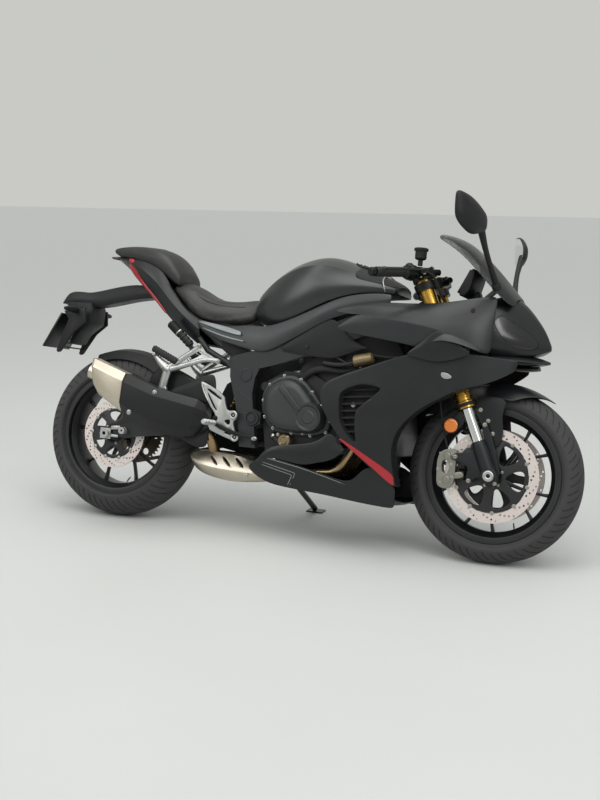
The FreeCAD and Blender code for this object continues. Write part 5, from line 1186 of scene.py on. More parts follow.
@dataclass
class Nose:
    """Beak of the nose, the two headlights in it and the splitter below."""

    beak: tuple = (
        (694, [(0, 706), (112, 702), (142, 728), (150, 790), (128, 862), (70, 902), (0, 914)]),
        (725, [(0, 704), (106, 702), (136, 732), (142, 792), (112, 866), (58, 905), (0, 917)]),
        (763, [(0, 706), (92, 705), (116, 734), (119, 784), (84, 852), (42, 900), (0, 915)]),
        (800, [(0, 711), (74, 710), (93, 735), (94, 774), (62, 826), (30, 872), (0, 885)]),
        (835, [(0, 717), (52, 716), (66, 736), (65, 761), (42, 796), (19, 832), (0, 843)]),
        (864, [(0, 725), (28, 725), (36, 738), (34, 752), (22, 774), (9, 797), (0, 803)]),
        (885, [(0, 739), (7, 738), (9, 743), (9, 747), (6, 750), (3, 753), (0, 754)]))
    lens: tuple = (
        (706, 812), (722, 840), (750, 836), (846, 771), (852, 745), (832, 730), (788, 732),
        (742, 759))
    splitter: tuple = (
        (640, [(0, 692), (160, 690), (176, 694), (166, 699), (0, 699)]),
        (690, [(0, 686), (142, 685), (162, 692), (148, 703), (0, 706)]),
        (740, [(0, 682), (118, 681), (139, 690), (120, 708), (0, 714)]),
        (800, [(0, 680), (82, 679), (102, 690), (78, 712), (0, 722)]),
        (850, [(0, 684), (42, 683), (56, 691), (38, 706), (0, 716)]),
        (886, [(0, 692), (6, 691), (9, 695), (6, 699), (0, 701)]))
    heart: Point = (760.0, 0.0, 800.0)
    core_share: float = 0.975
    glass_share: float = 0.992

    def build(self) -> None:
        """Build the beak with its lenses, the splitter and the chin."""
        nose = hull(self.beak, {1: 0.8, 4: 0.85, 5: 0.3}, 0.5, 3)
        core = copy(nose)
        moved(core, shrunk(self.heart, self.core_share))
        tight = [(779 + (x - 779) * 0.972, 785 + (z - 785) * 0.965) for x, z in self.lens]
        for side in (-1, 1):
            cut(nose, plate(softened(self.lens, 3), side * 20, side * 220))
        cut(nose, copy(core), "UNION")
        bevel(nose, 0.8)
        put(nose, "nose_shell", BODY_PAINT, stands_for=["nose_cowl"])
        middle = shrunk(self.heart, self.glass_share)
        lenses = []
        for side in (-1, 1):
            glass = moved(hull(self.beak, {1: 0.8, 4: 0.3}, 0.5, 3), middle)
            cut(glass, plate(softened(tight, 3), side * 20, side * 220), "INTERSECT")
            bevel(glass, 1.2, 3)
            lenses.append(glass)
        bpy.data.objects.remove(core)
        put(join(lenses), "headlight_glasses", LENS_SMOKE, stands_for=["headlight_lenses"])
        lip = hull(self.splitter, {2: 0.9}, 0.6)
        put(lip, "splitter_shell", BODY_PAINT, stands_for=["nose_splitter"])
        chin = hull([(730, [(0, 668), (44, 668), (50, 676), (0, 684)]),
                     (800, [(0, 660), (40, 661), (46, 672), (0, 684)]),
                     (852, [(0, 668), (24, 669), (28, 676), (0, 686)])], {1: 0.8}, 0.8)
        put(chin, "nose_chin", BARE_PLASTIC)


@dataclass
class Screen:
    """Double-bubble windscreen with its painted foot."""

    rows: tuple = (
        (482, 80, 1100, 1124), (520, 98, 1082, 1120), (590, 114, 1034, 1094),
        (640, 124, 984, 1048), (690, 131, 934, 1000), (735, 124, 892, 951),
        (770, 106, 866, 912))

    def line(self, x: float, half: float, edge: float, ridge: float) -> list[Point]:
        """Return one line across the screen, humped in its middle."""
        shape = ((1.0, 0.0), (0.8, 0.5), (0.55, 0.72), (0.3, 0.9), (0.0, 1.0))
        right = [(x, -half * s, edge + (ridge - edge) * h) for s, h in shape]
        return right + [(px, -py, pz) for px, py, pz in reversed(right[:-1])]

    def build(self) -> None:
        """Build the screen and the foot that is bolted over its lower end."""
        screen = sheet([self.line(*row) for row in self.rows], (0.6, 0, 1), {0: 0.2},
                       {2: 0.3, 6: 0.3})
        smooth(screen, 3)
        thicken(screen, 3.4)
        bevel(screen, 1.0)
        put(screen, "screen_shell", SCREEN_SMOKE, stands_for=["windscreen"])
        foot_rows = [self.line(*row) for row in self.rows[3:]]
        foot = sheet([[(x, y * 0.99, z + 1.4) for x, y, z in row] for row in foot_rows],
                     (0.6, 0, 1), {}, {2: 0.6, 6: 0.6})
        smooth(foot)
        thicken(foot, 1.2)
        put(foot, "screen_foot", BODY_PAINT)
        heads = [moved(bolt(4.0, 2.4), aim((708, side * 116, 926), (716, side * 132, 940)))
                 for side in (-1, 1)]
        put(join(heads), "screen_screws", BLACK_ENAMEL)


# ---------------------------------------------------------------------------
# Wheels and brakes
# ---------------------------------------------------------------------------
def screws(places: Sequence[Point], radius: float, height: float) -> bpy.types.Object:
    """Return screws that stand out to the right.

    Args:
        places: the middle of each screw's foot.
        radius: radius of the heads.
        height: height of the heads.

    Returns:
        All of the screws as one object.
    """
    first = bolt(radius, height)
    turned_out = [copy(first, Matrix.Translation(place) @ RIGHTWARD) for place in places]
    bpy.data.objects.remove(first)
    return join(turned_out)


def polar(radius: float, degrees: float) -> Flat:
    """Return the X and Z of a place round an axle, from the top."""
    turn = math.radians(degrees)
    return radius * math.sin(turn), radius * math.cos(turn)


@dataclass
class Wheel:
    """One wheel: its cast rim, its treaded tyre and its drilled brake discs."""

    name: str = "front"
    home: Home = Home("front_wheel", FORK)
    radius: float = 300.0
    width: float = 120.0
    crown: float = 62.0
    rim_half: float = 52.0
    hub_half: float = 69.5
    bore: float = 12.6
    spread: float = 13.0
    discs: tuple[float, ...] = (-72.0, 72.0)
    disc_radius: float = 160.0
    disc_node: str = "front_discs"
    bead: float = 216.0
    lip: float = 230.0
    pitches: int = 30
    # share of a pitch at each row of the tread, which has its grooves at the first and fourth
    pitch_rows: tuple[float, ...] = (0.0, 0.1, 0.32, 0.5, 0.6, 0.82)
    crown_points: int = 15
    drills: int = 15

    def build(self) -> None:
        """Build the tyre, the rim and the discs."""
        self.tyre()
        self.rim()
        self.brakes()

    def profile(self) -> list[Flat]:
        """Return the tyre's outer half section from the bead to the middle of the tread."""
        half = self.width / 2
        shoulder = self.radius - self.crown + math.sqrt(self.crown ** 2 - half ** 2)
        foot, top = Vector((self.rim_half - 5.3, self.lip + 0.3)), Vector((half, shoulder))
        bulge = Vector(((foot.x + half) / 2 + 2.5, (foot.y + shoulder) / 2 - 1.5))
        middle = 2 * bulge - (foot + top) / 2
        points = [(self.rim_half - 8.3, self.bead + 0.3)]
        # share of the wall's height and how far a moulded ring stands out there
        for t, out in ((0, 0), (0.1, 0), (0.13, 0.9), (0.22, 0.9), (0.25, 0), (0.5, 0),
                       (0.53, 0.7), (0.57, 0.7), (0.6, 0), (0.85, 0)):
            p = (1 - t) ** 2 * foot + 2 * t * (1 - t) * middle + t * t * top
            points.append((p.x + out, p.y))
        widest = math.asin(min(half / self.crown, 1.0))
        for step in range(self.crown_points):
            turn = widest * (1 - step / (self.crown_points - 1))
            points.append((self.crown * math.sin(turn),
                           self.radius - self.crown * (1 - math.cos(turn))))
        return points

    def tyre(self) -> None:
        """Build the tyre and press the grooves into its tread."""
        half = self.profile()
        outer = half + [(-y, r) for y, r in reversed(half[:-1])]
        inner = [(y * 0.86, r - (9 if r > self.lip + 1 else 0)) for y, r in reversed(outer)]
        ring = outer + inner + outer[:1]
        rows, steps = [], len(self.pitch_rows)
        for number in range(self.pitches * steps + 1):
            pitch, step = divmod(number, steps)
            turn = (pitch + self.pitch_rows[step]) / self.pitches * 360
            row = []
            for y, r in ring:
                across = min(abs(y) / (self.width / 2), 1.0)
                half_pitch = 0.5 if y < 0 else 0.0
                twist = (across * 1.2 + half_pitch * min(across * 4, 1.0)) * 360 / self.pitches
                x, z = polar(r, turn + twist)
                row.append((x, y, z))
            rows.append(row)
        obj = sheet(rows, (0, 0, 1))
        width, first, last = len(ring), len(half) - self.crown_points, len(outer) - 1
        for polygon in obj.data.polygons:
            row, column = divmod(min(polygon.vertices), width)
            side = min(column - first, last - first - 1 - column)
            long_groove = row % steps == 0 and 2 <= side <= 11
            short_groove = row % steps == 3 and 1 <= side <= 6
            polygon.material_index = int(first <= column < last - first and
                                         (long_groove or short_groove))
        in_edit_mode(obj,
                     lambda: bpy.ops.mesh.remove_doubles(threshold=MERGE),
                     lambda: bpy.ops.mesh.normals_make_consistent(inside=False))
        sunk(obj, 0.5, -2.6)
        put(obj, f"{self.name}_tyre_tread", TYRE, self.home, stands_for=[f"{self.name}_tyre"],
            angle=28)

    def rim(self) -> None:
        """Build the rim's barrel, its hub, the slim spokes and the valve, and a thin grey ring
        along each lip that paints its glint.
        """
        h, bead, lip, well = self.rim_half, self.bead, self.lip, self.bead - 18
        upper = [(lip, -h), (lip, 5 - h), (bead, 8 - h), (bead, 24 - h), (well, 36 - h)]
        lower = [(well - 6, 38 - h), (bead - 6, 20 - h), (bead - 6, -h)]
        barrel = turned(upper + [(r, -y) for r, y in reversed(upper)]
                        + [(r, -y) for r, y in reversed(lower)] + lower, 120)
        bevel(barrel, 1.2, 2, 30)
        b = self.hub_half
        ends = [(self.bore, -b), (44, -b), (46, -b + 2), (46, 8 - b), (30, 20 - b)]
        hub = turned(ends + [(r, -y) for r, y in reversed(ends)])
        parts = [moved(barrel, RIGHTWARD), moved(hub, RIGHTWARD)]
        # along a spoke: radius, half width, half thickness
        stations = [(24, 9, 20), (52, 7.4, 14), (100, 5.6, 10.5), (150, 5.2, 9.5),
                        (186, 6.4, 11), (199, 10, 13)]
        for side in (-1, 1):
            rings = []
            for radius, wide, thick in stations:
                lean = side * (2.5 + self.spread * (radius - 24) / 175)
                x, z = polar(radius, lean)
                rings.append([(x + wide * a, thick * c, z) for a, c in
                              ((-1, -0.6), (-0.6, -1), (0.6, -1), (1, -0.6), (1, 0.6),
                               (0.6, 1), (-0.6, 1), (-1, 0.6))])
            spoke = body(rings)
            smooth(spoke)
            parts.append(ringed(spoke, 5))
        valve = tube([(0, h - 34, -well + 8), (0, h - 22, -well + 18), (0, h - 10, -well + 24)],
                     2.6)
        parts.append(valve)
        put(join(parts), f"{self.name}_rim_casting", WHEEL_COAT, self.home,
            stands_for=[f"{self.name}_rim"])
        # a thin ring of the lighter graphite along each rim lip paints the glint of light there
        lines = []
        for side in (-1, 1):
            line = turned([(225.4, h), (227.6, h), (227.6, h + 0.5), (225.4, h + 0.5)], 120)
            lines.append(moved(line, Matrix.Scale(side, 4, Vector((0, 0, 1)))))
        put(moved(join(lines), RIGHTWARD), f"{self.name}_rim_line", GRAPHITE_SHEEN_PAINT, self.home)

    def brakes(self) -> None:
        """Build the drilled bands, their carriers and the buttons that join them."""
        r, inner = self.disc_radius, self.disc_radius - 33
        band = turned([(inner, -2.4), (r, -2.4), (r, 2.4), (inner, 2.4)], 96)
        drill = shifted(disc(3.6, 12, 0, 8), (0, 0, -6))
        row = [copy(drill, turning(n * 5.5, "Z") @ Matrix.Translation((inner + 7 + n * 6.4, 0, 0)))
               for n in range(4)]
        bpy.data.objects.remove(drill)
        cut(band, ringed(join(row), self.drills, "Z"))
        carrier = turned([(31, -3), (44, -3), (48, -2), (inner - 2, -2), (inner - 2, 2),
                          (48, 2), (44, 3), (31, 3)], 72)
        moved(carrier, RIGHTWARD)
        windows = []
        for number in range(6):
            corners = [polar(radius, 60 * number + turn) for radius, turn in
                       ((50, -15), (50, 15), (inner - 14, 22), (inner - 12, 0),
                        (inner - 14, -22))]
            windows.append(plate(softened(corners, 3), -8, 8))
        cut(carrier, join(windows))
        bevel(carrier, 0.8, 2, 50)
        button = shifted(disc(7.2, 7.4, 1.0, 16), (inner - 1, 0, -3.7))
        buttons = moved(ringed(button, 10, "Z"), RIGHTWARD)
        stud = shifted(bolt(4.0, 4.0), (38.5, 0, 3))
        studs = moved(ringed(stud, 5, "Z"), RIGHTWARD)
        moved(band, RIGHTWARD)
        pieces = ((band, "brake_bands", DISC_STEEL, [self.disc_node]),
                  (carrier, "disc_carriers", WHEEL_COAT, []),
                  (join([buttons, studs]), "disc_buttons", SCREW, []))
        half_pitch = turning(30, "Y")
        for piece, label, finish, nodes in pieces:
            copies = []
            for y in self.discs:
                place = Matrix.Translation((0, y, 0))
                copies.append(copy(piece, place if y < 0 else place @ half_pitch @ ACROSS))
            bpy.data.objects.remove(piece)
            put(join(copies), f"{self.name}_{label}", finish, self.home, stands_for=nodes)


def sunk(obj: bpy.types.Object, rim: float, depth: float) -> None:
    """Sink the faces that are marked with the second material.

    Args:
        obj: the piece.
        rim: width of the sloping walls.
        depth: how far the faces go, below zero for inwards.
    """
    make_active(obj)
    bpy.ops.object.mode_set(mode="EDIT")
    bpy.ops.mesh.select_mode(type="FACE")
    bpy.ops.mesh.select_all(action="DESELECT")
    bpy.ops.object.mode_set(mode="OBJECT")
    for polygon in obj.data.polygons:
        polygon.select = polygon.material_index == 1
    bpy.ops.object.mode_set(mode="EDIT")
    bpy.ops.mesh.inset(thickness=rim, depth=depth)
    bpy.ops.mesh.select_mode(type="VERT")
    bpy.ops.object.mode_set(mode="OBJECT")


@dataclass
class RearWheel(Wheel):
    """The wider rear wheel with its single disc on the right."""

    name: str = "rear"
    home: Home = Home("rear_wheel", REAR_WHEEL)
    radius: float = 315.0
    width: float = 180.0
    crown: float = 92.0
    rim_half: float = 77.0
    hub_half: float = 81.5
    bore: float = 13.1
    spread: float = 14.0
    discs: tuple[float, ...] = (-84.0,)
    disc_radius: float = 130.0
    disc_node: str = "rear_disc"
    drills: int = 18


@dataclass
class Fork:
    """Fork legs, axle clamps, radial calipers, reflectors and the front fender."""

    spacing: float = 105.0
    seal: float = 240.0
    fender_profile: tuple = (
        (0, 321), (16, 320), (34, 315), (48, 307), (60, 296), (73, 280), (84, 262))
    guard: tuple = (
        (14, 262), (60, 264), (108, 244), (134, 219), (114, 196), (100, 172), (92, 142),
        (82, 112), (62, 92), (44, 86), (30, 96), (22, 148), (28, 188), (-6, 228), (-20, 262))
    caliper: tuple = (
        (-118, 28), (-105, 62), (-88, 92), (-78, 116), (-92, 130), (-130, 134), (-152, 112),
        (-168, 72), (-181, 38), (-179, 22), (-160, 7), (-140, 6))

    def build(self) -> None:
        """Build the pieces of both legs."""
        self.legs()
        self.castings()
        self.calipers()
        self.fender()
        self.reflectors()

    def legs(self) -> None:
        """Build the gold tubes with their collars, the chromed stanchions and the caps."""
        low = self.seal
        steps = [(19, low), (31, low), (31, low + 22), (28.5, low + 25), (27, low + 26)]
        for base in (36, 52, 68):
            steps += [(27, low + base), (30, low + base + 1), (30, low + base + 7),
                      (27, low + base + 8)]
        tube_skin = turned(steps + [(27, 742), (25.5, 744), (19, 744)])
        place = Matrix.Translation((0, -self.spacing, 0))
        put(mirrored(moved(tube_skin, place)), "fork_tube_skins", GOLD, ON_FORK,
            stands_for=["fork_tubes"])
        bright = turned([(0, 118), (20.5, 118), (20.5, low + 2), (0, low + 2)])
        put(mirrored(moved(bright, place)), "stanchions", CHROME, ON_FORK)
        wiper = turned([(20.6, low - 3), (23, low - 3), (26, low), (26, low + 1),
                        (20.6, low + 1)], 40)
        cap = turned([(0, 753), (11, 753), (12, 752), (12, 748), (18, 747), (19, 744),
                      (0, 744)], 40)
        put(mirrored(moved(join([wiper, cap]), place)), "fork_seals_and_caps", CLAMP_ALLOY,
            ON_FORK)

    def castings(self) -> None:
        """Build the castings that hold the stanchions, clamp the axle and carry the calipers."""
        sock = turned([(0, -30), (19, -30), (24, -24), (25.5, -8), (25.5, 96), (24, 116),
                       (22, 122), (0, 122)], 40)
        shifted(sock, (0, -self.spacing, 0))
        clamp = to_right(disc(27, 37, 2.4, 40), (0, -91, 0))
        arm = plate(softened([(-8, 98), (-30, 92), (-86, 112), (-98, 100), (-96, 84), (-56, 54),
                              (-76, 24), (-82, 6), (-70, -1), (-44, 12), (-8, -16)]), -112, -88)
        bevel(arm, 2.6, 3, 50)
        stay = plate(softened([(8, -14), (34, -10), (36, 30), (46, 70), (48, 150), (46, 178),
                               (30, 184), (24, 140), (18, 110), (8, 96)]), -100, -85)
        bevel(stay, 2.2, 3, 50)
        split = plate([(-3, -26), (3, -26), (3, -40), (-3, -40)], -126, -92)
        parts = join([sock, clamp, arm, stay, split])
        put(mirrored(parts), "fork_castings", FORK_CAST, ON_FORK, stands_for=["fork_lowers"])
        heads = screws([(-88, -112, 98), (-72, -112, 7), (40, -100, 168), (10, -120, -30)],
                       5.6, 6.0)
        put(mirrored(heads), "caliper_bolts", SCREW, ON_FORK)
        ring = turned([(7.2, 0), (7.2, 3), (9, 4.2), (15.5, 4.2), (17.5, 3), (17.5, 0)], 40)
        to_right(ring, (0, -133.6, 0))
        put(mirrored(ring), "axle_rings", BARE_ALLOY, ON_FORK)

    def calipers(self) -> None:
        """Build the calipers with their piston caps, bridge bolts and hose fittings."""
        outline = softened(self.caliper)
        block = plate(outline, -100, -57)
        slot = to_right(disc(164, 8.0, 0, 96), (0, -68, 0))
        cut(block, slot)
        cut(block, plate(softened([(-128, 54), (-116, 96), (-140, 104), (-155, 58)]), -102, -55))
        bevel(block, 2.6, 3, 45)
        lug = plate(softened([(-84, 86), (-84, 112), (-106, 118), (-112, 88)]), -100, -84)
        bevel(lug, 2.0)
        foot = plate(softened([(-84, 22), (-84, 44), (-114, 50), (-126, 30)]), -100, -84)
        bevel(foot, 2.0)
        cap = [(0, 3.4), (9, 3.4), (11, 2.0), (14.5, 2.0), (15, 0), (15, -3), (0, -3)]
        caps = [to_right(turned(cap, 32), (x, -100, z)) for x, z in ((-146, 37), (-117, 112))]
        put(mirrored(join([block, lug, foot] + caps)), "caliper_bodies", CALIPER, ON_FORK,
            stands_for=["front_calipers"])
        small = screws([(-123, -100, 36), (-160, -100, 78), (-96, -100, 110),
                        (-112, -100, 76), (-168, -100, 32)], 4.6, 4.4)
        union = shifted(disc(8, 7, 1.2, 24), (-108, -78, 128))
        nipple = shifted(disc(3.2, 12, 0.6, 12), (-140, -84, 120))
        put(mirrored(join([small, union, nipple])), "caliper_fittings", SCREW, ON_FORK)

    def fender(self) -> None:
        """Build the fender, longer at its crown than at its sides, with the guards' bolts."""
        half = self.fender_profile
        profile = [*((-y, r) for y, r in reversed(half[1:])), *half]
        rows = []
        for step in range(15):
            share = step / 14
            row = []
            for y, r in profile:
                side = (abs(y) / 84) ** 1.5
                front, back = 30.5 + 24 * side, 121 - 9 * side
                turn = math.radians(front + (back - front) * share)
                row.append((r * math.cos(turn), y, r * math.sin(turn)))
            rows.append(row)
        strip = sheet(rows, (0, 0, 1), {}, {2: 0.35, 10: 0.35})
        smooth(strip)
        thicken(strip, 3.0)
        bevel(strip, 0.9)
        guard = plate(softened(self.guard), -84.2, -81)
        bevel(guard, 0.8)
        put(join([strip, mirrored(guard)]), "fender_skin", BODY_PAINT, ON_FORK,
            stands_for=["front_fender"])
        heads = screws([(52, -84, 178), (52, -84, 132), (40, -84, 222)], 5.4, 3.6)
        put(mirrored(heads), "fender_bolts", SCREW, ON_FORK)

    def reflectors(self) -> None:
        """Build the round side reflectors on their brackets."""
        centre = (-66, -123, 201)
        lens = turned([(0, 5.4), (13, 5.2), (21.5, 4.2), (23.5, 2.6), (23.5, 0), (0, 0)])
        shell = turned([(24, 4.4), (25.8, 3.2), (26.3, -5), (24, -7), (0, -7), (0, -0.5),
                        (23.6, -0.5), (24, 0)])
        seat = Matrix.Translation(centre) @ RIGHTWARD
        put(mirrored(moved(lens, seat)), "side_reflectors", AMBER, ON_FORK)
        moved(shell, seat)
        bracket = plate(softened([(-66, 186), (-44, 178), (-12, 206), (-8, 232), (-30, 236),
                                  (-64, 216)]), -117, -113.5)
        bevel(bracket, 0.8)
        band = turned([(27.4, 246), (32.5, 246), (32.5, 258), (27.4, 258)], 40)
        shifted(band, (0, -self.spacing, 0))
        link = tube([(-26, -114, 226), (-26, -112, 240), (-24, -108, 250)], 4.2)
        put(mirrored(join([shell, bracket, band, link])), "reflector_holders", BARE_PLASTIC,
            ON_FORK)


# ---------------------------------------------------------------------------
# Lower bodywork, engine and exhaust
# ---------------------------------------------------------------------------
def frames(outline: Sequence[Flat], out: float, share: float) -> list[Point]:
    """Return an outline drawn in by a share toward its middle, at a distance to the right."""
    mx = sum(x for x, _ in outline) / len(outline)
    mz = sum(z for _, z in outline) / len(outline)
    return [(mx + (x - mx) * share, -out, mz + (z - mz) * share) for x, z in outline]


# distance out, in millimetres, that stands in where a line misses the piece
FLANK_OUT = 160.0


def struck(piece: bpy.types.Object, start: Point, ahead: Point, above: float) -> Point:
    """Return where a line from the right meets a piece, as X, distance out and height.

    Args:
        piece: the piece.
        start: where the line starts.
        ahead: its direction.
        above: how far the point stands off the piece.

    Returns:
        The point, with Y counted out from the middle plane.
    """
    found, place, _, _ = piece.ray_cast(Vector(start), Vector(ahead))
    return (place.x, above - place.y, place.z) if found else (start[0], FLANK_OUT, start[2])


def cover(outline: Sequence[Flat], levels: Sequence[tuple[float, float, float]],
          sides: int = 2) -> bpy.types.Object:
    """Return a cover that rises to the right in rounded steps.

    Args:
        outline: X and Z of its foot.
        levels: distance out, share of the foot's size and hardness of each step's edge.
        sides: how often the outline's corners are cut round.

    Returns:
        The cover.
    """
    line = softened(outline, sides)
    rings = [frames(line, out, share) for out, share, _ in levels]
    obj = body(rings, {}, {n: hard for n, (_, _, hard) in enumerate(levels)})
    smooth(obj)
    return obj


@dataclass
class Belly:
    """Belly pan: the lobes under the engine, the lower panels, the tray and the pinstripes."""

    lobe_high: tuple = (
        (-110, 253, 152), (-70, 328, 160), (30, 341, 163), (110, 352, 164), (150, 376, 165),
        (170, 399, 165), (200, 382, 166), (222, 358, 168), (236, 343, 169))
    lobe_low: tuple = (
        (-100, 247, 151), (-64, 292, 157), (14, 284, 159), (84, 272, 160), (125, 286, 160),
        (150, 291, 161), (176, 298, 163), (202, 312, 165), (224, 328, 167))
    rail_high: tuple = (
        (-78, 292, 157), (0, 281, 159), (84, 268, 160), (180, 246, 160), (262, 228, 163),
        (292, 264, 170), (330, 300, 176), (380, 268, 182), (434, 234, 184))
    rail_low: tuple = (
        (-137, 246, 150), (-70, 198, 146), (20, 188, 140), (100, 182, 138), (172, 177, 139),
        (250, 169, 141), (330, 162, 143), (400, 158, 146), (425, 160, 148))
    lines: tuple = (
        [(-60, 286), (8, 275), (83, 262), (150, 247), (250, 222)],
        [(-77, 271), (-7, 256), (50, 244), (54, 243), (53, 239), (47, 222), (33, 196)],
        [(-80, 262), (-21, 249), (38, 236), (42, 235), (41, 231), (36, 218), (24, 197)])

    def build(self) -> None:
        """Build the flanks, the tray and the pinstripes."""
        flanks = []
        for high, low in ((self.lobe_high, self.lobe_low), (self.rail_high, self.rail_low)):
            flanks.append(panel([(x, y, z) for x, z, y in low], [(x, y, z) for x, z, y in high],
                                [4] * len(low), edge=0.9))
        right = join(flanks)
        left = copy(right, ACROSS)
        notch = [(-160, 120), (54, 120), (54, 420), (-160, 420)]
        cut(left, plate(notch, 60, 260))
        tray = sheet([[(x, -half, side), (x, -half * 0.55, low), (x, 0, low - 2),
                       (x, half * 0.55, low), (x, half, side)] for x, half, side, low in
                      ((-62, 146, 208, 200), (60, 137, 195, 184), (172, 138, 187, 175),
                       (300, 141, 181, 166), (400, 142, 176, 158), (432, 152, 190, 172))],
                     (0, 0, -1))
        smooth(tray)
        thicken(tray, 3.0)
        cut(tray, plate(notch, 62, 260))
        stripes = [self.stripe(right, line) for line in self.lines]
        put(mirrored(join(stripes)), "belly_pinstripes", SILVER_FILM)
        put(join([right, left, tray]), "belly_panels", BODY_PAINT, stands_for=["belly_pan"])

    def stripe(self, right: bpy.types.Object, line: Sequence[Flat]) -> bpy.types.Object:
        """Return one pinstripe of even width.

        Args:
            right: the right flank that it lies on.
            line: X and Z of its middle.

        Returns:
            The pinstripe.
        """
        corners = [Vector(p) for p in line]
        low, high = [], []
        for number, here in enumerate(corners):
            before, after = corners[max(number - 1, 0)], corners[min(number + 1, len(line) - 1)]
            along = (after - before).normalized()
            for edge, width in ((low, -1.0), (high, 1.0)):
                x, z = here + Vector((-along.y, along.x)) * width
                edge.append(struck(right, (x, -400, z), (0, 1, 0), 0.4))
        return panel(low, high, [0] * len(line), columns=2, wall=0.6, edge=0.05)


@dataclass
class Engine:
    """Clutch and generator covers with their screws, the pump and the hoses."""

    clutch: tuple = (
        (-108, 488), (-96, 540), (-62, 572), (-8, 590), (48, 577), (92, 532), (132, 482),
        (168, 434), (156, 392), (92, 374), (0, 376), (-60, 388), (-92, 428))
    screws_at: tuple = (
        (-98, 490), (-78, 548), (-24, 582), (40, 573), (86, 532), (124, 486), (160, 436),
        (148, 396), (92, 380), (20, 382), (-52, 394), (-88, 432))

    def build(self) -> None:
        """Build the covers and what is bolted to them."""
        clutch = cover(self.clutch, [(112, 1.0, 0.9), (138, 1.0, 0.9), (141, 0.97, 0.9),
                                     (143, 0.9, 0.5), (172, 0.84, 0.4), (186, 0.66, 0.6),
                                     (188, 0.4, 0.2)])
        boss = turned([(0, 5), (20, 5), (24, 2), (38, 2), (44, 8), (48, 8), (52, -2),
                       (54, -40), (0, -40)], 56)
        to_right(boss, (96, -184, 443))
        rib = plate([(-26, 538), (54, 456), (70, 470), (-8, 554)], -193, -170)
        bevel(rib, 4.0, 3)
        pump = turned([(0, 36), (11, 36), (14, 33), (21, 33), (24, 29), (24, 0), (0, 0)], 40)
        to_right(pump, (-2, -118, 352))
        put(join([clutch, boss, rib]), "clutch_cover", CASE_PAINT, stands_for=["engine_covers"])
        put(pump, "pump_cover", PUMP_CASE)
        left = [(60, 470), (80, 540), (130, 560), (176, 520), (186, 450), (150, 392), (92, 392)]
        generator = cover(left, [(112, 1.0, 0.9), (136, 1.0, 0.9), (140, 0.9, 0.6),
                                 (166, 0.76, 0.5), (172, 0.4, 0.2)])
        guard = plate(softened([(-96, 366), (-102, 474), (-40, 490), (26, 474), (34, 398),
                                (-20, 360)]), -144, -119)
        bevel(guard, 3.0, 3)
        sides = join([generator, guard])
        put(moved(sides, ACROSS), "left_engine_covers", CASE_PAINT)
        heads = screws([(x, -136, z) for x, z in self.screws_at], 5.2, 6.5)
        more = screws([(-30, -140, 372), (64, -140, 384), (-12, -148, 340), (12, -148, 366)],
                      4.6, 4.0)
        left_heads = screws([(66, -134, 474), (86, -134, 536), (130, -134, 553),
                             (172, -134, 514), (180, -134, 452), (146, -134, 398)], 5.0, 6.0)
        moved(left_heads, ACROSS)
        put(join([heads, more, left_heads]), "engine_screws", SCREW)
        self.pipes()

    def pipes(self) -> None:
        """Build the hoses and clips, and the frame's plugs, reliefs, seams and bolts."""
        upper = tube([(20, -112, 560), (60, -128, 604), (120, -128, 622), (200, -122, 610),
                      (262, -116, 640)], 13, 16)
        lower = tube([(-60, -120, 372), (-10, -138, 330), (60, -134, 322), (160, -126, 330),
                      (236, -112, 336)], 12, 16)
        put(join([upper, lower]), "water_hoses", RUBBER)
        runs = (((30, -116, 574), (60, -128, 604)), ((252, -117, 634), (262, -116, 640)),
                ((-50, -123, 364), (-10, -138, 330)))
        clips = [moved(turned([(13.2, -4), (14.6, -4), (14.6, 4), (13.2, 4)], 32),
                       aim(place, along)) for place, along in runs]
        put(join(clips), "hose_clips", SCREW)
        plug = turned([(0, 3), (9, 3), (11, 5), (15, 5), (17, 2), (20, 2), (22, 6), (25, 6),
                       (27, 3), (27, -4), (0, -4)])
        to_right(plug, (-131, -151, 422))
        relief = disc(27, 2.4, 1.0, 6)
        cut(relief, shifted(disc(21, 8, 0, 6), (0, 0, 1.0)))
        to_right(relief, (-170, -150, 575))
        seam = tube([(-199, -150.4, 523), (-172, -150.4, 500), (-143, -150.4, 486)], 1.5, 8)
        step = tube([(-196, -150.4, 432), (-170, -150.4, 440), (-152, -150.4, 432)], 1.5, 8)
        put(mirrored(join([plug, relief, seam, step])), "pivot_plugs", FRAME_COAT)
        nuts = screws([(-190, -151, 345), (-118, -151, 336), (40, -151, 640),
                       (150, -151, 700)], 6.5, 4.5)
        put(mirrored(nuts), "frame_bolts", CLAMP_ALLOY)


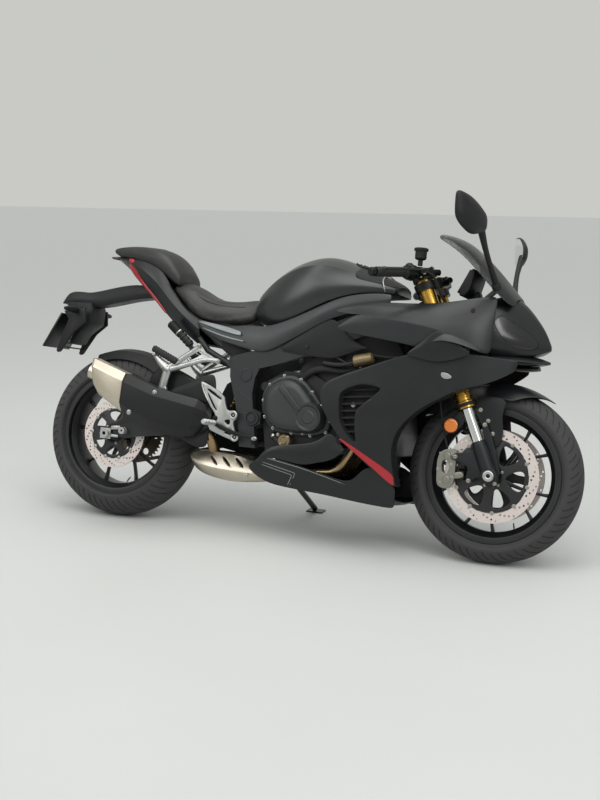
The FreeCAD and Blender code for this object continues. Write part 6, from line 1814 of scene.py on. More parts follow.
@dataclass
class Exhaust:
    """Muffler can, its black sleeve and outlet, the collector's shield and the headers."""

    can: tuple = (
        (-632, 402, 546, 152, 242, 10), (-735, 457, 592, 157.6, 238.4, -25),
        (-743, 464, 593, 160, 236, -25), (-753, 478, 591, 170, 226, -22))
    sleeve: tuple = (
        (-300, 366, 436, 146, 157, 16), (-324, 350, 458, 146, 160, 20),
        (-358, 337, 472, 147, 196, 20), (-420, 328, 484, 149, 214, 20),
        (-510, 350, 502, 151, 234, 14), (-626, 398, 543, 152.5, 241, 10),
        (-633, 403, 542, 156, 238, 10))
    collector: tuple = (
        (-396, 246, 40, 264, 66, 280, 44), (-368, 208, 66, 242, 104, 288, 72),
        (-262, 186, 80, 228, 117, 288, 80), (-180, 182, 82, 224, 118, 282, 76),
        (-90, 196, 66, 220, 100, 252, 64), (40, 210, 70, 236, 84, 262, 74))
    headers_at: tuple = (-108, -61, -14, 33)

    def ring(self, x: float, low: float, high: float, inner: float, outer: float,
             lean: float) -> list[Point]:
        """Return the eight-sided section of the muffler at a place along it.

        Args:
            x: the place.
            low: height of its foot.
            high: height of its top.
            inner: distance of its inner side from the middle plane.
            outer: distance of its outer side.
            lean: how far its top stands ahead of its foot.

        Returns:
            The points of the section.
        """
        corners = [(inner, low + 18), (inner + 18, low), (outer - 26, low), (outer, low + 34),
                   (outer, high - 30), (outer - 18, high), (inner + 18, high),
                   (inner, high - 18)]
        return [(x + lean * (z - low) / (high - low), -y, z) for y, z in corners]

    def build(self) -> None:
        """Build the muffler, the collector's shield and the pipes."""
        can = body([self.ring(*row) for row in self.can])
        bevel(can, 5.0, 3, 20)
        hole = moved(disc(24, 110, 0, 40), aim((-697, -198, 519), (-781, -198, 544)))
        cut(can, copy(hole))
        lip = turned([(24, 0), (24, 103), (27, 106), (30, 104), (30, 0)])
        moved(lip, aim((-681, -198, 514), (-781, -198, 544)))
        bpy.data.objects.remove(hole)
        put(join([can, lip]), "muffler_can_skin", TITANIUM, stands_for=["muffler_can"])
        sleeve = body([self.ring(*row) for row in self.sleeve])
        bevel(sleeve, 4.0, 3, 14)
        put(sleeve, "muffler_sleeve_skin", MUFFLER_BLACK, stands_for=["muffler_shield"])
        put(screws([(-493, -226, 484), (-586, -238, 404)], 7.0, 5.0), "muffler_screws", BARE_ALLOY)
        self.shield()
        self.pipes()

    def shield(self) -> None:
        """Build the collector box with three slots cut in its right flank."""
        rows = []
        for x, low, half_low, mid, wide, top, crown in self.collector:
            half = [(0, low), (half_low, low), (wide, mid), (crown, top), (0, top)]
            rows.append((x, half))
        shell = hull(rows, {1: 0.5, 2: 0.45, 3: 0.5}, 0.7)
        shifted(shell, (0, -28, 0))
        for number in range(3):
            x = -300 + 50 * number
            slot = plate(softened([(x - 3, 268), (x + 36, 237), (x + 43, 244), (x + 4, 275)]),
                         -170, -84)
            cut(shell, slot)
        bevel(shell, 0.8, 1, 50)
        put(shell, "collector_shield", TITANIUM, stands_for=["collector_box"])
        link = tube([(-300, -60, 240), (-300, -86, 292), (-304, -112, 336),
                     (-334, -126, 368), (-400, -158, 402)], 21, 24)
        put(link, "muffler_link_pipe", HEADER)
        # a black plate behind the slots, in painted shade
        backing = plate([(-320, 226), (-140, 226), (-140, 284), (-320, 284)], -88, -85)
        bevel(backing, 1.0)
        put(backing, "slot_backing", SHADED_INNER_PLASTIC)
        put(screws([(-140, -138, 214)], 6.4, 4.0), "collector_screws", BARE_ALLOY)

    def pipes(self) -> None:
        """Build the header pipes and the flanges that clamp them to the block."""
        clamps = []
        for y in self.headers_at:
            ring = turned([(18.4, -5), (24, -5), (26, -3), (26, 3), (24, 5), (18.4, 5)], 32)
            clamps.append(moved(ring, aim((247, y, 548), (262, y, 490))))
        put(join(clamps), "header_flanges", CHAIN_STEEL)
        headers = []
        for y in self.headers_at:
            headers.append(tube([(246, y, 552), (266, y, 480), (266, y, 400), (234, y, 322),
                                 (190, y, 256), (120, y * 0.9, 252), (36, y * 0.55 - 34, 238)],
                                17.5, 24, steps=12))
        put(join(headers), "header_pipes", HEADER, stands_for=["exhaust_headers"])


# ---------------------------------------------------------------------------
# Seats and tail
# ---------------------------------------------------------------------------
@dataclass
class Seats:
    """Rider's seat and stepped pillion pad, blown up and sewn."""

    seat: tuple = (
        (-530, [(0, 868), (74, 868), (86, 890), (52, 908), (0, 914)]),
        (-490, [(0, 836), (94, 834), (110, 872), (66, 902), (0, 908)]),
        (-440, [(0, 792), (110, 790), (128, 842), (82, 880), (0, 888)]),
        (-380, [(0, 764), (120, 762), (134, 808), (90, 842), (0, 851)]),
        (-300, [(0, 757), (108, 757), (118, 800), (80, 834), (0, 842)]),
        (-236, [(0, 757), (82, 757), (88, 800), (56, 842), (0, 852)]),
        (-188, [(0, 782), (56, 780), (62, 812), (38, 860), (0, 868)]))
    pillion: tuple = (
        (-832, [(0, 1008), (32, 1006), (42, 1016), (28, 1027), (0, 1031)]),
        (-790, [(0, 998), (52, 997), (64, 1015), (40, 1032), (0, 1036)]),
        (-740, [(0, 988), (70, 988), (84, 1014), (52, 1035), (0, 1040)]),
        (-680, [(0, 978), (84, 978), (98, 1010), (60, 1032), (0, 1038)]),
        (-625, [(0, 966), (94, 964), (110, 1004), (70, 1028), (0, 1034)]),
        (-575, [(0, 938), (98, 934), (114, 988), (68, 1014), (0, 1020)]),
        (-535, [(0, 902), (94, 898), (110, 950), (64, 982), (0, 990)]),
        (-504, [(0, 884), (84, 882), (94, 914), (54, 938), (0, 944)]))
    swell: float = 0.005

    def build(self) -> None:
        """Build both pads and their seams."""
        for name, sections, node in (("rider_cushion", self.seat, "rider_seat"),
                                     ("pillion_cushion", self.pillion, "pillion_seat")):
            pad = hull(sections, {1: 0.7}, 0.5)
            swollen(pad, self.swell)
            seams = self.seams(pad, sections)
            put(pad, name, LEATHERETTE, stands_for=[node], angle=60)
            put(seams, f"{name}_piping", PIPING)

    def seams(self, pad: bpy.types.Object, sections: list) -> bpy.types.Object:
        """Lay the piping where the top panel is sewn to the sides, and one seam across.

        Args:
            pad: the swollen pad.
            sections: the sections that it was drawn from.

        Returns:
            The piping.
        """
        sides = []
        for side in (-1, 1):
            line = [on_top(pad, x, side * (half[3][0] + 4)) for x, half in sections[1:-1]]
            sides.append(tube(line, 1.9, 8, steps=6))
        x, half = sections[len(sections) // 2]
        reach = half[3][0] + 4
        across = [on_top(pad, x + 10 * (n * n / 16), reach * n / 4) for n in range(-4, 5)]
        return join(sides + [tube(across, 1.6, 8, steps=6)])


# where a ray down to a pad starts, how far the piping is pressed in, and the height that stands
# in where the ray misses, in millimetres
RAY_START = 3000.0
PRESSED_IN = 0.4
PAD_HEIGHT = 900.0
# the cloth of the pads: its cells in metres, its pressure, and the frames that it swells for
CLOTH_CELL = 0.005
CLOTH_PRESSURE = 4.0
CLOTH_FRAMES = 20


def on_top(pad: bpy.types.Object, x: float, y: float) -> Point:
    """Return the point of a pad's top at X and Y, where the piping lies pressed in."""
    found, place, _, _ = pad.ray_cast(Vector((x, y, RAY_START)), Vector((0, 0, -1)))
    return (place.x, place.y, place.z - PRESSED_IN) if found else (x, y, PAD_HEIGHT)


def swollen(pad: bpy.types.Object, most: float) -> None:
    """Blow a pad up like a sewn cover over foam.

    Args:
        pad: the pad, in millimetres.
        most: how far a point may move, in metres.
    """
    moved(pad, Matrix.Scale(MILLI, 4))
    apply(pad, "REMESH", mode="VOXEL", voxel_size=CLOTH_CELL)
    before = [vertex.co.copy() for vertex in pad.data.vertices]
    make_active(pad)
    cloth = pad.modifiers.new("Cloth", "CLOTH")
    cloth.settings.use_pressure = True
    cloth.settings.uniform_pressure_force = CLOTH_PRESSURE
    cloth.settings.effector_weights.gravity = 0.0
    cloth.settings.mass = 0.3
    cloth.settings.quality = 5
    scene = bpy.context.scene
    for number in range(1, CLOTH_FRAMES + 1):
        scene.frame_set(number)
    bpy.ops.object.modifier_apply(modifier=cloth.name)
    scene.frame_set(1)
    for vertex, start in zip(pad.data.vertices, before, strict=True):
        step = vertex.co - start
        if step.length > most:
            vertex.co = start + step * (most / step.length)
    apply(pad, "SMOOTH", factor=0.5, iterations=6)
    smooth(pad, 1)
    moved(pad, Matrix.Scale(PER_METRE, 4))


@dataclass
class Tail:
    """Tail fairing with its red edge, the tail light, the plate arm and the indicators."""

    sections: tuple = (
        (-806, [(0, 986), (26, 985), (37, 992), (28, 999), (0, 1001)]),
        (-770, [(0, 966), (40, 964), (58, 982), (44, 997), (0, 1000)]),
        (-735, [(0, 946), (54, 943), (80, 972), (62, 993), (0, 997)]),
        (-700, [(0, 914), (62, 911), (92, 960), (74, 988), (0, 992)]),
        (-660, [(0, 884), (70, 880), (102, 946), (82, 980), (0, 985)]),
        (-620, [(0, 852), (77, 847), (108, 920), (86, 968), (0, 972)]),
        (-580, [(0, 816), (86, 811), (114, 890), (90, 950), (0, 952)]),
        (-520, [(0, 762), (96, 757), (123, 830), (94, 862), (0, 866)]),
        (-450, [(0, 714), (104, 709), (127, 772), (104, 799), (0, 800)]),
        (-386, [(0, 674), (108, 669), (127, 730), (110, 764), (0, 767)]))
    edge: tuple = (
        (-806, 985, 27), (-770, 964, 41), (-735, 943, 55), (-700, 911, 63), (-660, 880, 71),
        (-620, 847, 78), (-580, 811, 87), (-548, 783, 92))
    stripe_low: tuple = ((-745, 989), (-744, 968))
    stripe_high: tuple = (
        (-715, 986), (-708, 966), (-697, 940), (-668, 902), (-634, 872), (-602, 845),
        (-568, 812), (-546, 789))

    def build(self) -> None:
        """Build the pieces of the tail."""
        tail = hull(self.sections, {1: 0.95, 2: 0.5, 3: 0.6}, 0.7)
        hollow = hull([(x, [(max(y - 4, 0), z + (4 if n < 2 else -4 if n > 2 else 0))
                            for n, (y, z) in enumerate(half)])
                       for x, half in self.sections[2:]], {1: 0.95, 3: 0.6}, 0.7)
        cut(tail, shifted(hollow, (6, 0, 0)))
        low = [struck(tail, (x, -400, z), (0, 1, 0), 0.9) for x, z in self.stripe_low]
        low += [(x - 1.5, y + 1.2, z - 0.5) for x, z, y in self.edge[2:]]
        high = [struck(tail, (x, -400, z), (0, 1, 0), 0.9) for x, z in self.stripe_high]
        put(tail, "tail_skin", BODY_PAINT, stands_for=["tail_fairing"])
        stripe = panel(low, high, [6, 6, 5, 5, 4, 4, 3, 1.5], wall=1.2, edge=0.2)
        put(mirrored(stripe), "tail_stripes", RED_FILM)
        lamp = hull([(-848, [(0, 993), (20, 992), (25, 995), (19, 998), (0, 999)]),
                     (-842, [(0, 990), (24, 989), (29, 995), (23, 999), (0, 1000)]),
                     (-807, [(0, 985), (25, 984), (36, 991), (27, 999), (0, 1000)])],
                    {1: 0.8, 3: 0.8}, 0.6)
        put(lamp, "tail_lamp_glass", LAMP_RED, stands_for=["tail_light"])
        self.plate_arm()
        self.indicators()

    def plate_arm(self) -> None:
        """Build the arm with its lamp hood, the ribbed holder and the blank plate."""
        rows = [(-612, 846, 34, 862, 44, 880, 36), (-720, 838, 34, 860, 42, 902, 30),
                (-860, 800, 32, 830, 38, 868, 26), (-930, 796, 33, 826, 42, 852, 26),
                (-960, 804, 35, 828, 44, 856, 26), (-1006, 806, 38, 824, 46, 856, 30),
                (-1030, 806, 40, 820, 46, 846, 26), (-1048, 804, 30, 808, 32, 814, 22)]
        arm = hull([(x, [(0, low), (half, low), (wide, mid), (crown, top), (0, top + 1)])
                    for x, low, half, mid, wide, top, crown in rows], {1: 0.6, 3: 0.35}, 0.6)
        parts = [arm]
        blade = plate([(-1006, 812), (-906, 812), (-896, 790), (-900, 730), (-950, 690),
                       (-976, 648), (-990, 648), (-974, 700), (-962, 740), (-1020, 764)],
                      -50, 50)
        bevel(blade, 3.0)
        parts.append(blade)
        leg = plate([(-1004, 772), (-908, 790), (-902, 734), (-950, 694), (-1004, 612),
                     (-1018, 608), (-1024, 616), (-1000, 690), (-980, 740)], -86, -76)
        bevel(leg, 3.0)
        parts.append(mirrored(leg))
        for number in range(7):
            z = 632 + number * 17
            x = -1016 + (z - 612) * 0.43
            parts.append(tube([(x, -80, z), (x - 2, 0, z), (x, 80, z)], 3.0, 8))
        put(join(parts), "plate_bracket", BARE_PLASTIC, stands_for=["plate_holder"])
        board = plate([(-1012, 764), (-1006, 761), (-1080, 627), (-1086, 630)], -92, 92)
        bevel(board, 1.2)
        put(board, "blank_plate", BLACK_ENAMEL)
        frame_rail = tube([(-1010, -88, 760), (-1081, -88, 632), (-1081, 88, 632),
                           (-1010, 88, 760)], 2.4, 8)
        put(frame_rail, "plate_frame", BARE_PLASTIC)
        glow = moved(disc(9, 10, 2.0, 24), aim((-1034, 0, 806), (-1044, 0, 788)))
        put(glow, "plate_lamp", CLEAR_LENS)

    def indicators(self) -> None:
        """Build the indicators on their rubber stalks."""
        stalk = tube([(-948, -30, 792), (-946, -60, 784), (-945, -88, 778)], 7, 12,
                     [1.3, 0.9, 1.0])
        shell = hull([(-62, [(0, -7), (5, -6), (8, 0), (5, 6), (0, 7)]),
                      (-20, [(0, -12), (9, -10), (13, 0), (9, 10), (0, 12)]),
                      (18, [(0, -14), (10, -12), (15, 0), (10, 12), (0, 14)]),
                      (28, [(0, -12), (9, -10), (13, 0), (8, 10), (0, 12)])])
        lens = copy(shell)
        front = [(-52, -30), (22, -30), (22, 30), (-52, 30)]
        cut(lens, plate(front, 5, 40), "INTERSECT")
        cut(shell, plate(front, 5, 40))
        place = Matrix.Translation((-945, -114, 777)) @ turning(90, "Z")
        moved(lens, place @ Matrix.Scale(1.02, 4))
        put(mirrored(join([stalk, moved(shell, place)])), "indicator_stalks", BARE_PLASTIC,
            stands_for=["rear_indicators"])
        put(mirrored(lens), "indicator_lenses", CLEAR_LENS)


# ---------------------------------------------------------------------------
# Cockpit
# ---------------------------------------------------------------------------
def bar_pose() -> Matrix:
    """Return the place of the right handlebar in the fork's frame, with Z out along it."""
    sweep, drop = math.radians(38), math.radians(7.5)
    out = Vector((-math.sin(sweep) * math.cos(drop), -math.cos(sweep) * math.cos(drop),
                  -math.sin(drop)))
    out = Matrix.Rotation(RAKE, 3, "Y") @ out
    turn = Vector((0, 0, 1)).rotation_difference(out).to_matrix().to_4x4()
    return Matrix.Translation((39.0, -111.0, 720.0)) @ turn


@dataclass
class Cockpit:
    """Grips, levers, switches, the brake reservoir and the instruments."""

    grip_from: float = 112.0
    grip_to: float = 240.0

    def build(self) -> None:
        """Build the pieces of both handlebars and the instruments."""
        self.grips()
        self.levers()
        self.reservoir()
        self.instruments()

    def grips(self) -> None:
        """Build the ribbed grips with their flanges, the bar ends and the switch cases."""
        bar = bar_pose()
        profile = [(11, self.grip_from), (22, self.grip_from), (22.5, self.grip_from + 4),
                   (17, self.grip_from + 6)]
        for number in range(14):
            z = self.grip_from + 9 + number * 8.4
            profile += [(15.8, z), (17, z + 1.2), (17, z + 6.0), (15.8, z + 7.2)]
        profile += [(17, self.grip_to - 2), (15.5, self.grip_to), (11, self.grip_to)]
        grip = moved(turned(profile, 40), bar)
        put(mirrored(grip), "ribbed_grips", RUBBER, ON_FORK, stands_for=["grips"])
        end = turned([(0, 262), (13, 262), (15.4, 259), (15.4, 246), (12, 242), (0, 242)], 40)
        put(mirrored(moved(end, bar)), "bar_ends", CLAMP_ALLOY, ON_FORK)
        case = plate(softened([(-24, 78), (-26, 108), (8, 110), (25, 106), (25, 80), (6, 76)],
                              1), -19, 23)
        bevel(case, 4.0, 3)
        seam = turned([(24.1, 94), (25.4, 94.3), (25.4, 95.7), (24.1, 96)], 40)
        put(mirrored(moved(join([case, seam]), bar)), "switch_cases", BARE_PLASTIC, ON_FORK)
        button = moved(disc(6.5, 6, 1.4, 24), Matrix.Translation((-4, 22, 92)) @ turning(-90, "X"))
        knob = moved(disc(5, 7, 1.4, 20), Matrix.Translation((-27, 8, 92)) @ turning(-90, "Y"))
        put(moved(join([button, knob]), bar), "red_switches", RED_SWITCH, ON_FORK)

    def levers(self) -> None:
        """Build the levers with their perches and balls."""
        bar, ring_at, grip = bar_pose(), self.grip_from - 60, self.grip_from
        perch = turned([(11.1, ring_at), (18, ring_at), (19, ring_at + 1), (19, ring_at + 21),
                        (18, ring_at + 22), (11.1, ring_at + 22)], 40)
        arm = plate([(14, ring_at - 6), (40, ring_at - 6), (46, ring_at), (46, ring_at + 22),
                     (38, ring_at + 26), (14, ring_at + 20)], -9, 9)
        bevel(arm, 2.5, 3)
        blade = plate([(40, ring_at + 12), (56, ring_at + 20), (70, grip + 20), (71, grip + 70),
                       (66, grip + 128), (66, grip + 136), (58, grip + 134),
                       (56, grip + 126), (60, grip + 70), (58, grip + 24),
                       (44, ring_at + 26)], -4.2, 4.2)
        bevel(blade, 2.4, 3)
        ball = turned([(0, 9), (5, 8), (8, 4), (9, 0), (8, -4), (5, -8), (0, -9)], 24)
        shifted(ball, (64, 0, grip + 138))
        smooth(ball, 1)
        bar = bar @ turning(-52, "Z")
        put(mirrored(moved(join([perch, arm, blade, ball]), bar)), "brake_and_clutch_levers",
            BLACK_ENAMEL, ON_FORK, stands_for=["hand_levers"])
        pin = to_right(bolt(5, 4), (40, -9, ring_at + 14))
        twin = to_right(bolt(4, 4), (16, -17, ring_at + 11))
        put(mirrored(moved(join([pin, twin]), bar)), "lever_pins", SCREW, ON_FORK)

    def reservoir(self) -> None:
        """Build the ribbed brake fluid cup with its screwed cap."""
        foot = bar_pose() @ Vector((21, 0, self.grip_from - 48)) - Vector((2, 0, 0))
        up = Matrix.Rotation(RAKE, 3, "Y") @ Vector((0, 0, 1))
        ahead = Vector((3, 0, -1))
        stay = tube([foot + up * 6, foot + up * 14 + ahead * 0.4, foot + ahead + up * 14], 6)
        place = aim(foot + ahead, foot + ahead + up) @ Matrix.Scale(1.04, 4)
        profile = [(0, 4), (8, 4), (8, 22), (15, 24), (18.6, 27)]
        for number in range(3):
            z = 29 + number * 7
            profile += [(18.6, z), (19.4, z + 1), (19.4, z + 4), (18.6, z + 5)]
        profile += [(19, 51.5), (22, 52), (22, 60), (20.5, 61.5), (8, 62), (0, 62)]
        cup = turned(profile)
        rib = shifted(disc(1.7, 8, 0.4, 8), (21.8, 0, 52.6))
        cup = join([cup, ringed(rib, 22, "Z")])
        put(join([moved(cup, place), stay]), "fluid_cup", BARE_PLASTIC, ON_FORK,
            stands_for=["brake_reservoir"])
        cap_screws = [shifted(bolt(2.6, 1.6), (x, 0, 61.6)) for x in (-12, 12)]
        put(moved(join(cap_screws), place), "cup_screws", SCREW, ON_FORK)

    def instruments(self) -> None:
        """Build the display in its case, and the ignition lock on the top yoke."""
        outline = [(560, 905), (604, 1000), (626, 995), (600, 900)]
        case = plate(softened(outline, 1), -84, 84)
        bevel(case, 5.0, 3)
        foot = plate([(600, 866), (646, 868), (622, 928), (598, 908)], -30, 30)
        bevel(foot, 3.0)
        put(join([case, foot]), "instrument_case", BARE_PLASTIC, stands_for=["instrument_cluster"])
        glass = plate([(562.5, 914), (560, 915.5), (599, 996), (601.5, 994.5)], -74, 74)
        bevel(glass, 1.0)
        put(glass, "instrument_glass", DISPLAY)
        lock = turned([(0, 8), (5, 8), (5, 9), (13, 9), (15, 7), (15, -2), (0, -2)], 32)
        slot = plate([(-1.2, 4), (1.2, 4), (1.2, 12), (-1.2, 12)], -5, 5)
        cut(lock, slot)
        shifted(lock, (-4, 0, 694))
        nut = turned([(0, 13), (7, 13), (8, 11), (13, 11), (15, 8), (15, 0), (0, 0)], 6)
        shifted(nut, (-30.7, 0, 694))
        put(join([lock, nut]), "ignition_lock_and_nut", BARE_ALLOY, ON_FORK)


@dataclass
class Mirrors:
    """Leaf-shaped mirrors on their slim stalks."""

    outline: tuple = (
        (-467, 1136), (-468, 1166), (-467, 1184), (-460, 1191), (-444, 1192), (-404, 1186),
        (-366, 1169), (-334, 1149), (-322, 1140), (-314, 1126), (-312, 1108), (-314, 1092),
        (-322, 1084), (-340, 1077), (-368, 1068), (-388, 1067), (-408, 1073), (-438, 1088),
        (-456, 1102), (-464, 1116))

    def build(self) -> None:
        """Build the shells, the glasses and the stalks."""
        middle = Vector((-394.0, 1128.0))
        # how far the shell stands forward of the glass and its share of the outline
        rings = []
        for ahead, share in ((0, 0.97), (3, 1.0), (10, 0.98), (20, 0.82), (27, 0.5), (29, 0.2)):
            ring = []
            for y, z in softened(self.outline, 1):
                py, pz = middle.x + (y - middle.x) * share, middle.y + (z - middle.y) * share
                ring.append((662 + 0.42 * (py - middle.x) + ahead * 0.92,
                             py - ahead * 0.39, pz))
            rings.append(ring)
        shell = body(rings, {}, {0: 0.9, 1: 0.3})
        smooth(shell)
        stalk = tube([(712, -148, 938), (702, -196, 980), (690, -272, 1046),
                      (688, -338, 1100)], 9, 16, [1.3, 1.0, 1.0, 1.5])
        foot = turned([(0, -10), (16, -10), (17, -6), (15, 8), (11, 13), (0, 13)], 32)
        moved(foot, aim((712, -146, 934), (706, -176, 964)))
        put(mirrored(join([shell, stalk, foot])), "mirror_shells", BARE_PLASTIC,
            stands_for=["mirrors"])
        glass_rings = []
        for ahead, share in ((-0.8, 0.9), (1.5, 0.92)):
            glass_rings.append([(662 + 0.42 * (y - middle.x) * share + ahead,
                                 middle.x + (y - middle.x) * share,
                                 middle.y + (z - middle.y) * share)
                                for y, z in softened(self.outline)])
        glass = body(glass_rings)
        put(mirrored(glass), "mirror_glasses", MIRROR)


# ---------------------------------------------------------------------------
# Footrests, suspension and the dark pieces behind the bodywork
# ---------------------------------------------------------------------------
def flattened(obj: bpy.types.Object, middle: float, share: float) -> bpy.types.Object:
    """Return the object squeezed across the bike toward a plane."""
    return moved(obj, Matrix.Translation((0, middle, 0)) @ Matrix.Scale(share, 4, (0, 1, 0))
                 @ Matrix.Translation((0, -middle, 0)))


def ribbed_bar(start: Point, end: Point, radius: float, ribs: int) -> bpy.types.Object:
    """Return a round bar with raised ribs and rounded ends.

    Args:
        start: middle of its first end.
        end: middle of its other end.
        radius: radius over the ribs.
        ribs: number of ribs.

    Returns:
        The bar.
    """
    length = (Vector(end) - Vector(start)).length
    pitch = (length - 8) / ribs
    profile = [(0, 0), (radius * 0.7, 0), (radius * 0.86, 2)]
    for number in range(ribs):
        foot = 4 + number * pitch
        profile += [(radius * 0.86, foot + pitch * 0.1), (radius, foot + pitch * 0.25),
                    (radius, foot + pitch * 0.75), (radius * 0.86, foot + pitch * 0.9)]
    profile += [(radius * 0.86, length - 2), (radius * 0.7, length), (0, length)]
    return moved(turned(profile, 24), aim(start, end))


@dataclass
class Footrests:
    """Rider's footrest plates with pegs and pedals, and the pillion's cast hangers."""

    outline: tuple = (
        (-338, 530), (-330, 540), (-240, 497), (-232, 462), (-222, 440), (-196, 443), (-182, 432),
        (-184, 414), (-198, 404), (-186, 366), (-170, 356), (-172, 338), (-190, 336),
        (-240, 350), (-300, 372), (-272, 405), (-264, 420), (-300, 462))
    windows: tuple = (
        [(-306, 518), (-252, 488), (-246, 478), (-256, 478), (-310, 509)],
        [(-309, 500), (-301, 498), (-272, 452), (-262, 440), (-268, 438), (-284, 456)],
        [(-236, 404), (-212, 412), (-206, 404), (-210, 386)],
        [(-226, 366), (-198, 358), (-200, 353), (-228, 360)])
    # control points of a bar of the hanger, its radius and the share of it at each point
    bars: tuple = (
        ([(-370, -135, 668), (-425, -136, 630), (-490, -137, 582)], 9.0, [1.05, 0.9, 1.5]),
        ([(-290, -135, 616), (-335, -136, 624), (-395, -136, 604), (-488, -137, 574)], 9.0,
         [1.1, 1.05, 1.0, 1.5]),
        ([(-488, -137, 572), (-524, -137, 590), (-562, -138, 634)], 9.0, [2.2, 2.0, 0.6]),
        ([(-492, -137, 586), (-504, -137, 545), (-512, -137, 502)], 9.0, [2.0, 1.6, 1.8]))
    web: tuple = (
        (-368, 662), (-304, 612), (-345, 614), (-398, 600), (-478, 574), (-488, 588), (-430, 632))

    def build(self) -> None:
        """Build the rider's and the pillion's footrests on both sides."""
        self.rider()
        self.pillion()

    def rider(self) -> None:
        """Build the bevelled plates with their windows, bolts, pegs and pedals."""
        slab = plate(softened(self.outline, 1), -171, -161)
        for window in self.windows:
            cut(slab, plate(softened(window), -180, -150))
        bevel(slab, 2.4, 3, 30)
        eyes = []
        for x, z in ((-197, 427), (-185, 349)):
            ring = turned([(8, 0), (8, 4), (10, 5.4), (14, 5.4), (16, 3.5), (16.5, 0)], 40)
            eyes.append(to_right(ring, (x, -170, z)))
        peg = ribbed_bar((-268, -170, 392), (-276, -250, 396), 10.5, 7)
        heel = tube([(-300, -172, 470), (-322, -174, 500), (-330, -174, 528)], 3.0, 8)
        put(mirrored(join([slab, peg, heel] + eyes)), "footrest_plates", BARE_ALLOY,
            stands_for=["rearsets"])
        fixings = screws([(-197, -169, 427), (-185, -169, 349), (-268, -171, 410)], 7.6, 4.0)
        pedal = plate(softened([(-268, 380), (-180, 352), (-96, 346), (-92, 356), (-176, 366),
                                (-262, 398)], 1), -180, -173)
        bevel(pedal, 2.0)
        rod = tube([(-254, -158, 374), (-262, -157, 420), (-266, -156, 452)], 3.2, 8)
        cylinder = moved(turned([(0, 0), (9, 0), (10, 2), (10, 30), (6, 34), (6, 44), (0, 46)],
                                24), aim((-266, -154, 448), (-282, -150, 494)))
        put(mirrored(join([fixings, pedal, rod, cylinder])), "footrest_fittings", CLAMP_ALLOY)
        toe = ribbed_bar((-98, -178, 351), (-98, -206, 351), 6.5, 4)
        put(mirrored(toe), "pedal_toes", BARE_ALLOY)

    def pillion(self) -> None:
        """Build the hangers from thick rounded bars, and the folded rubber pegs."""
        parts = []
        for points, radius, radii in self.bars:
            parts.append(flattened(tube(points, radius, 16, radii), -137, 0.78))
        thin = plate(self.web, -139, -134.5)
        cut(thin, plate(softened([(-372, 652), (-352, 640), (-420, 604), (-446, 596),
                                  (-438, 606)]), -160, -120))
        bevel(thin, 1.2)
        boss = turned([(0, 7), (6.5, 7), (7.5, 9), (11, 9), (12, 6.5), (16, 6.5), (19, 3),
                       (19, -7), (0, -7)], 40)
        to_right(boss, (-511, -139, 498))
        knuckle = moved(disc(8, 16, 2.0, 24), aim((-552, -138, 628), (-552, -154, 628)))
        put(mirrored(join(parts + [thin, boss, knuckle])), "hanger_castings", BARE_ALLOY,
            stands_for=["pillion_hangers"])
        put(mirrored(screws([(-372, -142, 668), (-290, -142, 616)], 7.0, 5.0)), "hanger_bolts",
            SCREW)
        peg = flattened(ribbed_bar((-558, -150, 648), (-456, -150, 604), 14.0, 9), -150, 0.6)
        put(mirrored(peg), "folded_pegs", RUBBER)


@dataclass
class Suspension:
    """Rear shock absorber with its coil spring, and the preload adjuster above it."""

    foot: Point = (-262.0, 0.0, 429.0)
    top: Point = (-215.0, 0.0, 586.0)
    coils: int = 6
    spring_radius: float = 29.0

    def build(self) -> None:
        """Build the shock absorber and its adjuster."""
        length = (Vector(self.top) - Vector(self.foot)).length
        place = aim(self.foot, self.top)
        damper = turned([(0, 8), (13, 8), (15, 16), (22, 18), (34, 20), (34, 27), (14, 29),
                         (14, length - 44), (34, length - 40), (34, length - 32),
                         (25, length - 30), (25, length - 10), (18, length - 6), (0, length - 6)])
        helix = []
        for step in range(self.coils * 8 + 1):
            turn = math.tau * step / 8
            rise = 31 + (length - 76) * step / (self.coils * 8)
            helix.append((self.spring_radius * math.cos(turn),
                          self.spring_radius * math.sin(turn), rise))
        spring = tube(helix, 5.2, steps=3)
        put(moved(join([damper, spring]), place), "shock_and_spring", GOLD,
            stands_for=["shock_absorber"])
        eyes = []
        for x, _, z in (self.foot, self.top):
            ring = turned([(9, -19), (19, -19), (20, -18), (20, 18), (19, 19), (9, 19)], 32)
            eyes.append(to_right(ring, (x, 0, z)))
        barrel = ribbed_bar((-408, -136, 668), (-466, -136, 716), 15.5, 4)
        knob = ribbed_bar((-462, -136, 713), (-502, -136, 746), 17.0, 7)
        stay = tube([(-424, -136, 682), (-412, -135, 664), (-402, -134, 644)], 6.5)
        hose = tube([(-410, -136, 670), (-384, -130, 640), (-330, -110, 622), (-270, -60, 600),
                     (-226, -26, 580)], 4.5, 10)
        put(join(eyes + [barrel, knob, stay, hose]), "adjuster_and_eyes", BARE_PLASTIC)
        band = moved(turned([(15.6, 0), (17.4, 0), (17.4, 4), (15.6, 4)], 40),
                     aim((-459, -136, 710.5), (-500, -136, 745)))
        put(band, "adjuster_band", SCREW)


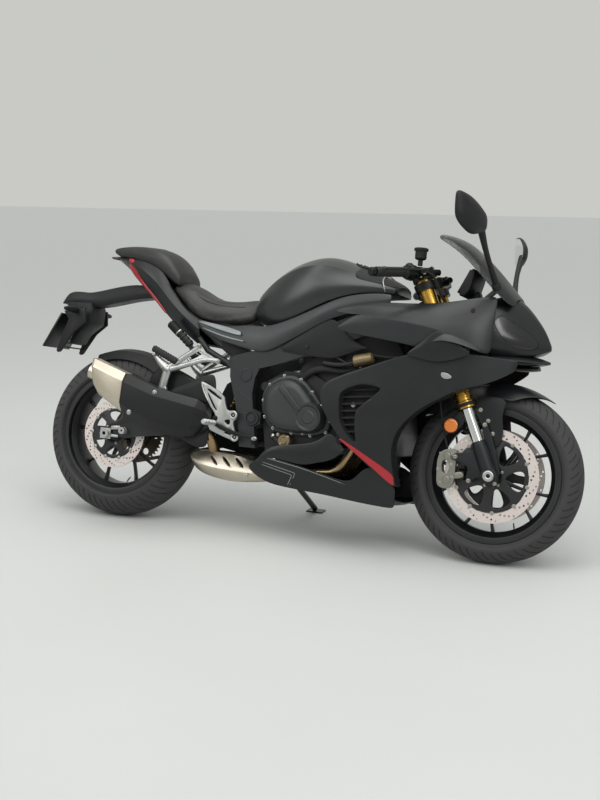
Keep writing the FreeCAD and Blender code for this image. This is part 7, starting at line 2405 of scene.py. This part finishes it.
@dataclass
class InnerPieces:
    """Dark covers between the engine, the wheels and the outer panels."""

    link: tuple = (
        (-505, 486), (-400, 528), (-312, 572), (-288, 556), (-282, 440), (-302, 350),
        (-304, 300), (-350, 296), (-397, 316), (-430, 330))
    brace: tuple = (
        (-590, 540), (-540, 592), (-457, 576), (-310, 502), (-262, 470), (-256, 400),
        (-480, 392), (-590, 470))
    side: tuple = (
        (196, 640), (210, 560), (430, 560), (424, 650), (360, 770), (262, 826), (120, 822),
        (110, 776), (190, 760))
    # outlines of flat plates, black as painted shade, and how far out they start and end
    walls: tuple = (
        ([(-190, 430), (-108, 430), (-108, 606), (-190, 606)], 56, 62),
        ([(-376, 300), (-150, 262), (-150, 575), (-292, 575), (-348, 540), (-384, 460)], -78, -72),
        ([(-286, 702), (-180, 662), (-168, 634), (-232, 634), (-286, 664)], 124, 129),
        ([(-64, 230), (330, 222), (336, 420), (-64, 420)], -64, -58))
    sump: tuple = (
        (-70, 420), (186, 420), (190, 330), (172, 284), (20, 270), (-60, 276))

    def build(self) -> None:
        """Build the link cover, the swingarm's brace, the cooler and the side linings."""
        link = cover(self.link, [(143, 1.0, 0.9), (147, 1.0, 0.9), (152, 0.9, 0.5),
                                 (153, 0.5, 0.1)])
        brace = cover(self.brace, [(98, 1.0, 0.9), (104, 1.0, 0.9), (110, 0.92, 0.5),
                                   (111, 0.5, 0.1)])
        put(join([link, brace]), "link_cover_and_brace", BARE_PLASTIC)
        bars = []
        for corners in ([(-707, 345), (-668, 348), (-668, 334), (-707, 330)],
                        [(-707, 314), (-674, 312), (-674, 303), (-707, 303)]):
            bars.append(plate(corners, -153, -146))
        bracket = join(bars)
        bevel(bracket, 1.6)
        put(mirrored(bracket), "chain_adjusters", BARE_ALLOY)
        # linings in the black of painted shade, closing the gaps between the side panels
        lining = cover(self.side, [(126, 1.0, 0.9), (130, 1.0, 0.9)])
        put(mirrored(lining), "side_linings", SHADED_INNER_PLASTIC)
        walls = [plate(outline, -end, -start) for outline, start, end in self.walls]
        for wall in walls:
            bevel(wall, 1.4)
        put(join(walls), "inner_walls", SHADED_INNER_PLASTIC)
        put(cover(self.sump, [(-56, 0.8, 0.4), (-46, 1.0, 0.6), (40, 1.0, 0.6), (52, 0.8, 0.4)]),
            "oil_sump", BLOCK_PAINT)
        self.cooler()
        self.canister()

    def cooler(self) -> None:
        """Build the low cooler behind the front wheel, bowed forward and framed."""
        rows = [[(348 + 14 * (1 - (y / 140) ** 2), y, z) for y in range(-140, 141, 40)]
                for z in (246, 300, 360, 420, 470)]
        core = sheet(rows, (1, 0, 0))
        smooth(core)
        thicken(core, 14.0)
        put(core, "cooler_core", RADIATOR_FIN)
        rims = []
        for z in (242, 474):
            rims.append(tube([(346, -144, z), (366, -60, z), (366, 60, z), (346, 144, z)], 8))
        put(join(rims), "cooler_tanks", SHADED_INNER_PLASTIC)

    def canister(self) -> None:
        """Build the bronze canister, the rods and the hose above the engine."""
        shell = turned([(0, 0), (15, 0), (21, 4), (22, 10), (22, 60), (20, 68), (12, 74),
                        (0, 74)], 40)
        moved(shell, aim((236, -150, 650), (312, -150, 668)))
        put(shell, "breather_canister", PUMP_CASE)
        rods = tube([(150, -146, 668), (190, -150, 652), (228, -152, 634)], 3.2, 8)
        hose = tube([(120, -140, 640), (180, -146, 628), (236, -150, 645)], 8.0)
        upper = tube([(306, -150, 676), (360, -150, 668), (420, -150, 676)], 5.0, 10)
        put(mirrored(join([rods, hose, upper])), "breather_hoses", RUBBER)


ASSEMBLIES: tuple = (Tank, SideCovers, Fairing, Nose, Screen, Belly, Engine, Exhaust, Seats, Tail,
                     Wheel, RearWheel, Fork, Footrests, Suspension, InnerPieces, Cockpit, Mirrors)


# ---------------------------------------------------------------------------
# Studio
# ---------------------------------------------------------------------------
@dataclass
class Studio:
    """A wide pale floor in a pale room, soft lamps overhead and the camera."""

    floor_colour: str = "#c3c4c0"
    fill_colour: str = "#dfe3e6"
    fill_strength: float = 0.55
    room_colour: str = "#c9cac5"
    room_strength: float = 1.0
    sun_strength: float = 1.5
    sun_spread: float = 80.0
    sun_ahead: Point = (-0.15, 0.35, -1.0)
    lamps: tuple = (
        ((0.2, -0.6, 4.2), (0.0, 0.0, 0.4), 2.4, 5.0, 60.0),
        ((-2.6, -3.4, 3.2), (-0.2, 0.0, 0.5), 1.2, 3.0, 45.0),
        ((3.4, -2.4, 3.0), (0.5, 0.0, 0.5), 1.0, 2.4, 35.0))
    reach: float = 60.0
    eye: Point = (1.6474, -4.0460, 1.2512)
    yaw: float = -22.265
    pitch: float = -10.125
    roll: float = 0.704
    focal: float = 52.857

    def floor(self) -> None:
        """Lay the floor, wide enough to reach the horizon."""
        far = self.reach
        ground = sheet([[(-far, y, 0.0), (far, y, 0.0)] for y in (-far, far)], (0, 0, 1))
        ground.name = "studio_floor"
        paper = Finish("studio_paper", "", self.floor_colour, "#c7c8c4", 0.62, grain=3.0,
                       relief=Relief.MOULDED, depth=0.03, blotch=900.0)
        ground.data.materials.append(paper.build())

    def lamp(self, place: Point, target: Point, width: float, length: float,
             watts: float) -> None:
        """Hang one soft lamp.

        Args:
            place: where it hangs.
            target: the point that it faces.
            width: its width.
            length: its length.
            watts: its power.
        """
        bpy.ops.object.light_add(type="AREA", location=place)
        light = bpy.context.object
        light.data.shape = "RECTANGLE"
        light.data.size, light.data.size_y = width, length
        light.data.energy = watts
        light.rotation_euler = (Vector(target) - Vector(place)).to_track_quat("-Z", "Y").to_euler()

    def light(self) -> None:
        """Hang the ceiling panels and fill the room with even light."""
        world = bpy.data.worlds.new("room")
        bpy.context.scene.world = world
        world.use_nodes = True
        tree = world.node_tree
        tree.nodes.clear()
        path = add_node(tree, "ShaderNodeLightPath").outputs
        seen = add_node(tree, "ShaderNodeMath", {"operation": "MAXIMUM"},
                        {0: path["Is Camera Ray"], 1: path["Is Glossy Ray"]})
        seen = add_node(tree, "ShaderNodeMath", {"operation": "MAXIMUM"},
                        {0: seen.outputs[0], 1: path["Is Transmission Ray"]})
        fill = add_node(tree, "ShaderNodeBackground",
                        {"Color": linear(self.fill_colour), "Strength": self.fill_strength})
        room = add_node(tree, "ShaderNodeBackground",
                        {"Color": linear(self.room_colour), "Strength": self.room_strength})
        both = add_node(tree, "ShaderNodeMixShader", {}, {
            0: seen.outputs[0], 1: fill.outputs[0], 2: room.outputs[0]})
        add_node(tree, "ShaderNodeOutputWorld", {}, {"Surface": both.outputs[0]})
        bpy.ops.object.light_add(type="SUN", location=(0, 0, 6))
        sun = bpy.context.object
        sun.data.energy = self.sun_strength
        sun.data.angle = math.radians(self.sun_spread)
        sun.rotation_euler = Vector(self.sun_ahead).to_track_quat("-Z", "Y").to_euler()
        for lamp in self.lamps:
            self.lamp(*lamp)

    def camera(self) -> None:
        """Set up the camera at the viewing angle."""
        yaw, pitch, roll = (math.radians(a) for a in (self.yaw, self.pitch, self.roll))
        ahead = Vector((math.sin(yaw) * math.cos(pitch), math.cos(yaw) * math.cos(pitch),
                        math.sin(pitch)))
        level = Vector((math.cos(yaw), -math.sin(yaw), 0.0))
        above = level.cross(ahead)
        right = math.cos(roll) * level + math.sin(roll) * above
        up = math.cos(roll) * above - math.sin(roll) * level
        data = bpy.data.cameras.new("camera")
        data.lens = self.focal
        data.sensor_width = 36.0
        data.clip_end = 100.0
        camera = bpy.data.objects.new("camera", data)
        bpy.context.collection.objects.link(camera)
        turn = Matrix((right, up, -ahead)).transposed().to_4x4()
        camera.matrix_world = Matrix.Translation(self.eye) @ turn
        bpy.context.scene.camera = camera

    def build(self) -> None:
        """Set the whole studio."""
        self.floor()
        self.light()
        self.camera()
        bpy.context.scene.view_settings.view_transform = "Standard"


def main() -> None:
    """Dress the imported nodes, build the pieces and set the studio."""
    logging.basicConfig(level=logging.INFO, format="%(message)s")
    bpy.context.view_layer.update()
    CadNodes().dress()
    for assembly in ASSEMBLIES:
        assembly().build()
    Studio().build()


if __name__ == "__main__":
    main()
